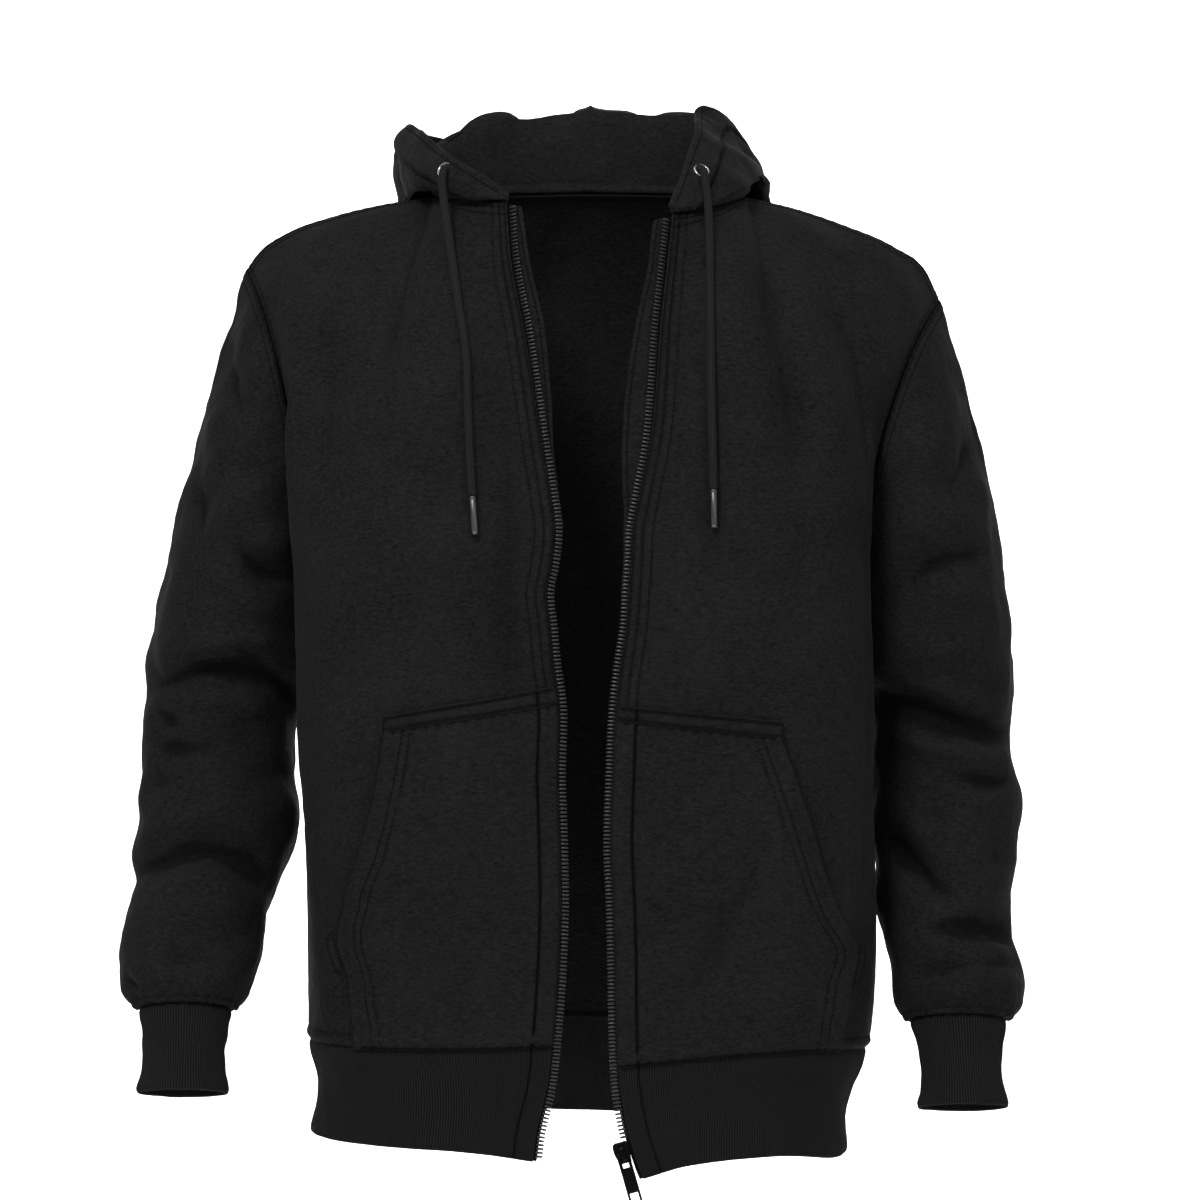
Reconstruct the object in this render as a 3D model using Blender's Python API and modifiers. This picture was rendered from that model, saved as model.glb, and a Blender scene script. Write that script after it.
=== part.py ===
"""A zip up hoodie, worn open on a general figure: a hollow cloth form with no wearer in it.

Metres, +Z up. The front faces -Y and the wearer's left is +X. The origin lies between the two
side neck points, where the neck and shoulders of a wearer carry the garment.

Every panel is a surface worked out from a short table: a row for each level, ring or station.
A wall is lofted from such a surface and the same surface moved in by the cloth's thickness.
Two panels that are sewn together share the points and the mitre of their seam.
"""

import math

import bmesh
import bpy
import numpy as np
from mathutils import Matrix, Vector, kdtree
from mathutils.bvhtree import BVHTree

# Cloth and trim thicknesses, and clearances.
BODY_CLOTH = 0.0024
RIB_CLOTH = 0.0028
HOOD_CLOTH = 0.0040
TAPE_CLOTH = 0.0010
FACING_CLOTH = 0.0014
SEAM_GAP = 0.0003
TOP_GAP = 0.0010
LIE_GAP = 0.0003

# Settling a piece on another: rounds, the furthest it looks into a wall, and when it is done.
SETTLE_ROUNDS = 12
SETTLE_LIMIT = 0.0060
SETTLE_DONE = 2e-5

# How many steps a panel has between its seams.
NECK_STEPS = 6
BACK_NECK_STEPS = 5
SHOULDER_STEPS = 8
SIDE_STEPS = 10
ARMHOLE_STEPS = 10
UPPER_ARM_STEPS = 8
FOREARM_STEPS = 18
CUFF_STEPS = 3
HEM_STEPS = 3
HOOD_STEPS = 18

# Levels and leans.
CUFF_LEAN = 13
ARMPIT_HEIGHT = -0.262
SIDE_NECK = (0.118, 0.012, 0.008)
NECK_TILT = 0.0045

# Zip.
TEETH_WIDTH = 0.0055
TEETH_THICK = 0.0026
TEETH_INSET = 0.0015
ZIP_MARGIN = TEETH_WIDTH + TEETH_INSET
TAPE_UNDER = 0.010
FACING_UNDER = 0.026

TAPE_PAST = 0.0012
SLIDER_TOP = -0.642
ROW_MARGIN = 0.02
FACING_FOOT = 0.90
ZIP_TOP = 1.99

# Pockets.
STRIP_CLOTH = 0.0030
POCKET_INSET = 0.0015
POCKET_FOOT = 0.0012
POCKET_PUFF = 0.0040
BAR_WIDTH = 0.0065
BAR_GAP = 0.0012

RIGHT, LEFT = -1, 1
SIDE_NAMES = {RIGHT: "right", LEFT: "left"}
ARM_SLANT = {RIGHT: 0.20, LEFT: 0.06}


def table(names, *rows):
    """Columns by name, each an array with a value for every row."""
    return dict(zip(names.split(), np.array(rows, float).T))


# One half of a level section, from the zip edge (turn 0) past the side seam (5) to the centre
# back (9): the place across as a share of the half width, and the depth as a share of the
# front depth (negative) or the back depth (positive).
SECTION = table(
    "turn across depth",
    (1, 0.400, -1.000),
    (2, 0.700, -0.955),
    (3, 0.905, -0.780),
    (4, 1.000, -0.380),
    (5, 0.930, 0.150),
    (6, 0.900, 0.550),
    (7, 0.700, 0.870),
    (8, 0.360, 0.985),
    (9, 0.000, 1.000),
)

# The body's half widths and depths at each level, from the hem's foot to the armpit.
BODY = table(
    "height right left front back",
    (-0.715, 0.2080, 0.1900, 0.1270, 0.1180),
    (-0.690, 0.2065, 0.1880, 0.1270, 0.1180),
    (-0.660, 0.2005, 0.1905, 0.1260, 0.1170),
    (-0.640, 0.2010, 0.1985, 0.1280, 0.1190),
    (-0.620, 0.2060, 0.2050, 0.1330, 0.1240),
    (-0.590, 0.2070, 0.2090, 0.1360, 0.1270),
    (-0.540, 0.2085, 0.2104, 0.1370, 0.1250),
    (-0.460, 0.2115, 0.2085, 0.1370, 0.1220),
    (-0.380, 0.2145, 0.2072, 0.1345, 0.1230),
    (-0.300, 0.2175, 0.2060, 0.1310, 0.1270),
    (-0.262, 0.2190, 0.2045, 0.1290, 0.1300),
)

# The tips of the zip's teeth on both fronts: how far each lies from the centre line, and how
# far in front of the shoulders.
ZIP_LINE = table(
    "height right left depth",
    (-0.712, 0.0345, 0.0320, 0.1220),
    (-0.680, 0.0315, 0.0215, 0.1220),
    (-0.645, 0.0236, 0.0152, 0.1215),
    (-0.605, 0.0193, 0.0132, 0.1290),
    (-0.560, 0.0160, 0.0125, 0.1320),
    (-0.510, 0.0143, 0.0112, 0.1325),
    (-0.475, 0.0148, 0.0096, 0.1320),
    (-0.420, 0.0165, 0.0110, 0.1310),
    (-0.370, 0.0158, 0.0135, 0.1290),
    (-0.340, 0.0200, 0.0170, 0.1275),
    (-0.315, 0.0222, 0.0208, 0.1265),
    (-0.290, 0.0248, 0.0225, 0.1258),
    (-0.270, 0.0212, 0.0240, 0.1250),
    (-0.245, 0.0190, 0.0252, 0.1235),
    (-0.220, 0.0225, 0.0300, 0.1215),
    (-0.180, 0.0295, 0.0378, 0.1180),
    (-0.150, 0.0342, 0.0410, 0.1145),
    (-0.100, 0.0425, 0.0445, 0.1065),
    (-0.050, 0.0525, 0.0500, 0.0965),
    (-0.010, 0.0560, 0.0540, 0.0880),
)

# Hem seam and hem foot heights at turns of the level section.
HEM = table(
    "turn seam_right foot_right seam_left foot_left",
    (0.0, -0.6150, -0.6965, -0.6300, -0.7090),
    (1.0, -0.6165, -0.6900, -0.6230, -0.6980),
    (2.0, -0.6170, -0.6860, -0.6190, -0.6930),
    (3.5, -0.6175, -0.6840, -0.6230, -0.7000),
    (5.0, -0.6180, -0.6880, -0.6290, -0.7040),
    (9.0, -0.6240, -0.6940, -0.6240, -0.6940),
)

# The neckline of one half, from the zip top (0) past the side neck point (0.5) to the centre
# back (1).
NECKLINE = table(
    "at across depth height",
    (0.00, 0.0612, -0.0880, -0.0115),
    (0.17, 0.0830, -0.0680, -0.0070),
    (0.33, 0.1030, -0.0400, -0.0020),
    (0.50, *SIDE_NECK),
    (0.67, 0.1080, 0.0560, 0.0140),
    (0.84, 0.0640, 0.0820, 0.0180),
    (1.00, 0.0000, 0.0900, 0.0200),
)

# Shoulder seams, from the side neck point to the shoulder point.
SHOULDER = table(
    "at across_right height_right across_left height_left",
    (0.00, 0.1180, 0.0080, 0.1180, 0.0080),
    (0.25, 0.1550, 0.0030, 0.1550, -0.0005),
    (0.50, 0.1930, -0.0055, 0.1920, -0.0125),
    (0.75, 0.2290, -0.0180, 0.2300, -0.0285),
    (0.90, 0.2490, -0.0310, 0.2530, -0.0450),
    (1.00, 0.2600, -0.0450, 0.2650, -0.0690),
)
SHOULDER_DEPTH = 0.020

# The armhole from the underarm point (0) to the shoulder point (1), by its front and its back.
# Rise is a share of the height from the underarm to the shoulder point.
ARMHOLE = table(
    "at front_across front_depth back_across back_depth rise",
    (0.000, 0.1902, 0.0195, 0.1902, 0.0195, 0.000),
    (0.167, 0.1965, -0.0140, 0.1945, 0.0560, 0.110),
    (0.333, 0.2070, -0.0370, 0.2020, 0.0830, 0.290),
    (0.500, 0.2165, -0.0460, 0.2130, 0.0920, 0.490),
    (0.667, 0.2300, -0.0400, 0.2280, 0.0830, 0.700),
    (0.833, 0.2450, -0.0180, 0.2450, 0.0570, 0.870),
    (1.000, 0.2615, 0.0200, 0.2615, 0.0200, 1.000),
)

# The sleeves' rings, from below the armpit to the cuff seam. Lean out and lean forward tip a
# ring's plane, in degrees.
SLEEVE = {
    RIGHT: table(
        "height across depth half_width half_depth lean_out lean_forward",
        (-0.335, 0.2725, 0.030, 0.0610, 0.0740, 12, 0),
        (-0.372, 0.2795, 0.042, 0.0590, 0.0690, 8, 3),
        (-0.418, 0.2835, 0.040, 0.0585, 0.0640, 5, 8),
        (-0.463, 0.2805, 0.027, 0.0600, 0.0610, 4, 13),
        (-0.492, 0.2865, 0.013, 0.0570, 0.0580, 3, 16),
        (-0.521, 0.2905, -0.002, 0.0520, 0.0550, 2, 16),
        (-0.550, 0.2970, -0.017, 0.0520, 0.0520, 1, 15),
        (-0.566, 0.2985, -0.025, 0.0515, 0.0500, 0, CUFF_LEAN),
        (-0.582, 0.2995, -0.033, 0.0475, 0.0470, 0, CUFF_LEAN),
        (-0.593, 0.2990, -0.038, 0.0410, 0.0420, 0, CUFF_LEAN),
        (-0.598, 0.2985, -0.041, 0.0340, 0.0370, 0, CUFF_LEAN),
    ),
    LEFT: table(
        "height across depth half_width half_depth lean_out lean_forward",
        (-0.335, 0.2610, 0.030, 0.0585, 0.0740, 12, 0),
        (-0.372, 0.2675, 0.042, 0.0555, 0.0690, 8, 3),
        (-0.412, 0.2660, 0.040, 0.0540, 0.0640, 5, 8),
        (-0.448, 0.2690, 0.030, 0.0570, 0.0610, 4, 13),
        (-0.492, 0.2680, 0.013, 0.0525, 0.0580, 3, 16),
        (-0.521, 0.2650, -0.002, 0.0495, 0.0550, 2, 16),
        (-0.550, 0.2670, -0.017, 0.0475, 0.0520, 1, 15),
        (-0.566, 0.2710, -0.025, 0.0475, 0.0500, 0, CUFF_LEAN),
        (-0.588, 0.2725, -0.036, 0.0470, 0.0470, 0, CUFF_LEAN),
        (-0.600, 0.2725, -0.040, 0.0430, 0.0425, 0, CUFF_LEAN),
        (-0.606, 0.2715, -0.043, 0.0355, 0.0370, 0, CUFF_LEAN),
    ),
}

# The cuffs' rings, from the cuff seam to the wrist opening.
CUFF = {
    RIGHT: table(
        "height across depth half_width half_depth",
        (-0.598, 0.2985, -0.041, 0.0340, 0.0370),
        (-0.612, 0.2980, -0.048, 0.0325, 0.0350),
        (-0.632, 0.2975, -0.058, 0.0315, 0.0335),
        (-0.655, 0.2970, -0.069, 0.0320, 0.0340),
    ),
    LEFT: table(
        "height across depth half_width half_depth",
        (-0.606, 0.2715, -0.043, 0.0355, 0.0370),
        (-0.620, 0.2720, -0.050, 0.0325, 0.0350),
        (-0.640, 0.2722, -0.060, 0.0312, 0.0335),
        (-0.665, 0.2725, -0.072, 0.0318, 0.0340),
    ),
}

# The hood's stations along the neckline. Turn is the way out from the neck: 0 is straight to
# the front, 90 to the side, 180 to the back. Each profile runs from the neck seam by the stand,
# the floor, the belly and the cheek to the rim, as steps out and up from the neck seam.
HOOD = {
    RIGHT: table(
        "at turn stand_out stand_up floor_out floor_up belly_out belly_up cheek_out cheek_up"
        " rim_out rim_up",
        (0.00, 62, 0.001, 0.001, 0.001, 0.002, 0.000, 0.003, -0.001, 0.004, -0.002, 0.006),
        (0.17, 66, 0.005, 0.001, 0.009, 0.002, 0.011, 0.006, 0.010, 0.014, 0.006, 0.022),
        (0.33, 72, 0.005, 0.005, 0.013, 0.006, 0.018, 0.012, 0.018, 0.024, 0.009, 0.038),
        (0.50, 88, 0.004, 0.011, 0.016, 0.006, 0.022, 0.018, 0.023, 0.038, 0.012, 0.050),
        (0.62, 108, 0.006, 0.030, 0.025, -0.008, 0.031, 0.012, 0.036, 0.040, 0.026, 0.054),
        (0.75, 132, 0.014, 0.050, 0.054, -0.062, 0.068, -0.046, 0.070, 0.018, 0.060, 0.052),
        (0.88, 158, 0.016, 0.058, 0.066, -0.122, 0.094, -0.110, 0.108, -0.010, 0.084, 0.046),
        (1.00, 180, 0.016, 0.060, 0.068, -0.142, 0.100, -0.134, 0.124, -0.024, 0.092, 0.040),
    ),
    LEFT: table(
        "at turn stand_out stand_up floor_out floor_up belly_out belly_up cheek_out cheek_up"
        " rim_out rim_up",
        (0.00, 62, 0.001, 0.001, 0.001, 0.003, 0.000, 0.004, -0.001, 0.006, -0.003, 0.008),
        (0.17, 66, 0.003, 0.002, 0.004, 0.006, 0.001, 0.013, -0.006, 0.021, -0.016, 0.028),
        (0.33, 72, 0.003, 0.005, 0.008, 0.010, 0.004, 0.022, -0.009, 0.036, -0.026, 0.051),
        (0.50, 88, 0.004, 0.009, 0.011, 0.012, 0.003, 0.026, -0.017, 0.043, -0.036, 0.063),
        (0.62, 108, 0.006, 0.024, 0.020, -0.004, 0.021, 0.016, -0.002, 0.042, -0.027, 0.066),
        (0.75, 132, 0.014, 0.050, 0.054, -0.062, 0.066, -0.046, 0.058, 0.016, 0.026, 0.046),
        (0.88, 158, 0.016, 0.058, 0.066, -0.122, 0.094, -0.110, 0.106, -0.010, 0.074, 0.042),
        (1.00, 180, 0.016, 0.060, 0.068, -0.142, 0.100, -0.134, 0.124, -0.024, 0.092, 0.040),
    ),
}
HOOD_POINTS = ("stand", "floor", "belly", "cheek", "rim")

# The inner facing of each front: how far it shows past the teeth, at places up the zip edge
# (w 1 is the armpit level, 2 the neck seam).
FACING = table(
    "w right left",
    (0.90, 0.0000, 0.0000),
    (1.02, 0.0000, 0.0004),
    (1.10, 0.0000, 0.0020),
    (1.20, 0.0004, 0.0075),
    (1.30, 0.0014, 0.0125),
    (1.42, 0.0042, 0.0143),
    (1.55, 0.0056, 0.0130),
    (1.65, 0.0068, 0.0108),
    (1.75, 0.0062, 0.0080),
    (1.85, 0.0044, 0.0050),
    (1.93, 0.0026, 0.0050),
    (2.00, 0.0005, 0.0040),
)

# Heights of the pocket's upper edge and of the strip's lower edge, beside the zip and at the
# outer corner.
POCKET_LINES = {
    RIGHT: {"top": (-0.3590, -0.3801), "strip": (-0.3700, -0.3893)},
    LEFT: {"top": (-0.3725, -0.3836), "strip": (-0.3815, -0.3943)},
}

# The pocket's outer edge: the slanted opening, the bar patch and the seam below it.
POCKET_EDGE = {
    RIGHT: table(
        "height across",
        (-0.3890, 0.1461),
        (-0.4335, 0.1525),
        (-0.4720, 0.1617),
        (-0.5105, 0.1731),
        (-0.5400, 0.1800),
        (-0.5630, 0.1738),
        (-0.5930, 0.1690),
        (-0.6200, 0.1672),
    ),
    LEFT: table(
        "height across",
        (-0.3943, 0.1368),
        (-0.4314, 0.1482),
        (-0.4884, 0.1660),
        (-0.5200, 0.1785),
        (-0.5490, 0.1905),
        (-0.5710, 0.1865),
        (-0.5980, 0.1825),
        (-0.6250, 0.1785),
    ),
}
POCKET_BAR = {RIGHT: (-0.5385, -0.5620), LEFT: (-0.5490, -0.5715)}

# Zip slider and pull tab, in the slider's own frame: X across, -Y out of the garment and Z up
# along the zip. The bridge is an outline of steps out and up.
SLIDER_PLACE = (0.0236, -0.1196, -0.6915)
SLIDER_TILT = math.radians(-16)
SLIDER_SIZE = (0.0120, 0.0064, 0.0150)
SLIDER_ROUND = 0.0012
BRIDGE_WIDTH = 0.0024
BRIDGE = table(
    "out up",
    (0.0024, 0.0054),
    (0.0056, 0.0054),
    (0.0066, 0.0044),
    (0.0072, 0.0026),
    (0.0072, -0.0026),
    (0.0066, -0.0044),
    (0.0056, -0.0054),
    (0.0024, -0.0054),
    (0.0024, -0.0042),
    (0.0050, -0.0042),
    (0.0057, -0.0034),
    (0.0060, -0.0020),
    (0.0060, 0.0020),
    (0.0057, 0.0034),
    (0.0050, 0.0042),
    (0.0024, 0.0042),
)
TAB_AXIS_OUT = 0.0047
TAB_THICK = 0.0014
TAB_ROUND = 0.00025
TAB_OUTLINE = table(
    "across up",
    (-0.0030, 0.0007),
    (0.0030, 0.0007),
    (0.0040, 0.0002),
    (0.0047, -0.0012),
    (0.0047, -0.0385),
    (0.0042, -0.0402),
    (0.0030, -0.0409),
    (-0.0030, -0.0409),
    (-0.0042, -0.0402),
    (-0.0047, -0.0385),
    (-0.0047, -0.0012),
    (-0.0040, 0.0002),
)
TAB_HOLES = (
    table(
        "across up",
        (-0.0023, -0.0007),
        (0.0023, -0.0007),
        (0.0023, -0.0105),
        (-0.0023, -0.0105),
    ),
    table(
        "across up",
        (-0.0030, -0.0290),
        (0.0030, -0.0290),
        (0.0030, -0.0375),
        (-0.0030, -0.0375),
    ),
)

# Eyelets in the hood's front edge: their places on the hood, and the ring's size.
EYELET_PLACE = {RIGHT: (0.247, 0.842), LEFT: (0.215, 0.823)}
EYELET_RADIUS = 0.0052
EYELET_WIRE = 0.0010
EYELET_GAP = 0.0006

# The drawcord's two free ends, from the eyelet down, and the metal tips on them.
CORD_RADIUS = 0.0027
CORD_POINTS = 32
CORD_ROUTE = {
    RIGHT: table(
        "across depth height",
        (-0.1059, -0.0625, 0.0192),
        (-0.1062, -0.0654, 0.0193),
        (-0.1066, -0.0682, 0.0184),
        (-0.1069, -0.0706, 0.0166),
        (-0.1072, -0.0724, 0.0142),
        (-0.1074, -0.0736, 0.0112),
        (-0.1073, -0.0745, 0.0070),
        (-0.1069, -0.0755, 0.0016),
        (-0.1060, -0.0775, -0.0060),
        (-0.1043, -0.0808, -0.0170),
        (-0.1022, -0.0856, -0.0300),
        (-0.1004, -0.0906, -0.0420),
        (-0.0985, -0.0958, -0.0540),
        (-0.0962, -0.1022, -0.0690),
        (-0.0936, -0.1092, -0.0860),
        (-0.0910, -0.1136, -0.1000),
        (-0.0888, -0.1172, -0.1150),
        (-0.0875, -0.1207, -0.1325),
        (-0.0872, -0.1230, -0.1481),
        (-0.0866, -0.1248, -0.1650),
        (-0.0858, -0.1267, -0.1830),
        (-0.0848, -0.1287, -0.2019),
        (-0.0834, -0.1304, -0.2219),
    ),
    LEFT: table(
        "across depth height",
        (0.0813, -0.0596, 0.0196),
        (0.0819, -0.0618, 0.0192),
        (0.0826, -0.0644, 0.0186),
        (0.0833, -0.0667, 0.0171),
        (0.0838, -0.0685, 0.0149),
        (0.0841, -0.0696, 0.0122),
        (0.0845, -0.0706, 0.0085),
        (0.0850, -0.0719, 0.0040),
        (0.0856, -0.0739, -0.0025),
        (0.0862, -0.0770, -0.0110),
        (0.0866, -0.0816, -0.0230),
        (0.0869, -0.0868, -0.0360),
        (0.0870, -0.0915, -0.0500),
        (0.0871, -0.0980, -0.0680),
        (0.0871, -0.1045, -0.0850),
        (0.0871, -0.1098, -0.1000),
        (0.0872, -0.1136, -0.1167),
        (0.0872, -0.1165, -0.1300),
        (0.0873, -0.1192, -0.1443),
        (0.0876, -0.1220, -0.1630),
        (0.0879, -0.1242, -0.1817),
        (0.0883, -0.1262, -0.2000),
        (0.0885, -0.1275, -0.2168),
    ),
}
TIP_RADIUS = 0.0027
TIP_LENGTH = 0.0275
TIP_ROUND = 0.0006
TIP_GAP = 0.0003

# Folds, seen from the front or the back: a bent line through three points (across, height),
# its half width, and its height over the cloth, negative for a trough.
FOLDS = {
    "front_right": table(
        "x0 z0 x1 z1 x2 z2 half_width rise",
        (-0.212, -0.060, -0.216, -0.150, -0.214, -0.262, 0.012, 0.0060),
        (-0.190, -0.080, -0.188, -0.160, -0.192, -0.240, 0.016, -0.0035),
        (-0.080, -0.060, -0.110, -0.150, -0.150, -0.230, 0.022, 0.0030),
        (-0.055, -0.100, -0.060, -0.300, -0.050, -0.420, 0.018, -0.0030),
        (-0.100, -0.230, -0.092, -0.380, -0.085, -0.540, 0.020, 0.0028),
        (-0.175, -0.500, -0.172, -0.560, -0.172, -0.610, 0.008, -0.0025),
    ),
    "front_left": table(
        "x0 z0 x1 z1 x2 z2 half_width rise",
        (0.150, -0.060, 0.168, -0.140, 0.196, -0.225, 0.016, 0.0065),
        (0.186, -0.090, 0.203, -0.150, 0.204, -0.200, 0.014, -0.0060),
        (0.075, -0.060, 0.085, -0.200, 0.080, -0.330, 0.020, -0.0030),
        (0.120, -0.120, 0.125, -0.260, 0.122, -0.400, 0.022, 0.0028),
        (0.125, -0.470, 0.090, -0.540, 0.052, -0.605, 0.012, -0.0028),
        (0.175, -0.480, 0.180, -0.540, 0.178, -0.600, 0.010, 0.0020),
    ),
    "back": table(
        "x0 z0 x1 z1 x2 z2 half_width rise",
        (-0.175, -0.080, -0.150, -0.190, -0.165, -0.300, 0.018, -0.0045),
        (0.175, -0.090, 0.148, -0.200, 0.160, -0.320, 0.018, -0.0045),
        (-0.085, -0.260, -0.070, -0.400, -0.080, -0.560, 0.022, -0.0040),
        (0.080, -0.240, 0.095, -0.400, 0.085, -0.570, 0.024, -0.0040),
        (0.005, -0.340, 0.012, -0.460, 0.002, -0.590, 0.024, 0.0040),
        (-0.160, -0.430, -0.090, -0.480, -0.010, -0.500, 0.014, -0.0030),
    ),
    "sleeve_right": table(
        "x0 z0 x1 z1 x2 z2 half_width rise",
        (-0.270, -0.095, -0.268, -0.130, -0.258, -0.160, 0.012, -0.0050),
        (-0.293, -0.190, -0.290, -0.230, -0.284, -0.262, 0.012, -0.0045),
        (-0.264, -0.256, -0.244, -0.272, -0.222, -0.282, 0.012, -0.0075),
        (-0.320, -0.360, -0.270, -0.348, -0.226, -0.362, 0.011, -0.0110),
        (-0.262, -0.330, -0.248, -0.338, -0.232, -0.342, 0.008, -0.0050),
        (-0.330, -0.375, -0.320, -0.382, -0.308, -0.392, 0.008, -0.0050),
        (-0.322, -0.402, -0.308, -0.406, -0.290, -0.405, 0.008, -0.0045),
        (-0.338, -0.450, -0.290, -0.448, -0.240, -0.446, 0.015, 0.0060),
        (-0.334, -0.496, -0.280, -0.480, -0.244, -0.500, 0.011, -0.0100),
        (-0.330, -0.530, -0.290, -0.522, -0.258, -0.528, 0.012, 0.0040),
        (-0.338, -0.564, -0.300, -0.572, -0.262, -0.576, 0.010, 0.0050),
        (-0.340, -0.570, -0.335, -0.576, -0.328, -0.580, 0.006, -0.0040),
    ),
    "sleeve_left": table(
        "x0 z0 x1 z1 x2 z2 half_width rise",
        (0.296, -0.150, 0.282, -0.190, 0.262, -0.220, 0.014, -0.0050),
        (0.300, -0.262, 0.262, -0.268, 0.222, -0.292, 0.016, -0.0060),
        (0.306, -0.398, 0.262, -0.386, 0.220, -0.372, 0.011, -0.0105),
        (0.318, -0.428, 0.300, -0.432, 0.276, -0.426, 0.008, -0.0045),
        (0.300, -0.412, 0.270, -0.408, 0.240, -0.400, 0.012, 0.0045),
        (0.262, -0.512, 0.238, -0.490, 0.220, -0.470, 0.010, -0.0080),
        (0.318, -0.500, 0.300, -0.506, 0.280, -0.502, 0.012, 0.0040),
        (0.316, -0.550, 0.284, -0.536, 0.254, -0.534, 0.009, -0.0075),
        (0.316, -0.566, 0.300, -0.562, 0.288, -0.560, 0.006, -0.0040),
        (0.300, -0.574, 0.270, -0.578, 0.240, -0.580, 0.010, 0.0045),
    ),
    "sleeve_back": table(
        "x0 z0 x1 z1 x2 z2 half_width rise",
        (0.300, -0.190, 0.270, -0.220, 0.240, -0.262, 0.014, -0.0050),
        (0.322, -0.330, 0.280, -0.340, 0.240, -0.330, 0.013, 0.0050),
        (0.320, -0.430, 0.285, -0.420, 0.245, -0.436, 0.012, -0.0070),
        (0.316, -0.480, 0.280, -0.492, 0.240, -0.484, 0.012, -0.0060),
        (0.320, -0.548, 0.285, -0.540, 0.250, -0.550, 0.011, -0.0060),
    ),
}


def smooth(t):
    """A soft step from 0 to 1."""
    t = np.clip(t, 0.0, 1.0)
    return t * t * (3.0 - 2.0 * t)


def unit(vectors):
    """The same directions at length 1."""
    return vectors / np.maximum(np.linalg.norm(vectors, axis=-1, keepdims=True), 1e-12)


def through(places, values, at):
    """A smooth line through the values at their places, read anywhere between them."""
    slopes = np.gradient(values, places, axis=0)
    at = np.clip(np.asarray(at, float), places[0], places[-1])
    i = np.clip(np.searchsorted(places, at, side="right") - 1, 0, len(places) - 2)
    step = places[i + 1] - places[i]
    t = (at - places[i]) / step
    if np.ndim(values) > 1:
        t, step = t[..., None], step[..., None]
    ease = t * t * (3.0 - 2.0 * t)
    turned = (t**3 - 2.0 * t**2 + t) * slopes[i] + (t**3 - t**2) * slopes[i + 1]
    return values[i] * (1.0 - ease) + values[i + 1] * ease + step * turned


def read(rows, key, name, at):
    """One column of a table, read smoothly at places of its key column."""
    return through(rows[key], rows[name], at)


def hermite(start, end, leave, arrive, t):
    """A cubic from start to end with the given end tangents, t from 0 to 1."""
    t = np.asarray(t, float)[..., None]
    ease = t * t * (3.0 - 2.0 * t)
    turned = (t**3 - 2.0 * t**2 + t) * leave + (t**3 - t**2) * arrive
    return start * (1.0 - ease) + end * ease + turned


def spline_weights(turn, count):
    """What each of count control points gives to a smooth curve, at turns from 0 to count - 1.

    Two ghost points, before the first and after the last, complete the curve.
    """
    turn = np.asarray(turn, float)
    i = np.clip(np.floor(turn).astype(int), 0, count - 2)
    t = turn - i
    parts = (
        -0.5 * t**3 + t**2 - 0.5 * t,
        1.5 * t**3 - 2.5 * t**2 + 1.0,
        -1.5 * t**3 + 2.0 * t**2 + 0.5 * t,
        0.5 * t**3 - 0.5 * t**2,
    )
    weights = np.zeros(turn.shape + (count + 2,))
    for k, part in enumerate(parts):
        np.put_along_axis(weights, (i + k)[..., None], part[..., None], axis=-1)
    return weights


def zip_tip(side, height):
    """The tips of one front's zip teeth at a height."""
    across = side * read(ZIP_LINE, "height", SIDE_NAMES[side], height)
    return np.stack([across, -read(ZIP_LINE, "height", "depth", height), height], axis=-1)


def zip_edge(side, height):
    """The cloth edge of one front, a zip margin away from the teeth's tips."""
    return zip_tip(side, height) + np.array([side * ZIP_MARGIN, -0.0012, 0.0])


def level(side, turn, height):
    """A point of the body below the armpit, at a turn round its level section."""
    turn, height = np.broadcast_arrays(np.asarray(turn, float), np.asarray(height, float))
    width = read(BODY, "height", SIDE_NAMES[side], height)
    front = read(BODY, "height", "front", height)
    back = read(BODY, "height", "back", height)
    count = len(SECTION["turn"]) + 1
    edge = zip_edge(side, height)
    control = np.zeros(turn.shape + (count + 2, 2))
    control[..., 1, 0] = edge[..., 0] * side
    control[..., 1, 1] = edge[..., 1]
    for k in range(1, count):
        share = SECTION["depth"][k - 1]
        control[..., k + 1, 0] = SECTION["across"][k - 1] * width
        control[..., k + 1, 1] = share * np.where(share < 0.0, front, back)
    control[..., 0, :] = 2.0 * control[..., 1, :] - control[..., 2, :]
    control[..., -1, 0] = -control[..., -3, 0]
    control[..., -1, 1] = control[..., -3, 1]
    weights = spline_weights(turn, count)
    flat = np.einsum("...pk,...p->...k", control, weights)
    return np.stack([side * flat[..., 0], flat[..., 1], height], axis=-1)


def neckline(side, at):
    """The neck seam of one half, from the zip top (0) to the centre back (1)."""
    across = side * read(NECKLINE, "at", "across", at)
    depth = read(NECKLINE, "at", "depth", at)
    tilt = side * NECK_TILT * (1.0 - smooth(np.asarray(at, float) / 0.5))
    return np.stack([across, depth, read(NECKLINE, "at", "height", at) - tilt], axis=-1)


def shoulder(side, at):
    """A shoulder seam, from the side neck point (0) to the shoulder point (1)."""
    name = SIDE_NAMES[side]
    across = side * read(SHOULDER, "at", "across_" + name, at)
    depth = SIDE_NECK[1] + (SHOULDER_DEPTH - SIDE_NECK[1]) * np.asarray(at, float)
    return np.stack([across, depth, read(SHOULDER, "at", "height_" + name, at)], axis=-1)


def underarm(side):
    """The point where the side seam, the armhole and the sleeve seam meet."""
    return level(side, 5.0, ARMPIT_HEIGHT)


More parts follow.
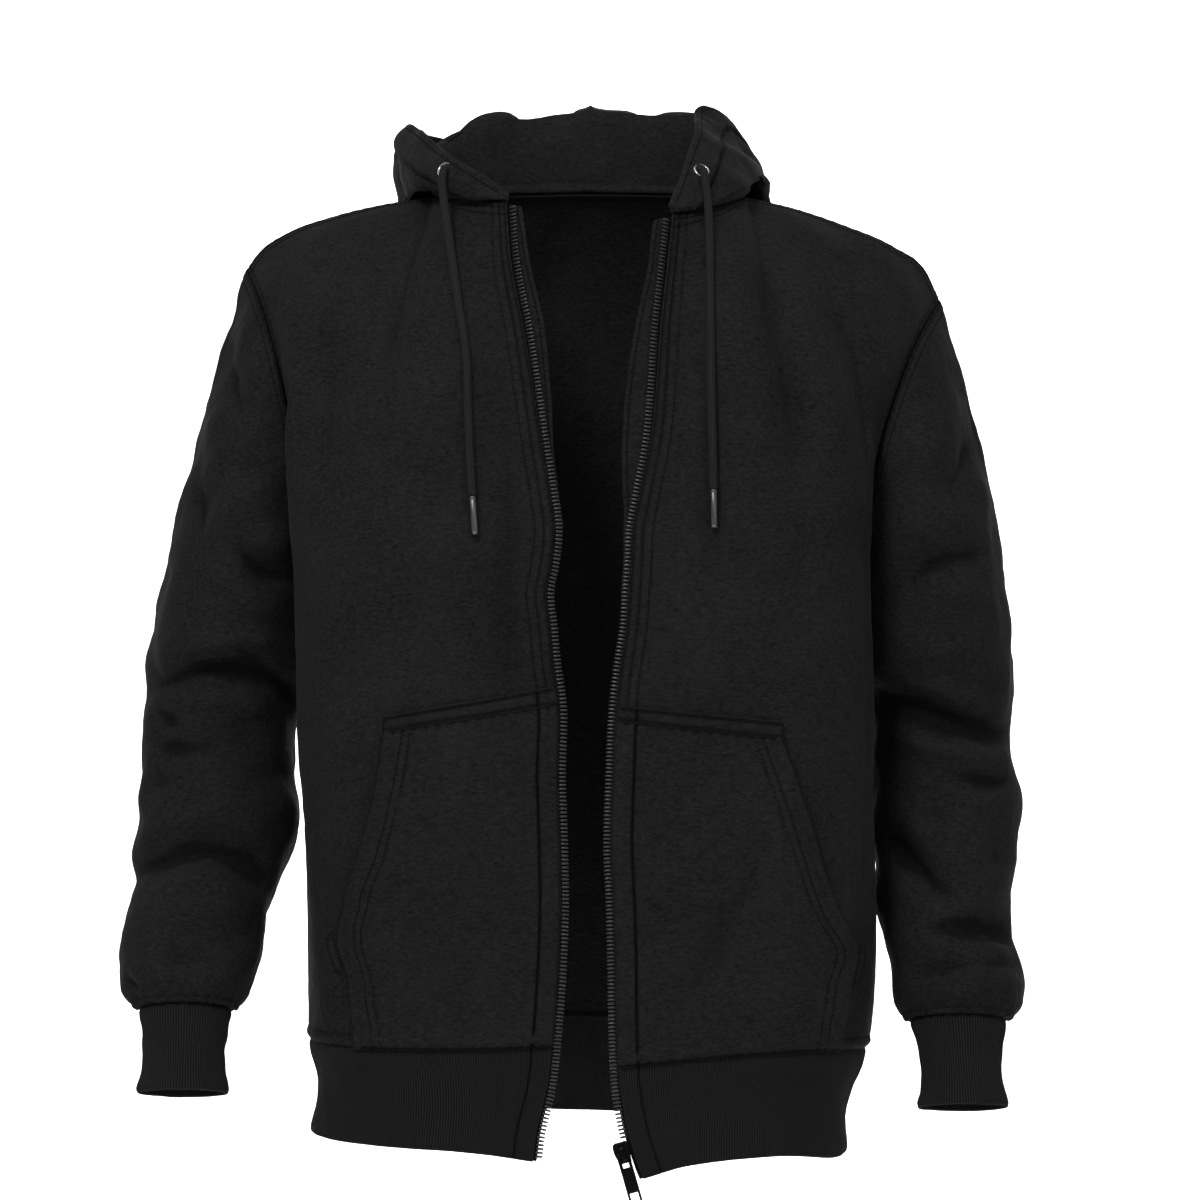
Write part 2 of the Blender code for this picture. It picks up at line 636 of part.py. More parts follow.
def armhole(side, face, at):
    """The armhole by its front or back face, from the underarm (0) to the shoulder point (1)."""
    at = np.asarray(at, float)
    low, high = underarm(side), shoulder(side, 1.0)
    across = side * read(ARMHOLE, "at", face + "_across", at)
    depth = read(ARMHOLE, "at", face + "_depth", at)
    rise = read(ARMHOLE, "at", "rise", at)
    curve = np.stack([across, depth, low[2] + (high[2] - low[2]) * rise], axis=-1)
    low_fault = low - armhole_end(side, face, 0.0, low, high)
    high_fault = high - armhole_end(side, face, 1.0, low, high)
    return curve + (1.0 - at)[..., None] * low_fault + at[..., None] * high_fault


def armhole_end(side, face, at, low, high):
    """The armhole table's own end point, before it is drawn to the seam's real end."""
    across = side * read(ARMHOLE, "at", face + "_across", at)
    depth = read(ARMHOLE, "at", face + "_depth", at)
    rise = read(ARMHOLE, "at", "rise", at)
    return np.array([float(across), float(depth), low[2] + (high[2] - low[2]) * float(rise)])


def hem_height(side, turn, name):
    """The height of the hem's seam or foot at a turn round the level section."""
    return read(HEM, "turn", name + "_" + SIDE_NAMES[side], turn)


def lower_body(side, turn, share):
    """The body from the hem seam (share 0) up to the armpit level (1)."""
    seam = hem_height(side, turn, "seam")
    return level(side, turn, seam + (ARMPIT_HEIGHT - seam) * share)


def armpit_rise(side, turn):
    """Which way the body's cloth heads as it passes the armpit level."""
    below = level(side, turn, ARMPIT_HEIGHT - 0.02)
    return unit(level(side, turn, np.full(np.shape(turn), ARMPIT_HEIGHT)) - below)


FRONT_STEPS = NECK_STEPS + SHOULDER_STEPS
NECK_SHARE = NECK_STEPS / FRONT_STEPS


def front_top(side, u):
    """The upper edge of a front: the neckline, then the shoulder seam."""
    on_neck = neckline(side, 0.5 * np.clip(u / NECK_SHARE, 0.0, 1.0))
    on_shoulder = shoulder(side, np.clip((u - NECK_SHARE) / (1.0 - NECK_SHARE), 0.0, 1.0))
    return np.where((u < NECK_SHARE)[..., None], on_neck, on_shoulder)


def front_base(side, u, v):
    """A front without its folds: u from the zip to the side, v 0 hem seam, 1 armpit, 2 top."""
    u, v = np.broadcast_arrays(np.asarray(u, float), np.asarray(v, float))
    turn = 5.0 * u
    low = lower_body(side, turn, np.clip(v, 0.0, 1.0))
    t = np.clip(v - 1.0, 0.0, 1.0)
    start = level(side, turn, np.full(u.shape, ARMPIT_HEIGHT))
    end = front_top(side, u)
    length = np.linalg.norm(end - start, axis=-1, keepdims=True)
    over = smooth(u / NECK_SHARE)[..., None]
    at_neck = np.array([0.0, 0.35, 0.94])
    at_shoulder = np.array([0.0, 0.95, 0.30])
    arrive = unit(at_neck * (1.0 - over) + at_shoulder * over)
    high = hermite(start, end, armpit_rise(side, turn) * length, arrive * length, t)
    ones, zeros = np.ones(u.shape), np.zeros(u.shape)
    side_end = level(side, 5.0 * ones, ARMPIT_HEIGHT * ones)
    side_top = shoulder(side, ones)
    side_length = np.linalg.norm(side_top - side_end, axis=-1, keepdims=True)
    plain = hermite(
        side_end, side_top, armpit_rise(side, 5.0 * ones) * side_length,
        unit(at_shoulder) * side_length, t,
    )
    high = high + (smooth((u - 0.35) / 0.65) ** 2)[..., None] * (armhole(side, "front", t) - plain)
    zip_start = level(side, zeros, ARMPIT_HEIGHT * ones)
    zip_top = neckline(side, zeros)
    zip_length = np.linalg.norm(zip_top - zip_start, axis=-1, keepdims=True)
    straight = hermite(
        zip_start, zip_top, armpit_rise(side, zeros) * zip_length,
        unit(at_neck) * zip_length, t,
    )
    edge = zip_edge(side, ARMPIT_HEIGHT + (zip_top[..., 2] - ARMPIT_HEIGHT) * t)
    edge = edge + t[..., None] * (zip_top - zip_edge(side, zip_top[..., 2]))
    high = high + ((1.0 - smooth(u / 0.45)) ** 2)[..., None] * (edge - straight)
    return np.where((v < 1.0)[..., None], low, high)


def back_base(u, v):
    """The back without its folds: u from the right side to the left, v as on a front."""
    u, v = np.broadcast_arrays(np.asarray(u, float), np.asarray(v, float))
    right = half_back(RIGHT, 2.0 * u, v)
    left = half_back(LEFT, 2.0 * (1.0 - u), v)
    return np.where((u < 0.5)[..., None], right, left)


BACK_STEPS = SHOULDER_STEPS + BACK_NECK_STEPS
BACK_SHOULDER_SHARE = SHOULDER_STEPS / BACK_STEPS


def half_back(side, w, v):
    """Half of the back: w from the side seam (0) to the centre back (1)."""
    w = np.clip(w, 0.0, 1.0)
    turn = 5.0 + 4.0 * w
    low = lower_body(side, turn, np.clip(v, 0.0, 1.0))
    t = np.clip(v - 1.0, 0.0, 1.0)
    start = level(side, turn, np.full(w.shape, ARMPIT_HEIGHT))
    on_shoulder = shoulder(side, np.clip(1.0 - w / BACK_SHOULDER_SHARE, 0.0, 1.0))
    past = np.clip((w - BACK_SHOULDER_SHARE) / (1.0 - BACK_SHOULDER_SHARE), 0.0, 1.0)
    on_neck = neckline(side, 0.5 + 0.5 * past)
    end = np.where((w < BACK_SHOULDER_SHARE)[..., None], on_shoulder, on_neck)
    length = np.linalg.norm(end - start, axis=-1, keepdims=True)
    over = smooth(past)[..., None]
    at_shoulder = np.array([0.0, -0.95, 0.12])
    at_neck = np.array([0.0, -0.75, 0.66])
    arrive = unit(at_shoulder * (1.0 - over) + at_neck * over)
    high = hermite(start, end, armpit_rise(side, turn) * length, arrive * length, t)
    ones = np.ones(w.shape)
    side_end = level(side, 5.0 * ones, ARMPIT_HEIGHT * ones)
    side_top = shoulder(side, ones)
    side_length = np.linalg.norm(side_top - side_end, axis=-1, keepdims=True)
    plain = hermite(
        side_end, side_top, armpit_rise(side, 5.0 * ones) * side_length,
        unit(at_shoulder) * side_length, t,
    )
    high = high + (smooth(1.0 - w / 0.65) ** 2)[..., None] * (armhole(side, "back", t) - plain)
    return np.where((v < 1.0)[..., None], low, high)


def ring_point(side, rows, turn, height, lean_out, lean_forward):
    """A point of an arm's ring: turn 0 outside, 90 front, 180 inside, 270 back, in degrees."""
    across = read_down(rows, "across", height)
    depth = read_down(rows, "depth", height)
    wide = read_down(rows, "half_width", height) * np.cos(np.radians(turn))
    deep = read_down(rows, "half_depth", height) * np.sin(np.radians(turn))
    out, forward = np.radians(lean_out), np.radians(lean_forward)
    return np.stack(
        [
            side * (across + wide * np.cos(out)),
            depth - deep * np.cos(forward),
            height + wide * np.sin(out) + deep * np.sin(forward),
        ],
        axis=-1,
    )


def read_down(rows, name, height):
    """One column of a table whose heights run downward."""
    return through(rows["height"][::-1], rows[name][::-1], height)


def armhole_point(side, turn):
    """The armhole loop at a sleeve's turn: 0 shoulder point, 180 underarm."""
    front = armhole(side, "front", np.clip(1.0 - turn / 180.0, 0.0, 1.0))
    back = armhole(side, "back", np.clip((turn - 180.0) / 180.0, 0.0, 1.0))
    return np.where((turn < 180.0)[..., None], front, back)


def sleeve_base(side, turn, v):
    """A sleeve without its folds: v 0 armhole, 1 first whole ring, 2 cuff seam."""
    turn, v = np.broadcast_arrays(np.asarray(turn, float) % 360.0, np.asarray(v, float))
    rows = SLEEVE[side]
    top, foot = rows["height"][0], rows["height"][-1]
    height = top + (foot - top) * np.clip(v - 1.0, 0.0, 1.0)
    low = ring_point(
        side, rows, turn, height,
        read_down(rows, "lean_out", height), read_down(rows, "lean_forward", height),
    )
    start = armhole_point(side, turn)
    first = np.full(turn.shape, top)
    end = ring_point(side, rows, turn, first, rows["lean_out"][0], rows["lean_forward"][0])
    length = np.linalg.norm(end - start, axis=-1, keepdims=True)
    forward = np.sin(np.radians(turn))
    outside = 0.5 + 0.5 * np.cos(np.radians(turn))
    leave = np.stack(
        [side * (0.22 + 0.07 * outside + 0.16 * abs(forward)), -0.22 * forward, -0.93 + 0.0 * turn],
        axis=-1,
    )
    along = np.array([side * ARM_SLANT[side], 0.08, -0.98])
    high = hermite(start, end, unit(leave) * length, unit(along) * length, np.clip(v, 0.0, 1.0))
    return np.where((v < 1.0)[..., None], high, low)


def cuff_surface(side, turn, v):
    """A cuff: v 0 at the cuff seam, 1 at the wrist opening."""
    turn, v = np.broadcast_arrays(np.asarray(turn, float) % 360.0, np.asarray(v, float))
    rows = CUFF[side]
    height = rows["height"][0] + (rows["height"][-1] - rows["height"][0]) * v
    return ring_point(side, rows, turn, height, 0.0, CUFF_LEAN)


def hem_surface(u, v):
    """The hem band: u from the right zip edge round the back to the left, v 0 seam, 1 foot."""
    u, v = np.broadcast_arrays(np.asarray(u, float), np.asarray(v, float))
    halves = []
    for side, share in ((RIGHT, 2.0 * u), (LEFT, 2.0 - 2.0 * u)):
        turn = hem_turn(np.clip(share, 0.0, 1.0))
        seam = hem_height(side, turn, "seam")
        halves.append(level(side, turn, seam + (hem_height(side, turn, "foot") - seam) * v))
    return np.where((u < 0.5)[..., None], halves[0], halves[1])


HEM_HALF_STEPS = FRONT_STEPS + BACK_STEPS


def hem_turn(share):
    """The level section's turn at a share of half of the hem, in the panels' own steps."""
    steps = share * HEM_HALF_STEPS
    on_front = 5.0 * steps / FRONT_STEPS
    on_back = 5.0 + 4.0 * (steps - FRONT_STEPS) / BACK_STEPS
    return np.where(steps <= FRONT_STEPS, on_front, on_back)


def hood_surface(side, at, t):
    """Half of the hood: at runs along the neckline, t from the neck seam (0) to the rim (1)."""
    at, t = np.broadcast_arrays(np.asarray(at, float), np.asarray(t, float))
    rows = HOOD[side]
    turn = np.radians(read(rows, "at", "turn", at))
    count = len(HOOD_POINTS) + 1
    profile = np.zeros(at.shape + (count + 2, 2))
    for k, name in enumerate(HOOD_POINTS):
        profile[..., k + 2, 0] = read(rows, "at", name + "_out", at)
        profile[..., k + 2, 1] = read(rows, "at", name + "_up", at)
    profile[..., 0, :] = 2.0 * profile[..., 1, :] - profile[..., 2, :]
    profile[..., -1, :] = 2.0 * profile[..., -2, :] - profile[..., -3, :]
    step = np.einsum("...pk,...p->...k", profile, spline_weights(t * (count - 1), count))
    out, up = step[..., 0], step[..., 1]
    seam = neckline(side, at)
    return seam + np.stack([side * out * np.sin(turn), -out * np.cos(turn), up], axis=-1)


def bent_line(rows, k, steps=9):
    """Points along fold k of a table: a curve through its three points, seen from the front."""
    t = np.linspace(0.0, 1.0, steps)[:, None]
    a = np.array([rows["x0"][k], rows["z0"][k]])
    b = np.array([rows["x1"][k], rows["z1"][k]])
    c = np.array([rows["x2"][k], rows["z2"][k]])
    pull = 2.0 * b - 0.5 * (a + c)
    return (1.0 - t) ** 2 * a + 2.0 * t * (1.0 - t) * pull + t**2 * c


def fold_rise(points, rows, mirror=1.0):
    """How far the folds of a table lift the cloth at each point."""
    place = points[..., [0, 2]] * np.array([mirror, 1.0])
    rise = np.zeros(points.shape[:-1])
    for k in range(len(rows["rise"])):
        line = bent_line(rows, k)
        nearest = np.full(rise.shape, np.inf)
        along = np.zeros(rise.shape)
        for i in range(len(line) - 1):
            run = line[i + 1] - line[i]
            share = np.clip(((place - line[i]) @ run) / (run @ run), 0.0, 1.0)
            off = np.linalg.norm(place - line[i] - share[..., None] * run, axis=-1)
            closer = off < nearest
            nearest = np.where(closer, off, nearest)
            along = np.where(closer, (i + share) / (len(line) - 1), along)
        body = np.exp(-((nearest / rows["half_width"][k]) ** 2))
        rise += rows["rise"][k] * body * (0.35 + 0.65 * np.sin(np.pi * along))
    return rise


def normals_of(surface, u, v, u_limits=(0.0, 1.0), v_limits=(0.0, 1.0), turned=1.0):
    """Unit normals of a surface, by small steps each way that stay within its limits."""
    small = 1e-3
    u0, u1 = np.clip(u - small, *u_limits), np.clip(u + small, *u_limits)
    v0, v1 = np.clip(v - small, *v_limits), np.clip(v + small, *v_limits)
    across = surface(u1, v) - surface(u0, v)
    along = surface(u, v1) - surface(u, v0)
    return unit(np.cross(across, along)) * turned


def border_fade(share, width=0.10):
    """0 on both borders of a panel and 1 away from them."""
    return smooth(share / width) * smooth((1.0 - share) / width)


def front_surface(side, u, v):
    """A front with its folds."""
    u, v = np.broadcast_arrays(np.asarray(u, float), np.asarray(v, float))

    def base(a, b):
        return front_base(side, a, b)

    points = base(u, v)
    out = normals_of(base, u, v, (0.0, 1.0), (0.0, 2.0), turned=side)
    fade = smooth(u / 0.10) * smooth((1.0 - u) / 0.08) * border_fade(v / 2.0, 0.05)
    rise = fold_rise(points, FOLDS["front_" + SIDE_NAMES[side]]) * fade
    return points + out * (rise * smooth(-1.6 * out[..., 1]))[..., None]


def back_surface(u, v):
    """The back with its folds."""
    u, v = np.broadcast_arrays(np.asarray(u, float), np.asarray(v, float))
    points = back_base(u, v)
    out = normals_of(back_base, u, v, (0.0, 1.0), (0.0, 2.0), turned=-1.0)
    fade = border_fade(u, 0.06) * border_fade(v / 2.0, 0.06)
    rise = fold_rise(points, FOLDS["back"]) * fade
    return points + out * (rise * smooth(1.6 * out[..., 1]))[..., None]


def sleeve_surface(side, turn, v):
    """A sleeve with its folds, on the front and, smaller, on the back of the arm."""
    turn, v = np.broadcast_arrays(np.asarray(turn, float), np.asarray(v, float))

    def base(a, b):
        return sleeve_base(side, a * 360.0, b)

    points = base(turn / 360.0, v)
    out = normals_of(base, turn / 360.0, v, (-1.0, 2.0), (0.0, 2.0), turned=side)
    fade = smooth(v / 0.15) * smooth((2.0 - v) / 0.06)
    ahead = fold_rise(points, FOLDS["sleeve_" + SIDE_NAMES[side]]) * smooth(-1.8 * out[..., 1])
    behind = fold_rise(points, FOLDS["sleeve_back"], side) * smooth(1.8 * out[..., 1])
    return points + out * ((ahead + behind) * fade)[..., None]


def place_on(surface, start, across, height, u_limits, v_limits):
    """The surface's u and v whose point has the given place across and height."""
    u = np.full(np.shape(across), float(start[0]))
    v = np.full(np.shape(across), float(start[1]))
    small = 1e-3
    for _ in range(25):
        here = surface(u, v)
        by_u = (surface(u + small, v) - here) / small
        by_v = (surface(u, v + small) - here) / small
        miss_x, miss_z = across - here[..., 0], height - here[..., 2]
        det = by_u[..., 0] * by_v[..., 2] - by_u[..., 2] * by_v[..., 0]
        det = np.where(abs(det) < 1e-9, 1e-9, det)
        du = (miss_x * by_v[..., 2] - miss_z * by_v[..., 0]) / det
        dv = (by_u[..., 0] * miss_z - by_u[..., 2] * miss_x) / det
        u = np.clip(u + np.clip(du, -0.1, 0.1), *u_limits)
        v = np.clip(v + np.clip(dv, -0.2, 0.2), *v_limits)
    return u, v


def front_place(side, across, height):
    """Where on a front a point seen from the front lies: its u and v."""
    return place_on(
        lambda a, b: front_surface(side, a, b), (0.3, 0.8), across, height, (0.0, 1.0), (0.0, 1.999)
    )


def front_normals(side, u, v):
    """Outward normals of a front with its folds."""
    return normals_of(
        lambda a, b: front_surface(side, a, b), u, v, (0.0, 1.0), (0.0, 2.0), turned=side
    )


# ---------------------------------------------------------------------------- panels


class Panel:
    """A sampled surface that becomes a wall: its points, its outward normals and its cloth."""

    def __init__(self, name, points, normals, cloth, tube, sewn, material):
        self.name = name
        self.points = points
        self.normals = normals
        self.cloth = cloth
        self.tube = tube
        self.sewn = sewn
        self.material = material

    def border(self):
        """Row and column indices of the sewn borders."""
        rows, columns = self.points.shape[:2]
        found = []
        if "first_row" in self.sewn:
            found += [(0, c) for c in range(columns)]
        if "last_row" in self.sewn:
            found += [(rows - 1, c) for c in range(columns)]
        if "first_column" in self.sewn:
            found += [(r, 0) for r in range(rows)]
        if "last_column" in self.sewn:
            found += [(r, columns - 1) for r in range(rows)]
        return sorted(set(found))


def grid_normals(points, tube, toward):
    """Outward normals of a grid of points. toward is a point that the outside faces away from."""
    if tube:
        across = np.roll(points, -1, axis=1) - np.roll(points, 1, axis=1)
    else:
        across = np.gradient(points, axis=1)
    along = np.gradient(points, axis=0)
    out = unit(np.cross(across, along))
    if toward < 0:
        out = -out
    return out


def share_seams(panels, within=5e-5):
    """Give points that panels have in common one normal, so that their walls meet in a mitre."""
    owners = [(panel, key) for panel in panels for key in panel.border()]
    tree = kdtree.KDTree(len(owners))
    for i, (panel, key) in enumerate(owners):
        tree.insert(Vector(panel.points[key]), i)
    tree.balance()
    shared = []
    for panel, key in owners:
        near = tree.find_range(Vector(panel.points[key]), within)
        total = sum(owners[i][0].normals[owners[i][1]] for _, i, _ in near)
        shared.append(unit(total))
    for (panel, key), normal in zip(owners, shared):
        panel.normals[key] = normal


def draw_back(panel):
    """Draw the sewn borders back from their seam by half of the seam's gap."""
    points = panel.points
    moved = points.copy()
    half = 0.5 * SEAM_GAP
    if "first_row" in panel.sewn:
        moved[0] += half * unit(points[1] - points[0])
    if "last_row" in panel.sewn:
        last = TOP_GAP if panel.name.startswith(("front", "back")) else half
        moved[-1] += last * unit(points[-2] - points[-1])
    if "first_column" in panel.sewn:
        moved[:, 0] += half * unit(points[:, 1] - points[:, 0])
    if "last_column" in panel.sewn:
        moved[:, -1] += half * unit(points[:, -2] - points[:, -1])
    panel.points = moved


def grid_samples(inner, steps=5):
    """Points spread over every cell of a grid, and each point's share of the cell's corners."""
    found = []
    for a in np.linspace(0.0, 1.0, steps):
        for b in np.linspace(0.0, 1.0, steps):
            share = ((1 - a) * (1 - b), (1 - a) * b, a * (1 - b), a * b)
            corners = (inner[:-1, :-1], inner[:-1, 1:], inner[1:, :-1], inner[1:, 1:])
            found.append((share, sum(s * c for s, c in zip(share, corners))))
    return found


def settle(inner, out, under, gap):
    """How far each point of a laid grid must move out so that the grid clears what it lies on."""
    lift = np.zeros(inner.shape[:2])
    for _ in range(SETTLE_ROUNDS):
        moved = inner + out * lift[..., None]
        need = np.zeros(lift.shape)
        for share, points in grid_samples(moved):
            for r in range(points.shape[0]):
                for c in range(points.shape[1]):
                    at, normal, _, _ = under.find_nearest(Vector(points[r, c]))
                    short = gap - (Vector(points[r, c]) - at).dot(normal)
                    if short <= 0.0 or short > SETTLE_LIMIT:
                        continue
                    for s, (i, j) in zip(share, ((r, c), (r, c + 1), (r + 1, c), (r + 1, c + 1))):
                        if s > 0.0:
                            need[i, j] = max(need[i, j], short * min(1.0, 1.5 * s + 0.25))
        lift += need
        if need.max() < SETTLE_DONE:
            break
    return lift


def tree_of(*names):
    """The outsides of built pieces, to measure from."""
    verts, faces = [], []
    for name in names:
        data = bpy.data.objects[name].data
        first = len(verts)
        verts += [v.co.copy() for v in data.vertices]
        faces += [[first + i for i in face.vertices] for face in data.polygons]
    return BVHTree.FromPolygons(verts, faces)


def loft_wall(name, outer, inner, tube, material):
    """A closed wall between two grids of points, open at its ends if it is a tube."""
    rows, columns = outer.shape[:2]
    mesh = bmesh.new()
    skins = [
        [[mesh.verts.new(skin[r, c]) for c in range(columns)] for r in range(rows)]
        for skin in (outer, inner)
    ]
    last = columns if tube else columns - 1
    for skin in skins:
        for r in range(rows - 1):
            for c in range(last):
                d = (c + 1) % columns
                mesh.faces.new((skin[r][c], skin[r][d], skin[r + 1][d], skin[r + 1][c]))
    a, b = skins
    for r in (0, rows - 1):
        for c in range(last):
            d = (c + 1) % columns
            mesh.faces.new((a[r][c], a[r][d], b[r][d], b[r][c]))
    if not tube:
        for c in (0, columns - 1):
            for r in range(rows - 1):
                mesh.faces.new((a[r][c], a[r + 1][c], b[r + 1][c], b[r][c]))
    bmesh.ops.triangulate(mesh, faces=mesh.faces)
    bmesh.ops.recalc_face_normals(mesh, faces=mesh.faces)
    return object_from(name, mesh, material)


def object_from(name, mesh, material, smooth_angle=math.radians(50)):
    """An object in the garment's collection from a bmesh, shaded smooth."""
    data = bpy.data.meshes.new(name)
    mesh.to_mesh(data)
    mesh.free()
    data.shade_smooth()
    data.set_sharp_from_angle(angle=smooth_angle)
    made = bpy.data.objects.new(name, data)
    made.data.materials.append(material)
    bpy.data.collections[COLLECTION].objects.link(made)
    return made


COLLECTION = "zip_up_hoodie"
HELPERS = "helpers"


def start_scene():
    """Empty the scene and make the garment's collection."""
    for old in list(bpy.data.objects):
        bpy.data.objects.remove(old)
    kept = bpy.data.collections.new(COLLECTION)
    bpy.context.scene.collection.children.link(kept)
    bpy.context.view_layer.active_layer_collection = (
        bpy.context.view_layer.layer_collection.children[COLLECTION]
    )


def make_material(name, colour, roughness, metallic=0.0):
    """A plain finish."""
    made = bpy.data.materials.new(name)
    made.use_nodes = True
    shader = made.node_tree.nodes["Principled BSDF"]
    shader.inputs["Base Color"].default_value = (*colour, 1.0)
    shader.inputs["Roughness"].default_value = roughness
    shader.inputs["Metallic"].default_value = metallic
    made.diffuse_color = (*colour, 1.0)
    return made


def panel_grid(surface, u, v):
    """A surface's points for every v (a row each) and every u (a column each)."""
    return surface(*np.meshgrid(u, v))


def body_rows():
    """v of every row of a front or the back."""
    lower = np.linspace(0.0, 1.0, SIDE_STEPS + 1)
    return np.concatenate([lower, 1.0 + np.linspace(0.0, 1.0, ARMHOLE_STEPS + 1)[1:]])


def front_panel(side, cloth):
    name = "front_" + SIDE_NAMES[side]
    u = np.linspace(0.0, 1.0, FRONT_STEPS + 1)
    points = panel_grid(lambda a, b: front_surface(side, a, b), u, body_rows())
    sewn = ("first_row", "last_row", "last_column")
    return Panel(name, points, grid_normals(points, False, side), BODY_CLOTH, False, sewn, cloth)


def back_panel(cloth):
    half = 0.5 * np.linspace(0.0, 1.0, BACK_STEPS + 1)
    u = np.concatenate([half, (1.0 - half[::-1])[1:]])
    points = panel_grid(back_surface, u, body_rows())
    sewn = ("first_row", "last_row", "first_column", "last_column")
    return Panel("back", points, grid_normals(points, False, -1), BODY_CLOTH, False, sewn, cloth)


def sleeve_turns():
    """A sleeve's turns in degrees, a column each, in step with the armhole's rows."""
    return np.arange(2 * ARMHOLE_STEPS) * 180.0 / ARMHOLE_STEPS


def sleeve_panel(side, cloth):
    name = "sleeve_" + SIDE_NAMES[side]
    upper = np.linspace(0.0, 1.0, UPPER_ARM_STEPS + 1)
    v = np.concatenate([upper, 1.0 + np.linspace(0.0, 1.0, FOREARM_STEPS + 1)[1:]])
    points = panel_grid(lambda a, b: sleeve_surface(side, a, b), sleeve_turns(), v)
    sewn = ("first_row", "last_row")
    return Panel(name, points, grid_normals(points, True, side), BODY_CLOTH, True, sewn, cloth)


def cuff_panel(side, rib):
    name = "cuff_" + SIDE_NAMES[side]
    v = np.linspace(0.0, 1.0, CUFF_STEPS + 1)
    points = panel_grid(lambda a, b: cuff_surface(side, a, b), sleeve_turns(), v)
    normals = grid_normals(points, True, side)
    return Panel(name, points, normals, RIB_CLOTH, True, ("first_row",), rib)


def hem_panel(rib):
    half = 0.5 * np.linspace(0.0, 1.0, HEM_HALF_STEPS + 1)
    u = np.concatenate([half, (1.0 - half[::-1])[1:]])
    points = panel_grid(hem_surface, u, np.linspace(0.0, 1.0, HEM_STEPS + 1))
    normals = grid_normals(points, False, 1)
    return Panel("hem_band", points, normals, RIB_CLOTH, False, ("first_row",), rib)


def hood_panel(side, cloth):
    name = "hood_" + SIDE_NAMES[side]
    front = 0.5 * np.linspace(0.0, 1.0, NECK_STEPS + 1)
    back = 0.5 + 0.5 * np.linspace(0.0, 1.0, BACK_NECK_STEPS + 1)[1:]
    at = np.concatenate([front, back])
    t = np.linspace(0.0, 1.0, HOOD_STEPS + 1)
    points = panel_grid(lambda a, b: hood_surface(side, a, b), at, t)
    sewn = ("first_row", "last_column")
    return Panel(name, points, grid_normals(points, False, side), HOOD_CLOTH, False, sewn, cloth)


def make_panels(fleece, rib):
    """The sewn cloth pieces."""
    panels = [back_panel(fleece), hem_panel(rib)]
    for side in (RIGHT, LEFT):
        panels.append(front_panel(side, fleece))
        panels.append(sleeve_panel(side, fleece))
        panels.append(cuff_panel(side, rib))
        panels.append(hood_panel(side, fleece))
    share_seams(panels)
    for panel in panels:
        draw_back(panel)
        inner = panel.points - panel.normals * panel.cloth
        loft_wall(panel.name, panel.points, inner, panel.tube, panel.material)


# ---------------------------------------------------------------------------- pockets


def pocket_line(side, name, share):
    """A height on the pocket's top or strip line, from the zip (share 0) to the outer corner."""
    rows = POCKET_LINES[side]
    return rows[name][0] + (rows[name][1] - rows[name][0]) * share


def pocket_outer(side, height):
    """How far across the pocket's outer edge lies at a height."""
    return read_down(POCKET_EDGE[side], "across", height)


def pocket_inner(side, height):
    """How far across the pocket's edge beside the zip lies at a height."""
    return read(ZIP_LINE, "height", SIDE_NAMES[side], height) + ZIP_MARGIN + POCKET_INSET


def pocket_foot(side, share):
    """The height of the pocket's foot, just over the hem seam below it."""
    turn = np.linspace(0.0, 5.0, 41)
    seam = lower_body(side, turn, np.zeros(turn.shape))
    order = np.argsort(seam[:, 0] * side)
    guess = hem_height(side, 4.0, "seam")
    inner = pocket_inner(side, guess)
    across = inner + (pocket_outer(side, guess) - inner) * share
    return np.interp(across, seam[order, 0] * side, seam[order, 2]) + POCKET_FOOT


def pocket_places(side, share, down):
    """Across and height of pocket points: share from zip to outer edge, down from strip to hem."""
    foot = pocket_foot(side, share)
    top = pocket_line(side, "strip", share) - SEAM_GAP
    height = top + (foot - top) * down
    outer_foot = float(pocket_foot(side, np.array(1.0)))
    outer_top = pocket_line(side, "strip", 1.0) - SEAM_GAP
    outer = pocket_outer(side, outer_top + (outer_foot - outer_top) * down)
    inner = pocket_inner(side, height)
    return side * (inner + (outer - inner) * share), height


def pocket_lift(share, down):
    """How far the pocket stands off the front between its seams."""
    return POCKET_PUFF * smooth(share / 0.5) * np.sin(np.pi * np.clip(down / 0.62, 0.0, 1.0))


def lay_on_front(name, side, across, height, lift, cloth, material):
    """A patch laid on a front: the front's own points, moved out."""
    u, v = front_place(side, across, height)
    points, out = front_surface(side, u, v), front_normals(side, u, v)
    inner = points + out * (LIE_GAP + lift)[..., None]
    under = tree_of("front_" + SIDE_NAMES[side], "hem_band")
    inner = inner + out * settle(inner, out, under, LIE_GAP)[..., None]
    outer = inner + out * cloth
    return loft_wall(name, outer, inner, False, material)


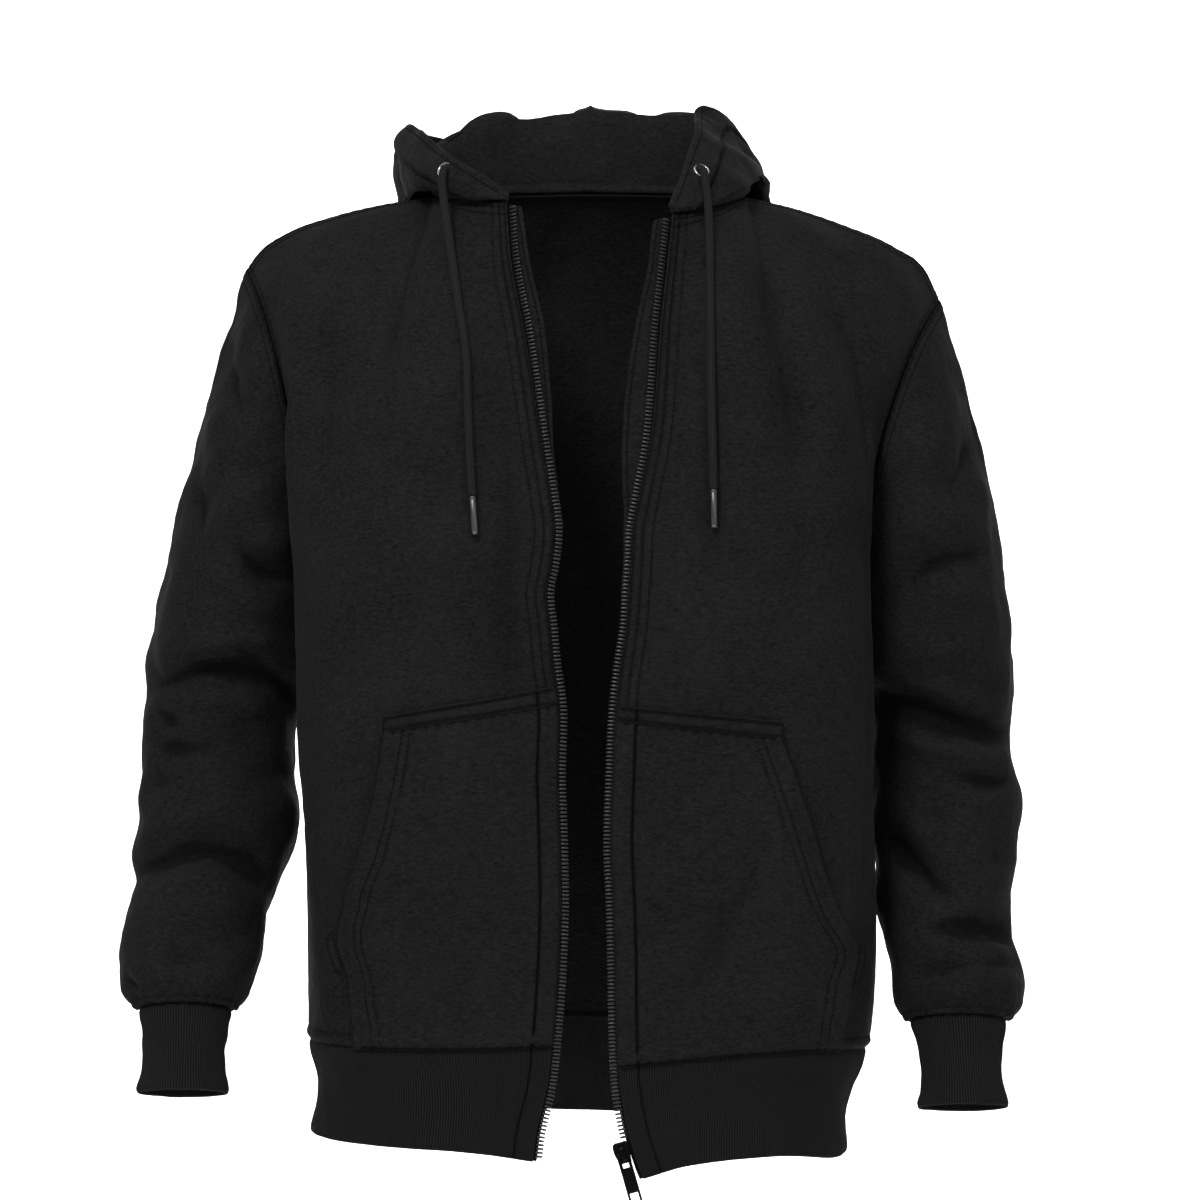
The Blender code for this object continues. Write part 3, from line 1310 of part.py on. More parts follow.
def make_pocket(side, cloth):
    name = SIDE_NAMES[side]
    share, down = np.meshgrid(np.linspace(0.0, 1.0, 8), np.linspace(0.0, 1.0, 11))
    across, height = pocket_places(side, share, down)
    lift = pocket_lift(share, down)
    lay_on_front("pocket_" + name, side, across, height, lift, BODY_CLOTH, cloth)

    share, down = np.meshgrid(np.linspace(0.0, 1.0, 9), np.array([0.0, 1.0]))
    top, strip = pocket_line(side, "top", share), pocket_line(side, "strip", share)
    height = top + (strip - top) * down
    inner = pocket_inner(side, height)
    across = side * (inner + (pocket_outer(side, strip[0, -1]) - inner) * share)
    none = np.zeros(share.shape)
    lay_on_front("pocket_strip_" + name, side, across, height, none, STRIP_CLOTH, cloth)

    high, low = POCKET_BAR[side]
    along, wide = np.meshgrid(np.linspace(0.0, 1.0, 4), np.array([0.0, 1.0]))
    height = high + (low - high) * along
    across = side * (pocket_outer(side, height) + BAR_GAP + BAR_WIDTH * wide)
    none = np.zeros(along.shape)
    lay_on_front("pocket_bar_" + name, side, across, height, none, STRIP_CLOTH, cloth)


# ---------------------------------------------------------------------------- zip


def zip_side_surface(side, u, w):
    """A front (w 0 to 2) carried on down over the hem band (w -1 to 0)."""
    u, w = np.broadcast_arrays(np.asarray(u, float), np.asarray(w, float))
    turn = 5.0 * u
    seam, foot = hem_height(side, turn, "seam"), hem_height(side, turn, "foot")
    hem = level(side, turn, seam + (foot - seam) * np.clip(-w, 0.0, 1.0))
    return np.where((w < 0.0)[..., None], hem, front_surface(side, u, np.clip(w, 0.0, 2.0)))


def beside_zip(side, w, inset, out):
    """A point inset from a front's zip edge (negative is past it) and moved out of the cloth."""
    w, inset, out = np.broadcast_arrays(*(np.asarray(a, float) for a in (w, inset, out)))

    def surface(a, b):
        return zip_side_surface(side, a, b)

    none = np.zeros(w.shape)
    small = 0.02
    edge = surface(none, w)
    reach = np.linalg.norm(surface(none + small, w) - edge, axis=-1) / small
    u = np.clip(inset, 0.0, None) / reach
    points = surface(u, w)
    normal = normals_of(surface, u, w, (0.0, 1.0), (-1.0, 2.0), turned=side)
    inward = unit(surface(none + small, w) - edge)
    inward = unit(inward - normal * np.sum(inward * normal, axis=-1, keepdims=True))
    return points + inward * np.clip(inset, None, 0.0)[..., None] + normal * out[..., None]


def zip_rows(low, high):
    """The rows of what runs along a zip edge: the hem's and the front's own, between two ends."""
    own = np.concatenate([-np.linspace(1.0, 0.0, HEM_STEPS + 1)[:-1], body_rows()])
    between = own[(own > low + ROW_MARGIN) & (own < high - ROW_MARGIN)]
    return np.concatenate([[low], between, [high]])


def make_zip_side(side, tape_finish, teeth_finish, cloth):
    """The tape, the row of teeth and the inner facing of one front."""
    name = SIDE_NAMES[side]
    tape_out = -(RIB_CLOTH + LIE_GAP)
    foot = -1.0
    w = zip_rows(foot, ZIP_TOP)
    inset, rows = np.meshgrid(np.array([TAPE_UNDER, 0.5 * TAPE_UNDER, 0.0, -TAPE_PAST]), w)
    outer = beside_zip(side, rows, inset, tape_out)
    inner = beside_zip(side, rows, inset, tape_out - TAPE_CLOTH)
    loft_wall("zip_tape_" + name, outer, inner, False, tape_finish)

    teeth_foot = SLIDER_TOP if side == LEFT else foot
    w = zip_rows(teeth_foot, ZIP_TOP)
    inset, rows = np.meshgrid(np.array([-TEETH_INSET, -ZIP_MARGIN]), w)
    middle = tape_out - 0.5 * TAPE_CLOTH
    outer = beside_zip(side, rows, inset, middle + 0.5 * TEETH_THICK)
    inner = beside_zip(side, rows, inset, middle - 0.5 * TEETH_THICK)
    loft_wall("zip_teeth_" + name, outer, inner, False, teeth_finish)

    rows = FACING
    w = zip_rows(FACING_FOOT, ZIP_TOP)
    past = ZIP_MARGIN + read(rows, "w", name, w)
    under = (FACING_UNDER, TAPE_UNDER, 0.5 * TAPE_UNDER, 0.0)
    inset = np.stack([np.full(w.shape, a) for a in under] + [-0.5 * past, -past], axis=1)
    sink = np.array([0.0, 0.0, 0.0, 0.0011, 0.0021, 0.0042])
    out = tape_out - TAPE_CLOTH - LIE_GAP - sink
    rows_w = np.repeat(w[:, None], inset.shape[1], axis=1)
    out = np.repeat(out[None, :], len(w), axis=0)
    outer = beside_zip(side, rows_w, inset, out)
    inner = beside_zip(side, rows_w, inset, out - FACING_CLOTH)
    loft_wall("facing_" + name, outer, inner, False, cloth)


# ---------------------------------------------------------------------------- hard pieces


def slider_frame():
    """The slider's own frame: X across, -Y out and Z up along the zip."""
    return Matrix.Translation(SLIDER_PLACE) @ Matrix.Rotation(SLIDER_TILT, 4, "Y")


def flat_piece(name, rings, half_thick, rounding, stand):
    """A flat mesh from a filled 2D curve: the first ring is its outline, the others holes."""
    curve = bpy.data.curves.new(name, "CURVE")
    curve.dimensions = "2D"
    curve.fill_mode = "BOTH"
    curve.extrude = half_thick - rounding
    curve.bevel_depth = rounding
    curve.bevel_resolution = 1
    for rows, first, second in rings:
        spline = curve.splines.new("POLY")
        spline.points.add(len(rows[first]) - 1)
        for point, a, b in zip(spline.points, rows[first], rows[second]):
            point.co = (a, b, 0.0, 1.0)
        spline.use_cyclic_u = True
    drawn = bpy.data.objects.new(name + "_outline", curve)
    bpy.context.scene.collection.objects.link(drawn)
    graph = bpy.context.evaluated_depsgraph_get()
    data = bpy.data.meshes.new_from_object(drawn.evaluated_get(graph))
    bpy.data.objects.remove(drawn)
    data.name = name
    data.transform(stand)
    weld(data)
    return data


def make_slider(metal):
    """The slider's body with the bridge that holds the tab, joined into one solid."""
    frame = slider_frame()
    turn = Matrix(((0, 0, -1, 0), (-1, 0, 0, 0), (0, 1, 0, 0), (0, 0, 0, 1)))
    outline = [(BRIDGE, "out", "up")]
    data = flat_piece("bridge", outline, 0.5 * BRIDGE_WIDTH, 0.0, frame @ turn)
    bridge = bpy.data.objects.new("bridge", data)
    helpers = bpy.data.collections.new(HELPERS)
    bpy.context.scene.collection.children.link(helpers)
    helpers.objects.link(bridge)
    bridge.hide_render = True
    bridge.display_type = "WIRE"

    bpy.ops.mesh.primitive_cube_add(size=1.0)
    body = bpy.context.active_object
    body.name = "zip_slider"
    body.data.name = "zip_slider"
    body.data.transform(frame @ Matrix.Diagonal((*SLIDER_SIZE, 1.0)))
    body.data.materials.append(metal)
    rounding = body.modifiers.new("rounding", "BEVEL")
    rounding.width = SLIDER_ROUND
    rounding.segments = 2
    join = body.modifiers.new("bridge", "BOOLEAN")
    join.operation = "UNION"
    join.solver = "EXACT"
    join.object = bridge


def weld(data, within=1e-6):
    """Join a mesh's points that lie on each other."""
    mesh = bmesh.new()
    mesh.from_mesh(data)
    bmesh.ops.remove_doubles(mesh, verts=mesh.verts, dist=within)
    bmesh.ops.recalc_face_normals(mesh, faces=mesh.faces)
    mesh.to_mesh(data)
    mesh.free()


def make_pull_tab(metal):
    """The pull tab, hanging from the bridge."""
    rings = [(TAB_OUTLINE, "across", "up")] + [(hole, "across", "up") for hole in TAB_HOLES]
    stand = Matrix.Translation((0.0, -TAB_AXIS_OUT, 0.0)) @ Matrix.Rotation(math.radians(90), 4, "X")
    half = 0.5 * TAB_THICK
    data = flat_piece("zip_pull_tab", rings, half, TAB_ROUND, slider_frame() @ stand)
    data.materials.append(metal)
    tab = bpy.data.objects.new("zip_pull_tab", data)
    bpy.data.collections[COLLECTION].objects.link(tab)


def make_eyelet(side, metal):
    """A round metal ring on the hood's front edge."""
    at, t = (np.array(value) for value in EYELET_PLACE[side])

    def surface(a, b):
        return hood_surface(side, a, b)

    out = Vector(normals_of(surface, at, t, turned=side))
    place = Vector(surface(at, t)) + out * (EYELET_WIRE + EYELET_GAP)
    bpy.ops.mesh.primitive_torus_add(
        major_radius=EYELET_RADIUS, minor_radius=EYELET_WIRE, major_segments=18, minor_segments=6
    )
    ring = bpy.context.active_object
    ring.name = "eyelet_" + SIDE_NAMES[side]
    ring.data.name = ring.name
    ring.data.transform(Matrix.Translation(place) @ out.to_track_quat("Z", "Y").to_matrix().to_4x4())
    ring.data.materials.append(metal)
    ring.data.shade_smooth()


def cord_points(side, count):
    """Points along a drawcord end, on a smooth curve through its route."""
    rows = CORD_ROUTE[side]
    route = np.stack([rows["across"], rows["depth"], rows["height"]], axis=1)
    return through(np.arange(len(route), dtype=float), route, np.linspace(0, len(route) - 1, count))


def make_drawcord(side, cord, metal):
    """One free end of the drawcord, and its tip."""
    name = SIDE_NAMES[side]
    points = cord_points(side, CORD_POINTS)
    curve = bpy.data.curves.new("drawcord_" + name, "CURVE")
    curve.dimensions = "3D"
    curve.bevel_depth = CORD_RADIUS
    curve.bevel_resolution = 2
    curve.use_fill_caps = True
    spline = curve.splines.new("POLY")
    spline.points.add(len(points) - 1)
    for point, place in zip(spline.points, points):
        point.co = (*place, 1.0)
    curve.materials.append(cord)
    made = bpy.data.objects.new("drawcord_" + name, curve)
    bpy.data.collections[COLLECTION].objects.link(made)

    heading = Vector(points[-1] - points[-2]).normalized()
    middle = Vector(points[-1]) + heading * (TIP_GAP + 0.5 * TIP_LENGTH)
    bpy.ops.mesh.primitive_cylinder_add(vertices=16, radius=TIP_RADIUS, depth=TIP_LENGTH)
    tip = bpy.context.active_object
    tip.name = "cord_tip_" + name
    tip.data.name = tip.name
    turn = heading.to_track_quat("Z", "Y").to_matrix().to_4x4()
    tip.data.transform(Matrix.Translation(middle) @ turn)
    tip.data.materials.append(metal)
    tip.data.shade_smooth()
    tip.data.set_sharp_from_angle(angle=math.radians(40))
    rounding = tip.modifiers.new("rounding", "BEVEL")
    rounding.width = TIP_ROUND
    rounding.segments = 1
    rounding.angle_limit = math.radians(40)


def main():
    start_scene()
    fleece = make_material("fleece_black", (0.014, 0.014, 0.015), 0.92)
    rib = make_material("rib_black", (0.012, 0.012, 0.013), 0.90)
    tape = make_material("tape_black", (0.010, 0.010, 0.011), 0.80)
    teeth = make_material("teeth_black", (0.020, 0.020, 0.022), 0.35)
    cord = make_material("cord_black", (0.012, 0.012, 0.013), 0.85)
    polished = make_material("polished_metal", (0.72, 0.72, 0.72), 0.18, 1.0)
    gunmetal = make_material("gunmetal", (0.16, 0.16, 0.17), 0.32, 1.0)
    make_panels(fleece, rib)
    for side in (RIGHT, LEFT):
        make_pocket(side, fleece)
        make_zip_side(side, tape, teeth, fleece)
        make_eyelet(side, polished)
        make_drawcord(side, cord, gunmetal)
    make_slider(gunmetal)
    make_pull_tab(gunmetal)


main()
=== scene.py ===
"""A zip up hoodie in its worn form, dressed over its solid parts.

The file is laid out as an add-on: sizes and finishes are properties, each group of pieces has
an operator, and a panel in the 3D view's sidebar lists them. The main function makes them all.
"""

import math
from functools import lru_cache

import bmesh
import bpy
import numpy as np
from bpy.props import FloatProperty, FloatVectorProperty, PointerProperty
from mathutils import Matrix, Vector


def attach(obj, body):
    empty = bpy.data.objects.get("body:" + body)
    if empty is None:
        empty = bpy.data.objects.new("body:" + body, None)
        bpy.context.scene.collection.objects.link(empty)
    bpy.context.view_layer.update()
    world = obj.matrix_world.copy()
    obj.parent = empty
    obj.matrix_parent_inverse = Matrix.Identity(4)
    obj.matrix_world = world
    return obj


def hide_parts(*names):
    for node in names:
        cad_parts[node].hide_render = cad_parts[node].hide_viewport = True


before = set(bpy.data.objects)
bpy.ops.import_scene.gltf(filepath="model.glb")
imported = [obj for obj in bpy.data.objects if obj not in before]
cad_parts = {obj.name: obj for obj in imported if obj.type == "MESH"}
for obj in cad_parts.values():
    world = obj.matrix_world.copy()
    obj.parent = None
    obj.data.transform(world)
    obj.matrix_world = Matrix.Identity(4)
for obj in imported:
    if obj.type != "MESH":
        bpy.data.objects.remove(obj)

bl_info = {
    "name": "Zip Up Hoodie",
    "version": (1, 0, 0),
    "blender": (4, 5, 0),
    "location": "View3D > Sidebar > Hoodie",
    "description": "Makes the cloth, ribs, zip and drawcord of a zip up hoodie",
    "category": "Add Mesh",
}

GARMENT = "garment"
PULL_TAB = "pull_tab"

# Cloth thicknesses.
BODY_CLOTH = 0.0024
RIB_CLOTH = 0.0028
HOOD_CLOTH = 0.0040
TAPE_CLOTH = 0.0010
FACING_CLOTH = 0.0014
STRIP_CLOTH = 0.0022
LIE_GAP = 0.0003
SEAM_GAP = 0.0003

# Levels and leans.
CUFF_LEAN = 13
ARMPIT_HEIGHT = -0.262
SIDE_NECK = (0.118, 0.012, 0.008)
NECK_TILT = 0.0045

# Zip.
TEETH_WIDTH = 0.0055
TEETH_INSET = 0.0015
ZIP_MARGIN = TEETH_WIDTH + TEETH_INSET
TAPE_UNDER = 0.010
TAPE_PAST = 0.0012
FACING_UNDER = 0.026
FACING_FOOT = 0.90
ZIP_TOP = 1.99
SLIDER_TOP = -0.642

# Pockets.
POCKET_INSET = 0.0015
POCKET_FOOT = 0.0012
POCKET_PUFF = 0.0040
BAR_WIDTH = 0.0065
BAR_GAP = 0.0012

# The panels' shares of their upper edges, as the solids divide them.
NECK_SHARE = 6 / 14
BACK_SHOULDER_SHARE = 8 / 13
FRONT_SHARE = 14 / 27

RIGHT, LEFT = SIDES = (-1, 1)
SIDE_NAMES = {RIGHT: "right", LEFT: "left"}
ARM_SLANT = {RIGHT: 0.20, LEFT: 0.06}


def table(names, *rows):
    """Columns by name, each an array with a value for every row."""
    return dict(zip(names.split(), np.array(rows, float).T))


# One half of a level section, from the zip edge (turn 0) past the side seam (5) to the centre
# back (9): the place across as a share of the half width, and the depth as a share of the
# front depth (negative) or the back depth (positive).
SECTION = table(
    "turn across depth",
    (1, 0.400, -1.000),
    (2, 0.700, -0.955),
    (3, 0.905, -0.780),
    (4, 1.000, -0.380),
    (5, 0.930, 0.150),
    (6, 0.900, 0.550),
    (7, 0.700, 0.870),
    (8, 0.360, 0.985),
    (9, 0.000, 1.000),
)
SIDE_TURN, BACK_TURNS = 5.0, 4.0

# The body's half widths and depths at each level, from the hem's foot to the armpit.
BODY = table(
    "height right left front back",
    (-0.715, 0.2080, 0.1900, 0.1270, 0.1180),
    (-0.690, 0.2065, 0.1880, 0.1270, 0.1180),
    (-0.660, 0.2005, 0.1905, 0.1260, 0.1170),
    (-0.640, 0.2010, 0.1985, 0.1280, 0.1190),
    (-0.620, 0.2060, 0.2050, 0.1330, 0.1240),
    (-0.590, 0.2070, 0.2090, 0.1360, 0.1270),
    (-0.540, 0.2085, 0.2104, 0.1370, 0.1250),
    (-0.460, 0.2115, 0.2085, 0.1370, 0.1220),
    (-0.380, 0.2145, 0.2072, 0.1345, 0.1230),
    (-0.300, 0.2175, 0.2060, 0.1310, 0.1270),
    (-0.262, 0.2190, 0.2045, 0.1290, 0.1300),
)

# The tips of the zip's teeth on both fronts: how far each lies from the centre line, and how
# far in front of the shoulders.
ZIP_LINE = table(
    "height right left depth",
    (-0.712, 0.0345, 0.0320, 0.1220),
    (-0.680, 0.0315, 0.0215, 0.1220),
    (-0.645, 0.0236, 0.0152, 0.1215),
    (-0.605, 0.0193, 0.0132, 0.1290),
    (-0.560, 0.0160, 0.0125, 0.1320),
    (-0.510, 0.0143, 0.0112, 0.1325),
    (-0.475, 0.0148, 0.0096, 0.1320),
    (-0.420, 0.0165, 0.0110, 0.1310),
    (-0.370, 0.0158, 0.0135, 0.1290),
    (-0.340, 0.0200, 0.0170, 0.1275),
    (-0.315, 0.0222, 0.0208, 0.1265),
    (-0.290, 0.0248, 0.0225, 0.1258),
    (-0.270, 0.0212, 0.0240, 0.1250),
    (-0.245, 0.0190, 0.0252, 0.1235),
    (-0.220, 0.0225, 0.0300, 0.1215),
    (-0.180, 0.0295, 0.0378, 0.1180),
    (-0.150, 0.0342, 0.0410, 0.1145),
    (-0.100, 0.0425, 0.0445, 0.1065),
    (-0.050, 0.0525, 0.0500, 0.0965),
    (-0.010, 0.0560, 0.0540, 0.0880),
)

# Hem seam and hem foot heights at turns of the level section.
HEM = table(
    "turn seam_right foot_right seam_left foot_left",
    (0.0, -0.6150, -0.6965, -0.6300, -0.7090),
    (1.0, -0.6165, -0.6900, -0.6230, -0.6980),
    (2.0, -0.6170, -0.6860, -0.6190, -0.6930),
    (3.5, -0.6175, -0.6840, -0.6230, -0.7000),
    (5.0, -0.6180, -0.6880, -0.6290, -0.7040),
    (9.0, -0.6240, -0.6940, -0.6240, -0.6940),
)

# The neckline of one half, from the zip top (0) past the side neck point (0.5) to the centre
# back (1).
NECKLINE = table(
    "at across depth height",
    (0.00, 0.0612, -0.0880, -0.0115),
    (0.17, 0.0830, -0.0680, -0.0070),
    (0.33, 0.1030, -0.0400, -0.0020),
    (0.50, *SIDE_NECK),
    (0.67, 0.1080, 0.0560, 0.0140),
    (0.84, 0.0640, 0.0820, 0.0180),
    (1.00, 0.0000, 0.0900, 0.0200),
)

# Shoulder seams, from the side neck point to the shoulder point.
SHOULDER = table(
    "at across_right height_right across_left height_left",
    (0.00, 0.1180, 0.0080, 0.1180, 0.0080),
    (0.25, 0.1550, 0.0030, 0.1550, -0.0005),
    (0.50, 0.1930, -0.0055, 0.1920, -0.0125),
    (0.75, 0.2290, -0.0180, 0.2300, -0.0285),
    (0.90, 0.2490, -0.0310, 0.2530, -0.0450),
    (1.00, 0.2600, -0.0450, 0.2650, -0.0690),
)
SHOULDER_DEPTH = 0.020

# The armhole from the underarm point (0) to the shoulder point (1), by its front and its back.
# Rise is a share of the height from the underarm to the shoulder point.
ARMHOLE = table(
    "at front_across front_depth back_across back_depth rise",
    (0.000, 0.1902, 0.0195, 0.1902, 0.0195, 0.000),
    (0.167, 0.1965, -0.0140, 0.1945, 0.0560, 0.110),
    (0.333, 0.2070, -0.0370, 0.2020, 0.0830, 0.290),
    (0.500, 0.2165, -0.0460, 0.2130, 0.0920, 0.490),
    (0.667, 0.2300, -0.0400, 0.2280, 0.0830, 0.700),
    (0.833, 0.2450, -0.0180, 0.2450, 0.0570, 0.870),
    (1.000, 0.2615, 0.0200, 0.2615, 0.0200, 1.000),
)

# The sleeves' rings, from below the armpit to the cuff seam. Lean out and lean forward tip a
# ring's plane, in degrees.
RING = "height across depth half_width half_depth"
SLEEVE = {
    RIGHT: table(
        RING + " lean_out lean_forward",
        (-0.335, 0.2725, 0.030, 0.0610, 0.0740, 12, 0),
        (-0.372, 0.2795, 0.042, 0.0590, 0.0690, 8, 3),
        (-0.418, 0.2835, 0.040, 0.0585, 0.0640, 5, 8),
        (-0.463, 0.2805, 0.027, 0.0600, 0.0610, 4, 13),
        (-0.492, 0.2865, 0.013, 0.0570, 0.0580, 3, 16),
        (-0.521, 0.2905, -0.002, 0.0520, 0.0550, 2, 16),
        (-0.550, 0.2970, -0.017, 0.0520, 0.0520, 1, 15),
        (-0.566, 0.2985, -0.025, 0.0515, 0.0500, 0, CUFF_LEAN),
        (-0.582, 0.2995, -0.033, 0.0475, 0.0470, 0, CUFF_LEAN),
        (-0.593, 0.2990, -0.038, 0.0410, 0.0420, 0, CUFF_LEAN),
        (-0.598, 0.2985, -0.041, 0.0340, 0.0370, 0, CUFF_LEAN),
    ),
    LEFT: table(
        RING + " lean_out lean_forward",
        (-0.335, 0.2610, 0.030, 0.0585, 0.0740, 12, 0),
        (-0.372, 0.2675, 0.042, 0.0555, 0.0690, 8, 3),
        (-0.412, 0.2660, 0.040, 0.0540, 0.0640, 5, 8),
        (-0.448, 0.2690, 0.030, 0.0570, 0.0610, 4, 13),
        (-0.492, 0.2680, 0.013, 0.0525, 0.0580, 3, 16),
        (-0.521, 0.2650, -0.002, 0.0495, 0.0550, 2, 16),
        (-0.550, 0.2670, -0.017, 0.0475, 0.0520, 1, 15),
        (-0.566, 0.2710, -0.025, 0.0475, 0.0500, 0, CUFF_LEAN),
        (-0.588, 0.2725, -0.036, 0.0470, 0.0470, 0, CUFF_LEAN),
        (-0.600, 0.2725, -0.040, 0.0430, 0.0425, 0, CUFF_LEAN),
        (-0.606, 0.2715, -0.043, 0.0355, 0.0370, 0, CUFF_LEAN),
    ),
}

# The cuffs' rings, from the cuff seam to the wrist opening.
CUFF = {
    RIGHT: table(
        RING,
        (-0.598, 0.2985, -0.041, 0.0340, 0.0370),
        (-0.612, 0.2980, -0.048, 0.0325, 0.0350),
        (-0.632, 0.2975, -0.058, 0.0315, 0.0335),
        (-0.655, 0.2970, -0.069, 0.0320, 0.0340),
    ),
    LEFT: table(
        RING,
        (-0.606, 0.2715, -0.043, 0.0355, 0.0370),
        (-0.620, 0.2720, -0.050, 0.0325, 0.0350),
        (-0.640, 0.2722, -0.060, 0.0312, 0.0335),
        (-0.665, 0.2725, -0.072, 0.0318, 0.0340),
    ),
}

# The hood's stations along the neckline. Turn is the way out from the neck: 0 is straight to
# the front, 90 to the side, 180 to the back. Each profile runs from the neck seam by the stand,
# the floor, the belly and the cheek to the rim, as steps out and up from the neck seam.
HOOD_POINTS = ("stand", "floor", "belly", "cheek", "rim")
PROFILE = " ".join(f"{point}_out {point}_up" for point in HOOD_POINTS)
HOOD = {
    RIGHT: table(
        "at turn " + PROFILE,
        (0.00, 62, 0.001, 0.001, 0.001, 0.002, 0.000, 0.003, -0.001, 0.004, -0.002, 0.006),
        (0.17, 66, 0.005, 0.001, 0.009, 0.002, 0.011, 0.006, 0.010, 0.014, 0.006, 0.022),
        (0.33, 72, 0.005, 0.005, 0.013, 0.006, 0.018, 0.012, 0.018, 0.024, 0.009, 0.038),
        (0.50, 88, 0.004, 0.011, 0.016, 0.006, 0.022, 0.018, 0.023, 0.038, 0.012, 0.050),
        (0.62, 108, 0.006, 0.030, 0.025, -0.008, 0.031, 0.012, 0.036, 0.040, 0.026, 0.054),
        (0.75, 132, 0.014, 0.050, 0.054, -0.062, 0.068, -0.046, 0.070, 0.018, 0.060, 0.052),
        (0.88, 158, 0.016, 0.058, 0.066, -0.122, 0.094, -0.110, 0.108, -0.010, 0.084, 0.046),
        (1.00, 180, 0.016, 0.060, 0.068, -0.142, 0.100, -0.134, 0.124, -0.024, 0.092, 0.040),
    ),
    LEFT: table(
        "at turn " + PROFILE,
        (0.00, 62, 0.001, 0.001, 0.001, 0.003, 0.000, 0.004, -0.001, 0.006, -0.003, 0.008),
        (0.17, 66, 0.003, 0.002, 0.004, 0.006, 0.001, 0.013, -0.006, 0.021, -0.016, 0.028),
        (0.33, 72, 0.003, 0.005, 0.008, 0.010, 0.004, 0.022, -0.009, 0.036, -0.026, 0.051),
        (0.50, 88, 0.004, 0.009, 0.011, 0.012, 0.003, 0.026, -0.017, 0.043, -0.036, 0.063),
        (0.62, 108, 0.006, 0.024, 0.020, -0.004, 0.021, 0.016, -0.002, 0.042, -0.027, 0.066),
        (0.75, 132, 0.014, 0.050, 0.054, -0.062, 0.066, -0.046, 0.058, 0.016, 0.026, 0.046),
        (0.88, 158, 0.016, 0.058, 0.066, -0.122, 0.094, -0.110, 0.106, -0.010, 0.074, 0.042),
        (1.00, 180, 0.016, 0.060, 0.068, -0.142, 0.100, -0.134, 0.124, -0.024, 0.092, 0.040),
    ),
}

# The inner facing of each front: how far it shows past the teeth, at places up the zip edge
# (w 1 is the armpit level, 2 the neck seam).
FACING = table(
    "w right left",
    (0.90, 0.0000, 0.0000),
    (1.02, 0.0000, 0.0004),
    (1.10, 0.0000, 0.0020),
    (1.20, 0.0004, 0.0075),
    (1.30, 0.0014, 0.0125),
    (1.42, 0.0042, 0.0143),
    (1.55, 0.0056, 0.0130),
    (1.65, 0.0068, 0.0108),
    (1.75, 0.0062, 0.0080),
    (1.85, 0.0044, 0.0050),
    (1.93, 0.0026, 0.0050),
    (2.00, 0.0005, 0.0040),
)

# Heights of the pocket's upper edge and of the strip's lower edge, beside the zip and at the
# outer corner.
POCKET_LINES = {
    RIGHT: {"top": (-0.3590, -0.3801), "strip": (-0.3700, -0.3893)},
    LEFT: {"top": (-0.3725, -0.3836), "strip": (-0.3815, -0.3943)},
}

# The pocket's outer edge: the slanted opening, the bar patch and the seam below it.
POCKET_EDGE = {
    RIGHT: table(
        "height across",
        (-0.3890, 0.1461),
        (-0.4335, 0.1525),
        (-0.4720, 0.1617),
        (-0.5105, 0.1731),
        (-0.5400, 0.1800),
        (-0.5630, 0.1738),
        (-0.5930, 0.1690),
        (-0.6200, 0.1672),
    ),
    LEFT: table(
        "height across",
        (-0.3943, 0.1368),
        (-0.4314, 0.1482),
        (-0.4884, 0.1660),
        (-0.5200, 0.1785),
        (-0.5490, 0.1905),
        (-0.5710, 0.1865),
        (-0.5980, 0.1825),
        (-0.6250, 0.1785),
    ),
}
POCKET_BAR = {RIGHT: (-0.5385, -0.5620), LEFT: (-0.5490, -0.5715)}

# Zip slider and pull tab, in the slider's own frame: X across, -Y out of the garment and Z up
# along the zip. The bridge is an outline of steps out and up.
SLIDER_PLACE = (0.0236, -0.1196, -0.6915)
SLIDER_TILT = math.radians(-16)
SLIDER_SIZE = (0.0120, 0.0064, 0.0150)
BRIDGE_WIDTH = 0.0024
BRIDGE = table(
    "out up",
    (0.0024, 0.0054),
    (0.0056, 0.0054),
    (0.0066, 0.0044),
    (0.0072, 0.0026),
    (0.0072, -0.0026),
    (0.0066, -0.0044),
    (0.0056, -0.0054),
    (0.0024, -0.0054),
    (0.0024, -0.0042),
    (0.0050, -0.0042),
    (0.0057, -0.0034),
    (0.0060, -0.0020),
    (0.0060, 0.0020),
    (0.0057, 0.0034),
    (0.0050, 0.0042),
    (0.0024, 0.0042),
)
TAB_AXIS_OUT = 0.0047
TAB_THICK = 0.0014
TAB_ROUND = 0.00025

# Eyelets in the hood's front edge: their places on the hood, and the ring's size.
EYELET_PLACE = {RIGHT: (0.247, 0.842), LEFT: (0.215, 0.823)}
EYELET_WIRE = 0.0010
EYELET_GAP = 0.0006

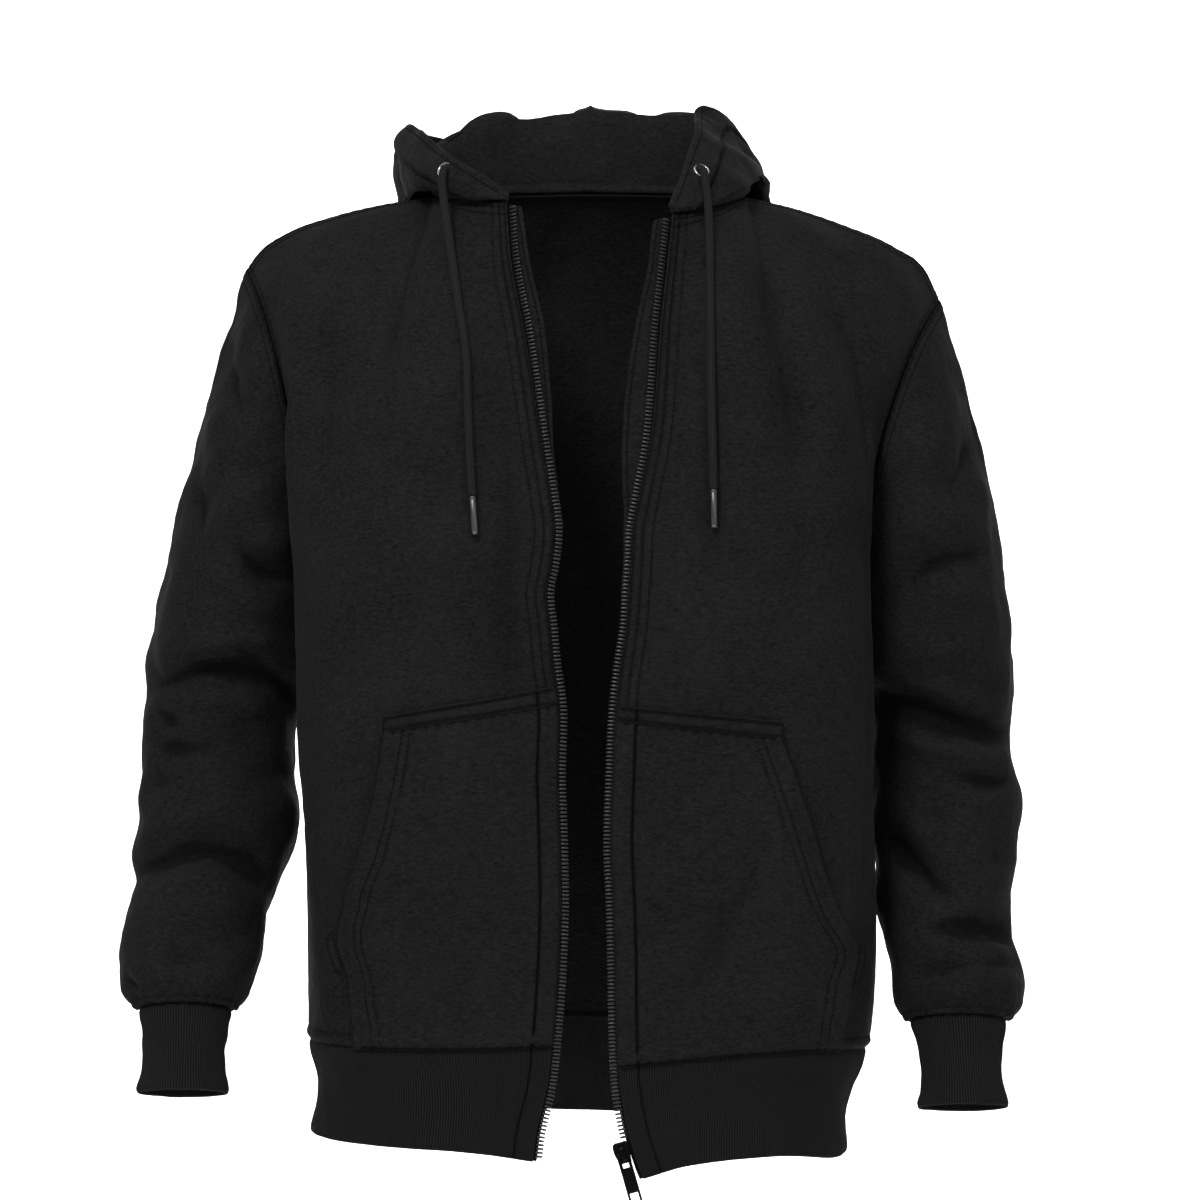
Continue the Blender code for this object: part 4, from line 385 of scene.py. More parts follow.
# The drawcord's two free ends, from the eyelet down, and the metal tips on them.
CORD_RADIUS = 0.0027
CORD_POINTS = 32
CORD_ROUTE = {
    RIGHT: table(
        "across depth height",
        (-0.1059, -0.0625, 0.0192),
        (-0.1062, -0.0654, 0.0193),
        (-0.1066, -0.0682, 0.0184),
        (-0.1069, -0.0706, 0.0166),
        (-0.1072, -0.0724, 0.0142),
        (-0.1074, -0.0736, 0.0112),
        (-0.1073, -0.0745, 0.0070),
        (-0.1069, -0.0755, 0.0016),
        (-0.1060, -0.0775, -0.0060),
        (-0.1043, -0.0808, -0.0170),
        (-0.1022, -0.0856, -0.0300),
        (-0.1004, -0.0906, -0.0420),
        (-0.0985, -0.0958, -0.0540),
        (-0.0962, -0.1022, -0.0690),
        (-0.0936, -0.1092, -0.0860),
        (-0.0910, -0.1136, -0.1000),
        (-0.0888, -0.1172, -0.1150),
        (-0.0875, -0.1207, -0.1325),
        (-0.0872, -0.1230, -0.1481),
        (-0.0866, -0.1248, -0.1650),
        (-0.0858, -0.1267, -0.1830),
        (-0.0848, -0.1287, -0.2019),
        (-0.0834, -0.1304, -0.2219),
    ),
    LEFT: table(
        "across depth height",
        (0.0813, -0.0596, 0.0196),
        (0.0819, -0.0618, 0.0192),
        (0.0826, -0.0644, 0.0186),
        (0.0833, -0.0667, 0.0171),
        (0.0838, -0.0685, 0.0149),
        (0.0841, -0.0696, 0.0122),
        (0.0845, -0.0706, 0.0085),
        (0.0850, -0.0719, 0.0040),
        (0.0856, -0.0739, -0.0025),
        (0.0862, -0.0770, -0.0110),
        (0.0866, -0.0816, -0.0230),
        (0.0869, -0.0868, -0.0360),
        (0.0870, -0.0915, -0.0500),
        (0.0871, -0.0980, -0.0680),
        (0.0871, -0.1045, -0.0850),
        (0.0871, -0.1098, -0.1000),
        (0.0872, -0.1136, -0.1167),
        (0.0872, -0.1165, -0.1300),
        (0.0873, -0.1192, -0.1443),
        (0.0876, -0.1220, -0.1630),
        (0.0879, -0.1242, -0.1817),
        (0.0883, -0.1262, -0.2000),
        (0.0885, -0.1275, -0.2168),
    ),
}
TIP_GAP = 0.0003

# Folds, seen from the front or the back: a bent line through three points (across, height),
# its half width, and its height over the cloth, negative for a trough.
FOLD = "x0 z0 x1 z1 x2 z2 half_width rise"
FOLDS = {
    "front_right": table(
        FOLD,
        (-0.212, -0.060, -0.216, -0.150, -0.214, -0.262, 0.012, 0.0060),
        (-0.190, -0.080, -0.188, -0.160, -0.192, -0.240, 0.016, -0.0035),
        (-0.080, -0.060, -0.110, -0.150, -0.150, -0.230, 0.022, 0.0030),
        (-0.055, -0.100, -0.060, -0.300, -0.050, -0.420, 0.018, -0.0030),
        (-0.100, -0.230, -0.092, -0.380, -0.085, -0.540, 0.020, 0.0028),
        (-0.175, -0.500, -0.172, -0.560, -0.172, -0.610, 0.008, -0.0025),
    ),
    "front_left": table(
        FOLD,
        (0.150, -0.060, 0.168, -0.140, 0.196, -0.225, 0.016, 0.0065),
        (0.186, -0.090, 0.203, -0.150, 0.204, -0.200, 0.014, -0.0060),
        (0.075, -0.060, 0.085, -0.200, 0.080, -0.330, 0.020, -0.0030),
        (0.120, -0.120, 0.125, -0.260, 0.122, -0.400, 0.022, 0.0028),
        (0.125, -0.470, 0.090, -0.540, 0.052, -0.605, 0.012, -0.0028),
        (0.175, -0.480, 0.180, -0.540, 0.178, -0.600, 0.010, 0.0020),
    ),
    "back": table(
        FOLD,
        (-0.175, -0.080, -0.150, -0.190, -0.165, -0.300, 0.018, -0.0045),
        (0.175, -0.090, 0.148, -0.200, 0.160, -0.320, 0.018, -0.0045),
        (-0.085, -0.260, -0.070, -0.400, -0.080, -0.560, 0.022, -0.0040),
        (0.080, -0.240, 0.095, -0.400, 0.085, -0.570, 0.024, -0.0040),
        (0.005, -0.340, 0.012, -0.460, 0.002, -0.590, 0.024, 0.0040),
        (-0.160, -0.430, -0.090, -0.480, -0.010, -0.500, 0.014, -0.0030),
    ),
    "sleeve_right": table(
        FOLD,
        (-0.270, -0.095, -0.268, -0.130, -0.258, -0.160, 0.012, -0.0050),
        (-0.293, -0.190, -0.290, -0.230, -0.284, -0.262, 0.012, -0.0045),
        (-0.264, -0.256, -0.244, -0.272, -0.222, -0.282, 0.012, -0.0075),
        (-0.320, -0.360, -0.270, -0.348, -0.226, -0.362, 0.011, -0.0110),
        (-0.262, -0.330, -0.248, -0.338, -0.232, -0.342, 0.008, -0.0050),
        (-0.330, -0.375, -0.320, -0.382, -0.308, -0.392, 0.008, -0.0050),
        (-0.322, -0.402, -0.308, -0.406, -0.290, -0.405, 0.008, -0.0045),
        (-0.338, -0.450, -0.290, -0.448, -0.240, -0.446, 0.015, 0.0060),
        (-0.334, -0.496, -0.280, -0.480, -0.244, -0.500, 0.011, -0.0100),
        (-0.330, -0.530, -0.290, -0.522, -0.258, -0.528, 0.012, 0.0040),
        (-0.338, -0.564, -0.300, -0.572, -0.262, -0.576, 0.010, 0.0050),
        (-0.340, -0.570, -0.335, -0.576, -0.328, -0.580, 0.006, -0.0040),
    ),
    "sleeve_left": table(
        FOLD,
        (0.296, -0.150, 0.282, -0.190, 0.262, -0.220, 0.014, -0.0050),
        (0.300, -0.262, 0.262, -0.268, 0.222, -0.292, 0.016, -0.0060),
        (0.306, -0.398, 0.262, -0.386, 0.220, -0.372, 0.011, -0.0105),
        (0.318, -0.428, 0.300, -0.432, 0.276, -0.426, 0.008, -0.0045),
        (0.300, -0.412, 0.270, -0.408, 0.240, -0.400, 0.012, 0.0045),
        (0.262, -0.512, 0.238, -0.490, 0.220, -0.470, 0.010, -0.0080),
        (0.318, -0.500, 0.300, -0.506, 0.280, -0.502, 0.012, 0.0040),
        (0.316, -0.550, 0.284, -0.536, 0.254, -0.534, 0.009, -0.0075),
        (0.316, -0.566, 0.300, -0.562, 0.288, -0.560, 0.006, -0.0040),
        (0.300, -0.574, 0.270, -0.578, 0.240, -0.580, 0.010, 0.0045),
    ),
    "sleeve_back": table(
        FOLD,
        (0.300, -0.190, 0.270, -0.220, 0.240, -0.262, 0.014, -0.0050),
        (0.322, -0.330, 0.280, -0.340, 0.240, -0.330, 0.013, 0.0050),
        (0.320, -0.430, 0.285, -0.420, 0.245, -0.436, 0.012, -0.0070),
        (0.316, -0.480, 0.280, -0.492, 0.240, -0.484, 0.012, -0.0060),
        (0.320, -0.548, 0.285, -0.540, 0.250, -0.550, 0.011, -0.0060),
    ),
}


def smooth(t):
    """A soft step from 0 to 1."""
    t = np.clip(t, 0.0, 1.0)
    return t * t * (3.0 - 2.0 * t)


def ridge(away, width):
    """1 where away is 0, falling softly on both sides over about a width."""
    return np.exp(-((away / width) ** 2))


def same_shape(*values):
    """The values as arrays of one shape."""
    return np.broadcast_arrays(*(np.asarray(value, float) for value in values))


def unit(vectors):
    """The same directions at length 1."""
    return vectors / np.maximum(np.linalg.norm(vectors, axis=-1, keepdims=True), 1e-12)


def through(places, values, at):
    """A smooth line through the values at their places, read anywhere between them."""
    slopes = np.gradient(values, places, axis=0)
    at = np.clip(np.asarray(at, float), places[0], places[-1])
    i = np.clip(np.searchsorted(places, at, side="right") - 1, 0, len(places) - 2)
    step = places[i + 1] - places[i]
    t = (at - places[i]) / step
    if np.ndim(values) > 1:
        t, step = t[..., None], step[..., None]
    ease = t * t * (3.0 - 2.0 * t)
    turned = (t**3 - 2.0 * t**2 + t) * slopes[i] + (t**3 - t**2) * slopes[i + 1]
    return values[i] * (1.0 - ease) + values[i + 1] * ease + step * turned


def read(rows, key, name, at):
    """One column of a table, read smoothly at places of its key column."""
    return through(rows[key], rows[name], at)


def swept(start, end, leave, arrive, t):
    """A cubic from start to end, t from 0 to 1: leave is a unit direction, arrive any length."""
    length = np.linalg.norm(end - start, axis=-1, keepdims=True)
    leave, arrive = leave * length, unit(arrive) * length
    t = np.asarray(t, float)[..., None]
    ease = t * t * (3.0 - 2.0 * t)
    turned = (t**3 - 2.0 * t**2 + t) * leave + (t**3 - t**2) * arrive
    return start * (1.0 - ease) + end * ease + turned


def spline_weights(turn, count):
    """What each of count control points gives to a smooth curve, at turns from 0 to count - 1.

    Two ghost points, before the first and after the last, complete the curve.
    """
    turn = np.asarray(turn, float)
    i = np.clip(np.floor(turn).astype(int), 0, count - 2)
    t = turn - i
    parts = (
        -0.5 * t**3 + t**2 - 0.5 * t,
        1.5 * t**3 - 2.5 * t**2 + 1.0,
        -1.5 * t**3 + 2.0 * t**2 + 0.5 * t,
        0.5 * t**3 - 0.5 * t**2,
    )
    weights = np.zeros(turn.shape + (count + 2,))
    for k, part in enumerate(parts):
        np.put_along_axis(weights, (i + k)[..., None], part[..., None], axis=-1)
    return weights


def zip_tip(side, height):
    """The tips of one front's zip teeth at a height."""
    across = side * read(ZIP_LINE, "height", SIDE_NAMES[side], height)
    return np.stack([across, -read(ZIP_LINE, "height", "depth", height), height], axis=-1)


def zip_edge(side, height):
    """The cloth edge of one front, a zip margin away from the teeth's tips."""
    return zip_tip(side, height) + np.array([side * ZIP_MARGIN, -0.0012, 0.0])


def level(side, turn, height):
    """A point of the body below the armpit, at a turn round its level section."""
    turn, height = same_shape(turn, height)
    width = read(BODY, "height", SIDE_NAMES[side], height)
    front = read(BODY, "height", "front", height)
    back = read(BODY, "height", "back", height)
    count = len(SECTION["turn"]) + 1
    edge = zip_edge(side, height)
    control = np.zeros(turn.shape + (count + 2, 2))
    control[..., 1, 0] = edge[..., 0] * side
    control[..., 1, 1] = edge[..., 1]
    for k in range(1, count):
        share = SECTION["depth"][k - 1]
        control[..., k + 1, 0] = SECTION["across"][k - 1] * width
        control[..., k + 1, 1] = share * np.where(share < 0.0, front, back)
    control[..., 0, :] = 2.0 * control[..., 1, :] - control[..., 2, :]
    control[..., -1, 0] = -control[..., -3, 0]
    control[..., -1, 1] = control[..., -3, 1]
    weights = spline_weights(turn, count)
    flat = np.einsum("...pk,...p->...k", control, weights)
    return np.stack([side * flat[..., 0], flat[..., 1], height], axis=-1)


def neckline(side, at):
    """The neck seam of one half, from the zip top (0) to the centre back (1)."""
    across = side * read(NECKLINE, "at", "across", at)
    depth = read(NECKLINE, "at", "depth", at)
    tilt = side * NECK_TILT * (1.0 - smooth(np.asarray(at, float) / 0.5))
    return np.stack([across, depth, read(NECKLINE, "at", "height", at) - tilt], axis=-1)


def shoulder(side, at):
    """A shoulder seam, from the side neck point (0) to the shoulder point (1)."""
    name = SIDE_NAMES[side]
    across = side * read(SHOULDER, "at", "across_" + name, at)
    depth = SIDE_NECK[1] + (SHOULDER_DEPTH - SIDE_NECK[1]) * np.asarray(at, float)
    return np.stack([across, depth, read(SHOULDER, "at", "height_" + name, at)], axis=-1)


def underarm(side):
    """The point where the side seam, the armhole and the sleeve seam meet."""
    return level(side, SIDE_TURN, ARMPIT_HEIGHT)


def armhole(side, face, at):
    """The armhole by its front or back face, from the underarm (0) to the shoulder point (1)."""
    at = np.asarray(at, float)
    low, high = underarm(side), shoulder(side, 1.0)

    def charted(place):
        across = side * read(ARMHOLE, "at", face + "_across", place)
        depth = read(ARMHOLE, "at", face + "_depth", place)
        rise = read(ARMHOLE, "at", "rise", place)
        return np.stack([across, depth, low[2] + (high[2] - low[2]) * rise], axis=-1)

    low_fault, high_fault = low - charted(0.0), high - charted(1.0)
    return charted(at) + (1.0 - at)[..., None] * low_fault + at[..., None] * high_fault


def hem_height(side, turn, name):
    """The height of the hem's seam or foot at a turn round the level section."""
    return read(HEM, "turn", name + "_" + SIDE_NAMES[side], turn)


def lower_body(side, turn, share):
    """The body from the hem seam (share 0) up to the armpit level (1)."""
    seam = hem_height(side, turn, "seam")
    return level(side, turn, seam + (ARMPIT_HEIGHT - seam) * share)


def armpit_rise(side, turn):
    """Which way the body's cloth heads as it passes the armpit level."""
    below = level(side, turn, ARMPIT_HEIGHT - 0.02)
    return unit(level(side, turn, np.full(np.shape(turn), ARMPIT_HEIGHT)) - below)


def front_top(side, u):
    """The upper edge of a front: the neckline, then the shoulder seam."""
    on_neck = neckline(side, 0.5 * np.clip(u / NECK_SHARE, 0.0, 1.0))
    on_shoulder = shoulder(side, np.clip((u - NECK_SHARE) / (1.0 - NECK_SHARE), 0.0, 1.0))
    return np.where((u < NECK_SHARE)[..., None], on_neck, on_shoulder)


def side_line(side, shape, arrive, t):
    """A panel's side from the armpit to the shoulder point, before its armhole is drawn in."""
    turn = np.full(shape, SIDE_TURN)
    start = level(side, turn, ARMPIT_HEIGHT)
    return swept(start, shoulder(side, np.ones(shape)), armpit_rise(side, turn), arrive, t)


def front_base(side, u, v):
    """A front without its folds: u from the zip to the side, v 0 hem seam, 1 armpit, 2 top."""
    u, v = same_shape(u, v)
    turn = SIDE_TURN * u
    low = lower_body(side, turn, np.clip(v, 0.0, 1.0))
    t = np.clip(v - 1.0, 0.0, 1.0)
    start = level(side, turn, np.full(u.shape, ARMPIT_HEIGHT))
    end = front_top(side, u)
    over = smooth(u / NECK_SHARE)[..., None]
    at_neck = np.array([0.0, 0.35, 0.94])
    at_shoulder = np.array([0.0, 0.95, 0.30])
    arrive = at_neck * (1.0 - over) + at_shoulder * over
    high = swept(start, end, armpit_rise(side, turn), arrive, t)
    plain = side_line(side, u.shape, at_shoulder, t)
    high = high + (smooth((u - 0.35) / 0.65) ** 2)[..., None] * (armhole(side, "front", t) - plain)
    zeros = np.zeros(u.shape)
    zip_start = level(side, zeros, ARMPIT_HEIGHT)
    zip_top = neckline(side, zeros)
    straight = swept(zip_start, zip_top, armpit_rise(side, zeros), at_neck, t)
    edge = zip_edge(side, ARMPIT_HEIGHT + (zip_top[..., 2] - ARMPIT_HEIGHT) * t)
    edge = edge + t[..., None] * (zip_top - zip_edge(side, zip_top[..., 2]))
    high = high + ((1.0 - smooth(u / 0.45)) ** 2)[..., None] * (edge - straight)
    return np.where((v < 1.0)[..., None], low, high)


def back_base(u, v):
    """The back without its folds: u from the right side to the left, v as on a front."""
    u, v = same_shape(u, v)
    right = half_back(RIGHT, 2.0 * u, v)
    left = half_back(LEFT, 2.0 * (1.0 - u), v)
    return np.where((u < 0.5)[..., None], right, left)


def half_back(side, w, v):
    """Half of the back: w from the side seam (0) to the centre back (1)."""
    w = np.clip(w, 0.0, 1.0)
    turn = SIDE_TURN + BACK_TURNS * w
    low = lower_body(side, turn, np.clip(v, 0.0, 1.0))
    t = np.clip(v - 1.0, 0.0, 1.0)
    start = level(side, turn, np.full(w.shape, ARMPIT_HEIGHT))
    on_shoulder = shoulder(side, np.clip(1.0 - w / BACK_SHOULDER_SHARE, 0.0, 1.0))
    past = np.clip((w - BACK_SHOULDER_SHARE) / (1.0 - BACK_SHOULDER_SHARE), 0.0, 1.0)
    on_neck = neckline(side, 0.5 + 0.5 * past)
    end = np.where((w < BACK_SHOULDER_SHARE)[..., None], on_shoulder, on_neck)
    over = smooth(past)[..., None]
    at_shoulder = np.array([0.0, -0.95, 0.12])
    at_neck = np.array([0.0, -0.75, 0.66])
    arrive = at_shoulder * (1.0 - over) + at_neck * over
    high = swept(start, end, armpit_rise(side, turn), arrive, t)
    plain = side_line(side, w.shape, at_shoulder, t)
    high = high + (smooth(1.0 - w / 0.65) ** 2)[..., None] * (armhole(side, "back", t) - plain)
    return np.where((v < 1.0)[..., None], low, high)


def ring_point(side, rows, turn, height, lean_out, lean_forward):
    """A point of an arm's ring: turn 0 outside, 90 front, 180 inside, 270 back, in degrees."""
    across = read_down(rows, "across", height)
    depth = read_down(rows, "depth", height)
    wide = read_down(rows, "half_width", height) * np.cos(np.radians(turn))
    deep = read_down(rows, "half_depth", height) * np.sin(np.radians(turn))
    out, forward = np.radians(lean_out), np.radians(lean_forward)
    return np.stack(
        [
            side * (across + wide * np.cos(out)),
            depth - deep * np.cos(forward),
            height + wide * np.sin(out) + deep * np.sin(forward),
        ],
        axis=-1,
    )


def read_down(rows, name, height):
    """One column of a table whose heights run downward."""
    return through(rows["height"][::-1], rows[name][::-1], height)


def armhole_point(side, turn):
    """The armhole loop at a sleeve's turn: 0 shoulder point, 180 underarm."""
    front = armhole(side, "front", np.clip(1.0 - turn / 180.0, 0.0, 1.0))
    back = armhole(side, "back", np.clip((turn - 180.0) / 180.0, 0.0, 1.0))
    return np.where((turn < 180.0)[..., None], front, back)


def sleeve_base(side, turn, v):
    """A sleeve without its folds: v 0 armhole, 1 first whole ring, 2 cuff seam."""
    turn, v = same_shape(np.asarray(turn, float) % 360.0, v)
    rows = SLEEVE[side]
    top, foot = rows["height"][0], rows["height"][-1]
    height = top + (foot - top) * np.clip(v - 1.0, 0.0, 1.0)
    low = ring_point(
        side, rows, turn, height,
        read_down(rows, "lean_out", height), read_down(rows, "lean_forward", height),
    )
    start = armhole_point(side, turn)
    first = np.full(turn.shape, top)
    end = ring_point(side, rows, turn, first, rows["lean_out"][0], rows["lean_forward"][0])
    forward = np.sin(np.radians(turn))
    outside = 0.5 + 0.5 * np.cos(np.radians(turn))
    leave = np.stack(
        [side * (0.22 + 0.07 * outside + 0.16 * abs(forward)), -0.22 * forward, -0.93 + 0.0 * turn],
        axis=-1,
    )
    along = np.array([side * ARM_SLANT[side], 0.08, -0.98])
    high = swept(start, end, unit(leave), along, np.clip(v, 0.0, 1.0))
    return np.where((v < 1.0)[..., None], high, low)


def cuff_surface(side, turn, v):
    """A cuff: v 0 at the cuff seam, 1 at the wrist opening."""
    turn, v = same_shape(np.asarray(turn, float) % 360.0, v)
    rows = CUFF[side]
    height = rows["height"][0] + (rows["height"][-1] - rows["height"][0]) * v
    return ring_point(side, rows, turn, height, 0.0, CUFF_LEAN)


def hem_surface(u, v):
    """The hem band: u from the right zip edge round the back to the left, v 0 seam, 1 foot."""
    u, v = same_shape(u, v)
    halves = []
    for side, share in ((RIGHT, 2.0 * u), (LEFT, 2.0 - 2.0 * u)):
        turn = hem_turn(np.clip(share, 0.0, 1.0))
        seam = hem_height(side, turn, "seam")
        halves.append(level(side, turn, seam + (hem_height(side, turn, "foot") - seam) * v))
    return np.where((u < 0.5)[..., None], halves[0], halves[1])


def hem_turn(share):
    """The level section's turn at a share of half of the hem, in step with the panels above."""
    on_front = SIDE_TURN * share / FRONT_SHARE
    on_back = SIDE_TURN + BACK_TURNS * (share - FRONT_SHARE) / (1.0 - FRONT_SHARE)
    return np.where(share <= FRONT_SHARE, on_front, on_back)


def hood_surface(side, at, t):
    """Half of the hood: at runs along the neckline, t from the neck seam (0) to the rim (1)."""
    at, t = same_shape(at, t)
    rows = HOOD[side]
    turn = np.radians(read(rows, "at", "turn", at))
    count = len(HOOD_POINTS) + 1
    profile = np.zeros(at.shape + (count + 2, 2))
    for k, name in enumerate(HOOD_POINTS):
        profile[..., k + 2, 0] = read(rows, "at", name + "_out", at)
        profile[..., k + 2, 1] = read(rows, "at", name + "_up", at)
    profile[..., 0, :] = 2.0 * profile[..., 1, :] - profile[..., 2, :]
    profile[..., -1, :] = 2.0 * profile[..., -2, :] - profile[..., -3, :]
    step = np.einsum("...pk,...p->...k", profile, spline_weights(t * (count - 1), count))
    out, up = step[..., 0], step[..., 1]
    seam = neckline(side, at)
    return seam + np.stack([side * out * np.sin(turn), -out * np.cos(turn), up], axis=-1)


def bent_line(rows, k, steps=9):
    """Points along fold k of a table: a curve through its three points, seen from the front."""
    t = np.linspace(0.0, 1.0, steps)[:, None]
    a = np.array([rows["x0"][k], rows["z0"][k]])
    b = np.array([rows["x1"][k], rows["z1"][k]])
    c = np.array([rows["x2"][k], rows["z2"][k]])
    pull = 2.0 * b - 0.5 * (a + c)
    return (1.0 - t) ** 2 * a + 2.0 * t * (1.0 - t) * pull + t**2 * c


def fold_rise(points, rows, mirror=1.0):
    """How far the folds of a table lift the cloth at each point."""
    place = points[..., [0, 2]] * np.array([mirror, 1.0])
    rise = np.zeros(points.shape[:-1])
    for k in range(len(rows["rise"])):
        line = bent_line(rows, k)
        nearest = np.full(rise.shape, np.inf)
        along = np.zeros(rise.shape)
        for i in range(len(line) - 1):
            run = line[i + 1] - line[i]
            share = np.clip(((place - line[i]) @ run) / (run @ run), 0.0, 1.0)
            off = np.linalg.norm(place - line[i] - share[..., None] * run, axis=-1)
            closer = off < nearest
            nearest = np.where(closer, off, nearest)
            along = np.where(closer, (i + share) / (len(line) - 1), along)
        away = nearest / rows["half_width"][k]
        body = np.exp(-(away**2))
        if rows["rise"][k] < 0.0:
            crease, bulge = np.exp(-away / 0.36), ridge(away - 1.9, 0.8)
            body = 0.75 * body + 0.45 * crease - 0.30 * bulge
        rise += rows["rise"][k] * body * (0.35 + 0.65 * np.sin(np.pi * along))
    return rise


def normals_of(surface, u, v, u_limits=(0.0, 1.0), v_limits=(0.0, 1.0), turned=1.0):
    """Unit normals of a surface, by small steps each way that stay within its limits."""
    small = 1e-3
    u0, u1 = np.clip(u - small, *u_limits), np.clip(u + small, *u_limits)
    v0, v1 = np.clip(v - small, *v_limits), np.clip(v + small, *v_limits)
    across = surface(u1, v) - surface(u0, v)
    along = surface(u, v1) - surface(u, v0)
    return unit(np.cross(across, along)) * turned


FRONT_COLUMNS, FRONT_ROWS = 181, 401


def border_fade(share, width=0.10):
    """0 on both borders of a panel and 1 away from them."""
    return smooth(share / width) * smooth((1.0 - share) / width)


def grid_out(points, tube, side):
    """Outward normals of a grid of points."""
    if tube:
        across = np.roll(points, -1, axis=1) - np.roll(points, 1, axis=1)
    else:
        across = np.gradient(points, axis=1)
    return unit(np.cross(across, np.gradient(points, axis=0))) * side


@lru_cache(maxsize=None)
def front_grid(side):
    """A front with its folds on a fine even grid: its points and its outward normals."""
    u, v = np.meshgrid(np.linspace(0.0, 1.0, FRONT_COLUMNS), np.linspace(0.0, 2.0, FRONT_ROWS))
    points = front_base(side, u, v)
    out = grid_out(points, False, side)
    fade = smooth(u / 0.10) * smooth((1.0 - u) / 0.08) * border_fade(v / 2.0, 0.05)
    rise = fold_rise(points, FOLDS["front_" + SIDE_NAMES[side]]) * fade
    points = points + out * (rise * smooth(-1.6 * out[..., 1]))[..., None]
    return points, grid_out(points, False, side)


def between(grid, u, v):
    """Values read between a front grid's own, for u from 0 to 1 and v from 0 to 2."""
    rows, columns = grid.shape[:2]
    x, y = np.asarray(u) * (columns - 1.0), np.asarray(v) * 0.5 * (rows - 1.0)
    i, j = (np.clip(a.astype(int), 0, n - 2) for a, n in ((x, columns), (y, rows)))
    right, up = (x - i)[..., None], (y - j)[..., None]
    low = grid[j, i] * (1.0 - right) + grid[j, i + 1] * right
    high = grid[j + 1, i] * (1.0 - right) + grid[j + 1, i + 1] * right
    return low * (1.0 - up) + high * up


def front_surface(side, u, v):
    """A front with its folds."""
    u, v = same_shape(u, v)
    return between(front_grid(side)[0], u, v)


def back_surface(u, v):
    """The back with its folds."""
    u, v = same_shape(u, v)
    points = back_base(u, v)
    out = normals_of(back_base, u, v, (0.0, 1.0), (0.0, 2.0), turned=-1.0)
    fade = border_fade(u, 0.06) * border_fade(v / 2.0, 0.06)
    rise = fold_rise(points, FOLDS["back"]) * fade
    return points + out * (rise * smooth(1.6 * out[..., 1]))[..., None]


SLEEVE_FOLDS = 1.25


def sleeve_surface(side, turn, v):
    """A sleeve with its folds, on the front and, smaller, on the back of the arm."""
    turn, v = same_shape(turn, v)

    def base(a, b):
        return sleeve_base(side, a * 360.0, b)

    points = base(turn / 360.0, v)
    out = normals_of(base, turn / 360.0, v, (-1.0, 2.0), (0.0, 2.0), turned=side)
    fade = smooth(v / 0.15) * smooth((2.0 - v) / 0.06)
    ahead = fold_rise(points, FOLDS["sleeve_" + SIDE_NAMES[side]]) * smooth(-1.8 * out[..., 1])
    behind = fold_rise(points, FOLDS["sleeve_back"], side) * smooth(1.8 * out[..., 1])
    return points + out * (SLEEVE_FOLDS * (ahead + behind) * fade)[..., None]


def place_on(surface, start, across, height, u_limits, v_limits):
    """The surface's u and v whose point has the given place across and height."""
    u = np.full(np.shape(across), float(start[0]))
    v = np.full(np.shape(across), float(start[1]))
    small = 1e-3
    for _ in range(25):
        here = surface(u, v)
        by_u = (surface(u + small, v) - here) / small
        by_v = (surface(u, v + small) - here) / small
        miss_x, miss_z = across - here[..., 0], height - here[..., 2]
        det = by_u[..., 0] * by_v[..., 2] - by_u[..., 2] * by_v[..., 0]
        det = np.where(abs(det) < 1e-9, 1e-9, det)
        du = (miss_x * by_v[..., 2] - miss_z * by_v[..., 0]) / det
        dv = (by_u[..., 0] * miss_z - by_u[..., 2] * miss_x) / det
        u = np.clip(u + np.clip(du, -0.1, 0.1), *u_limits)
        v = np.clip(v + np.clip(dv, -0.2, 0.2), *v_limits)
    return u, v


def front_place(side, across, height):
    """Where on a front a point seen from the front lies: its u and v."""
    return place_on(
        lambda a, b: front_surface(side, a, b), (0.3, 0.8), across, height, (0.0, 1.0), (0.0, 1.999)
    )


def front_normals(side, u, v):
    """Outward normals of a front with its folds."""
    u, v = same_shape(u, v)
    return unit(between(front_grid(side)[1], u, v))


# ---------------------------------------------------------------------------- sampling


def spaced(length, middle, zones, fine=0.0009, ease=0.012):
    """Shares from 0 to 1 along a length, an odd number: close together in its two end zones."""
    x = np.linspace(0.0, length, 4001)
    away = np.minimum(
        np.where(zones[0] > 0.0, x - zones[0], np.inf),
        np.where(zones[1] > 0.0, length - x - zones[1], np.inf),
    )
    step = fine + (middle - fine) * smooth(away / ease)
    counted = np.concatenate([[0.0], np.cumsum(np.diff(x) / step[1:])])
    steps = 2 * math.ceil(0.5 * counted[-1])
    return np.interp(np.linspace(0.0, counted[-1], steps + 1), counted, x) / length


def panel_v(shares):
    """Rows of a front or the back for shares of its height: v 0 hem seam, 1 armpit, 2 top."""
    return np.where(shares < 0.57, shares / 0.57, 1.0 + (shares - 0.57) / 0.43)


def waves(points, seed, count, shortest, longest, height):
    """Soft uneven waves through space, from a seed: a rise for every point."""
    rng = np.random.default_rng(seed)
    heads = unit(rng.normal(size=(count, 3)))
    lengths = np.exp(rng.uniform(math.log(shortest), math.log(longest), count))
    phases = rng.uniform(0.0, 2.0 * math.pi, count)
    total = np.zeros(points.shape[:-1])
    for head, length, phase in zip(heads, lengths, phases):
        total += np.sin(points @ head * (2.0 * math.pi / length) + phase)
    return total * height / math.sqrt(count)


def soft_cloth(points, seed, drop=0.45):
    """The uneven surface of worn cloth: long rolls that run downward, and small dents."""
    long_rolls = waves(points * np.array([1.0, 1.0, drop]), seed, 16, 0.035, 0.120, 0.0011)
    return long_rolls + waves(points, seed + 1, 24, 0.009, 0.026, 0.00016)


# A groove this deep gets the full painted shade.
FULL_SHADE_DEPTH = 0.0006


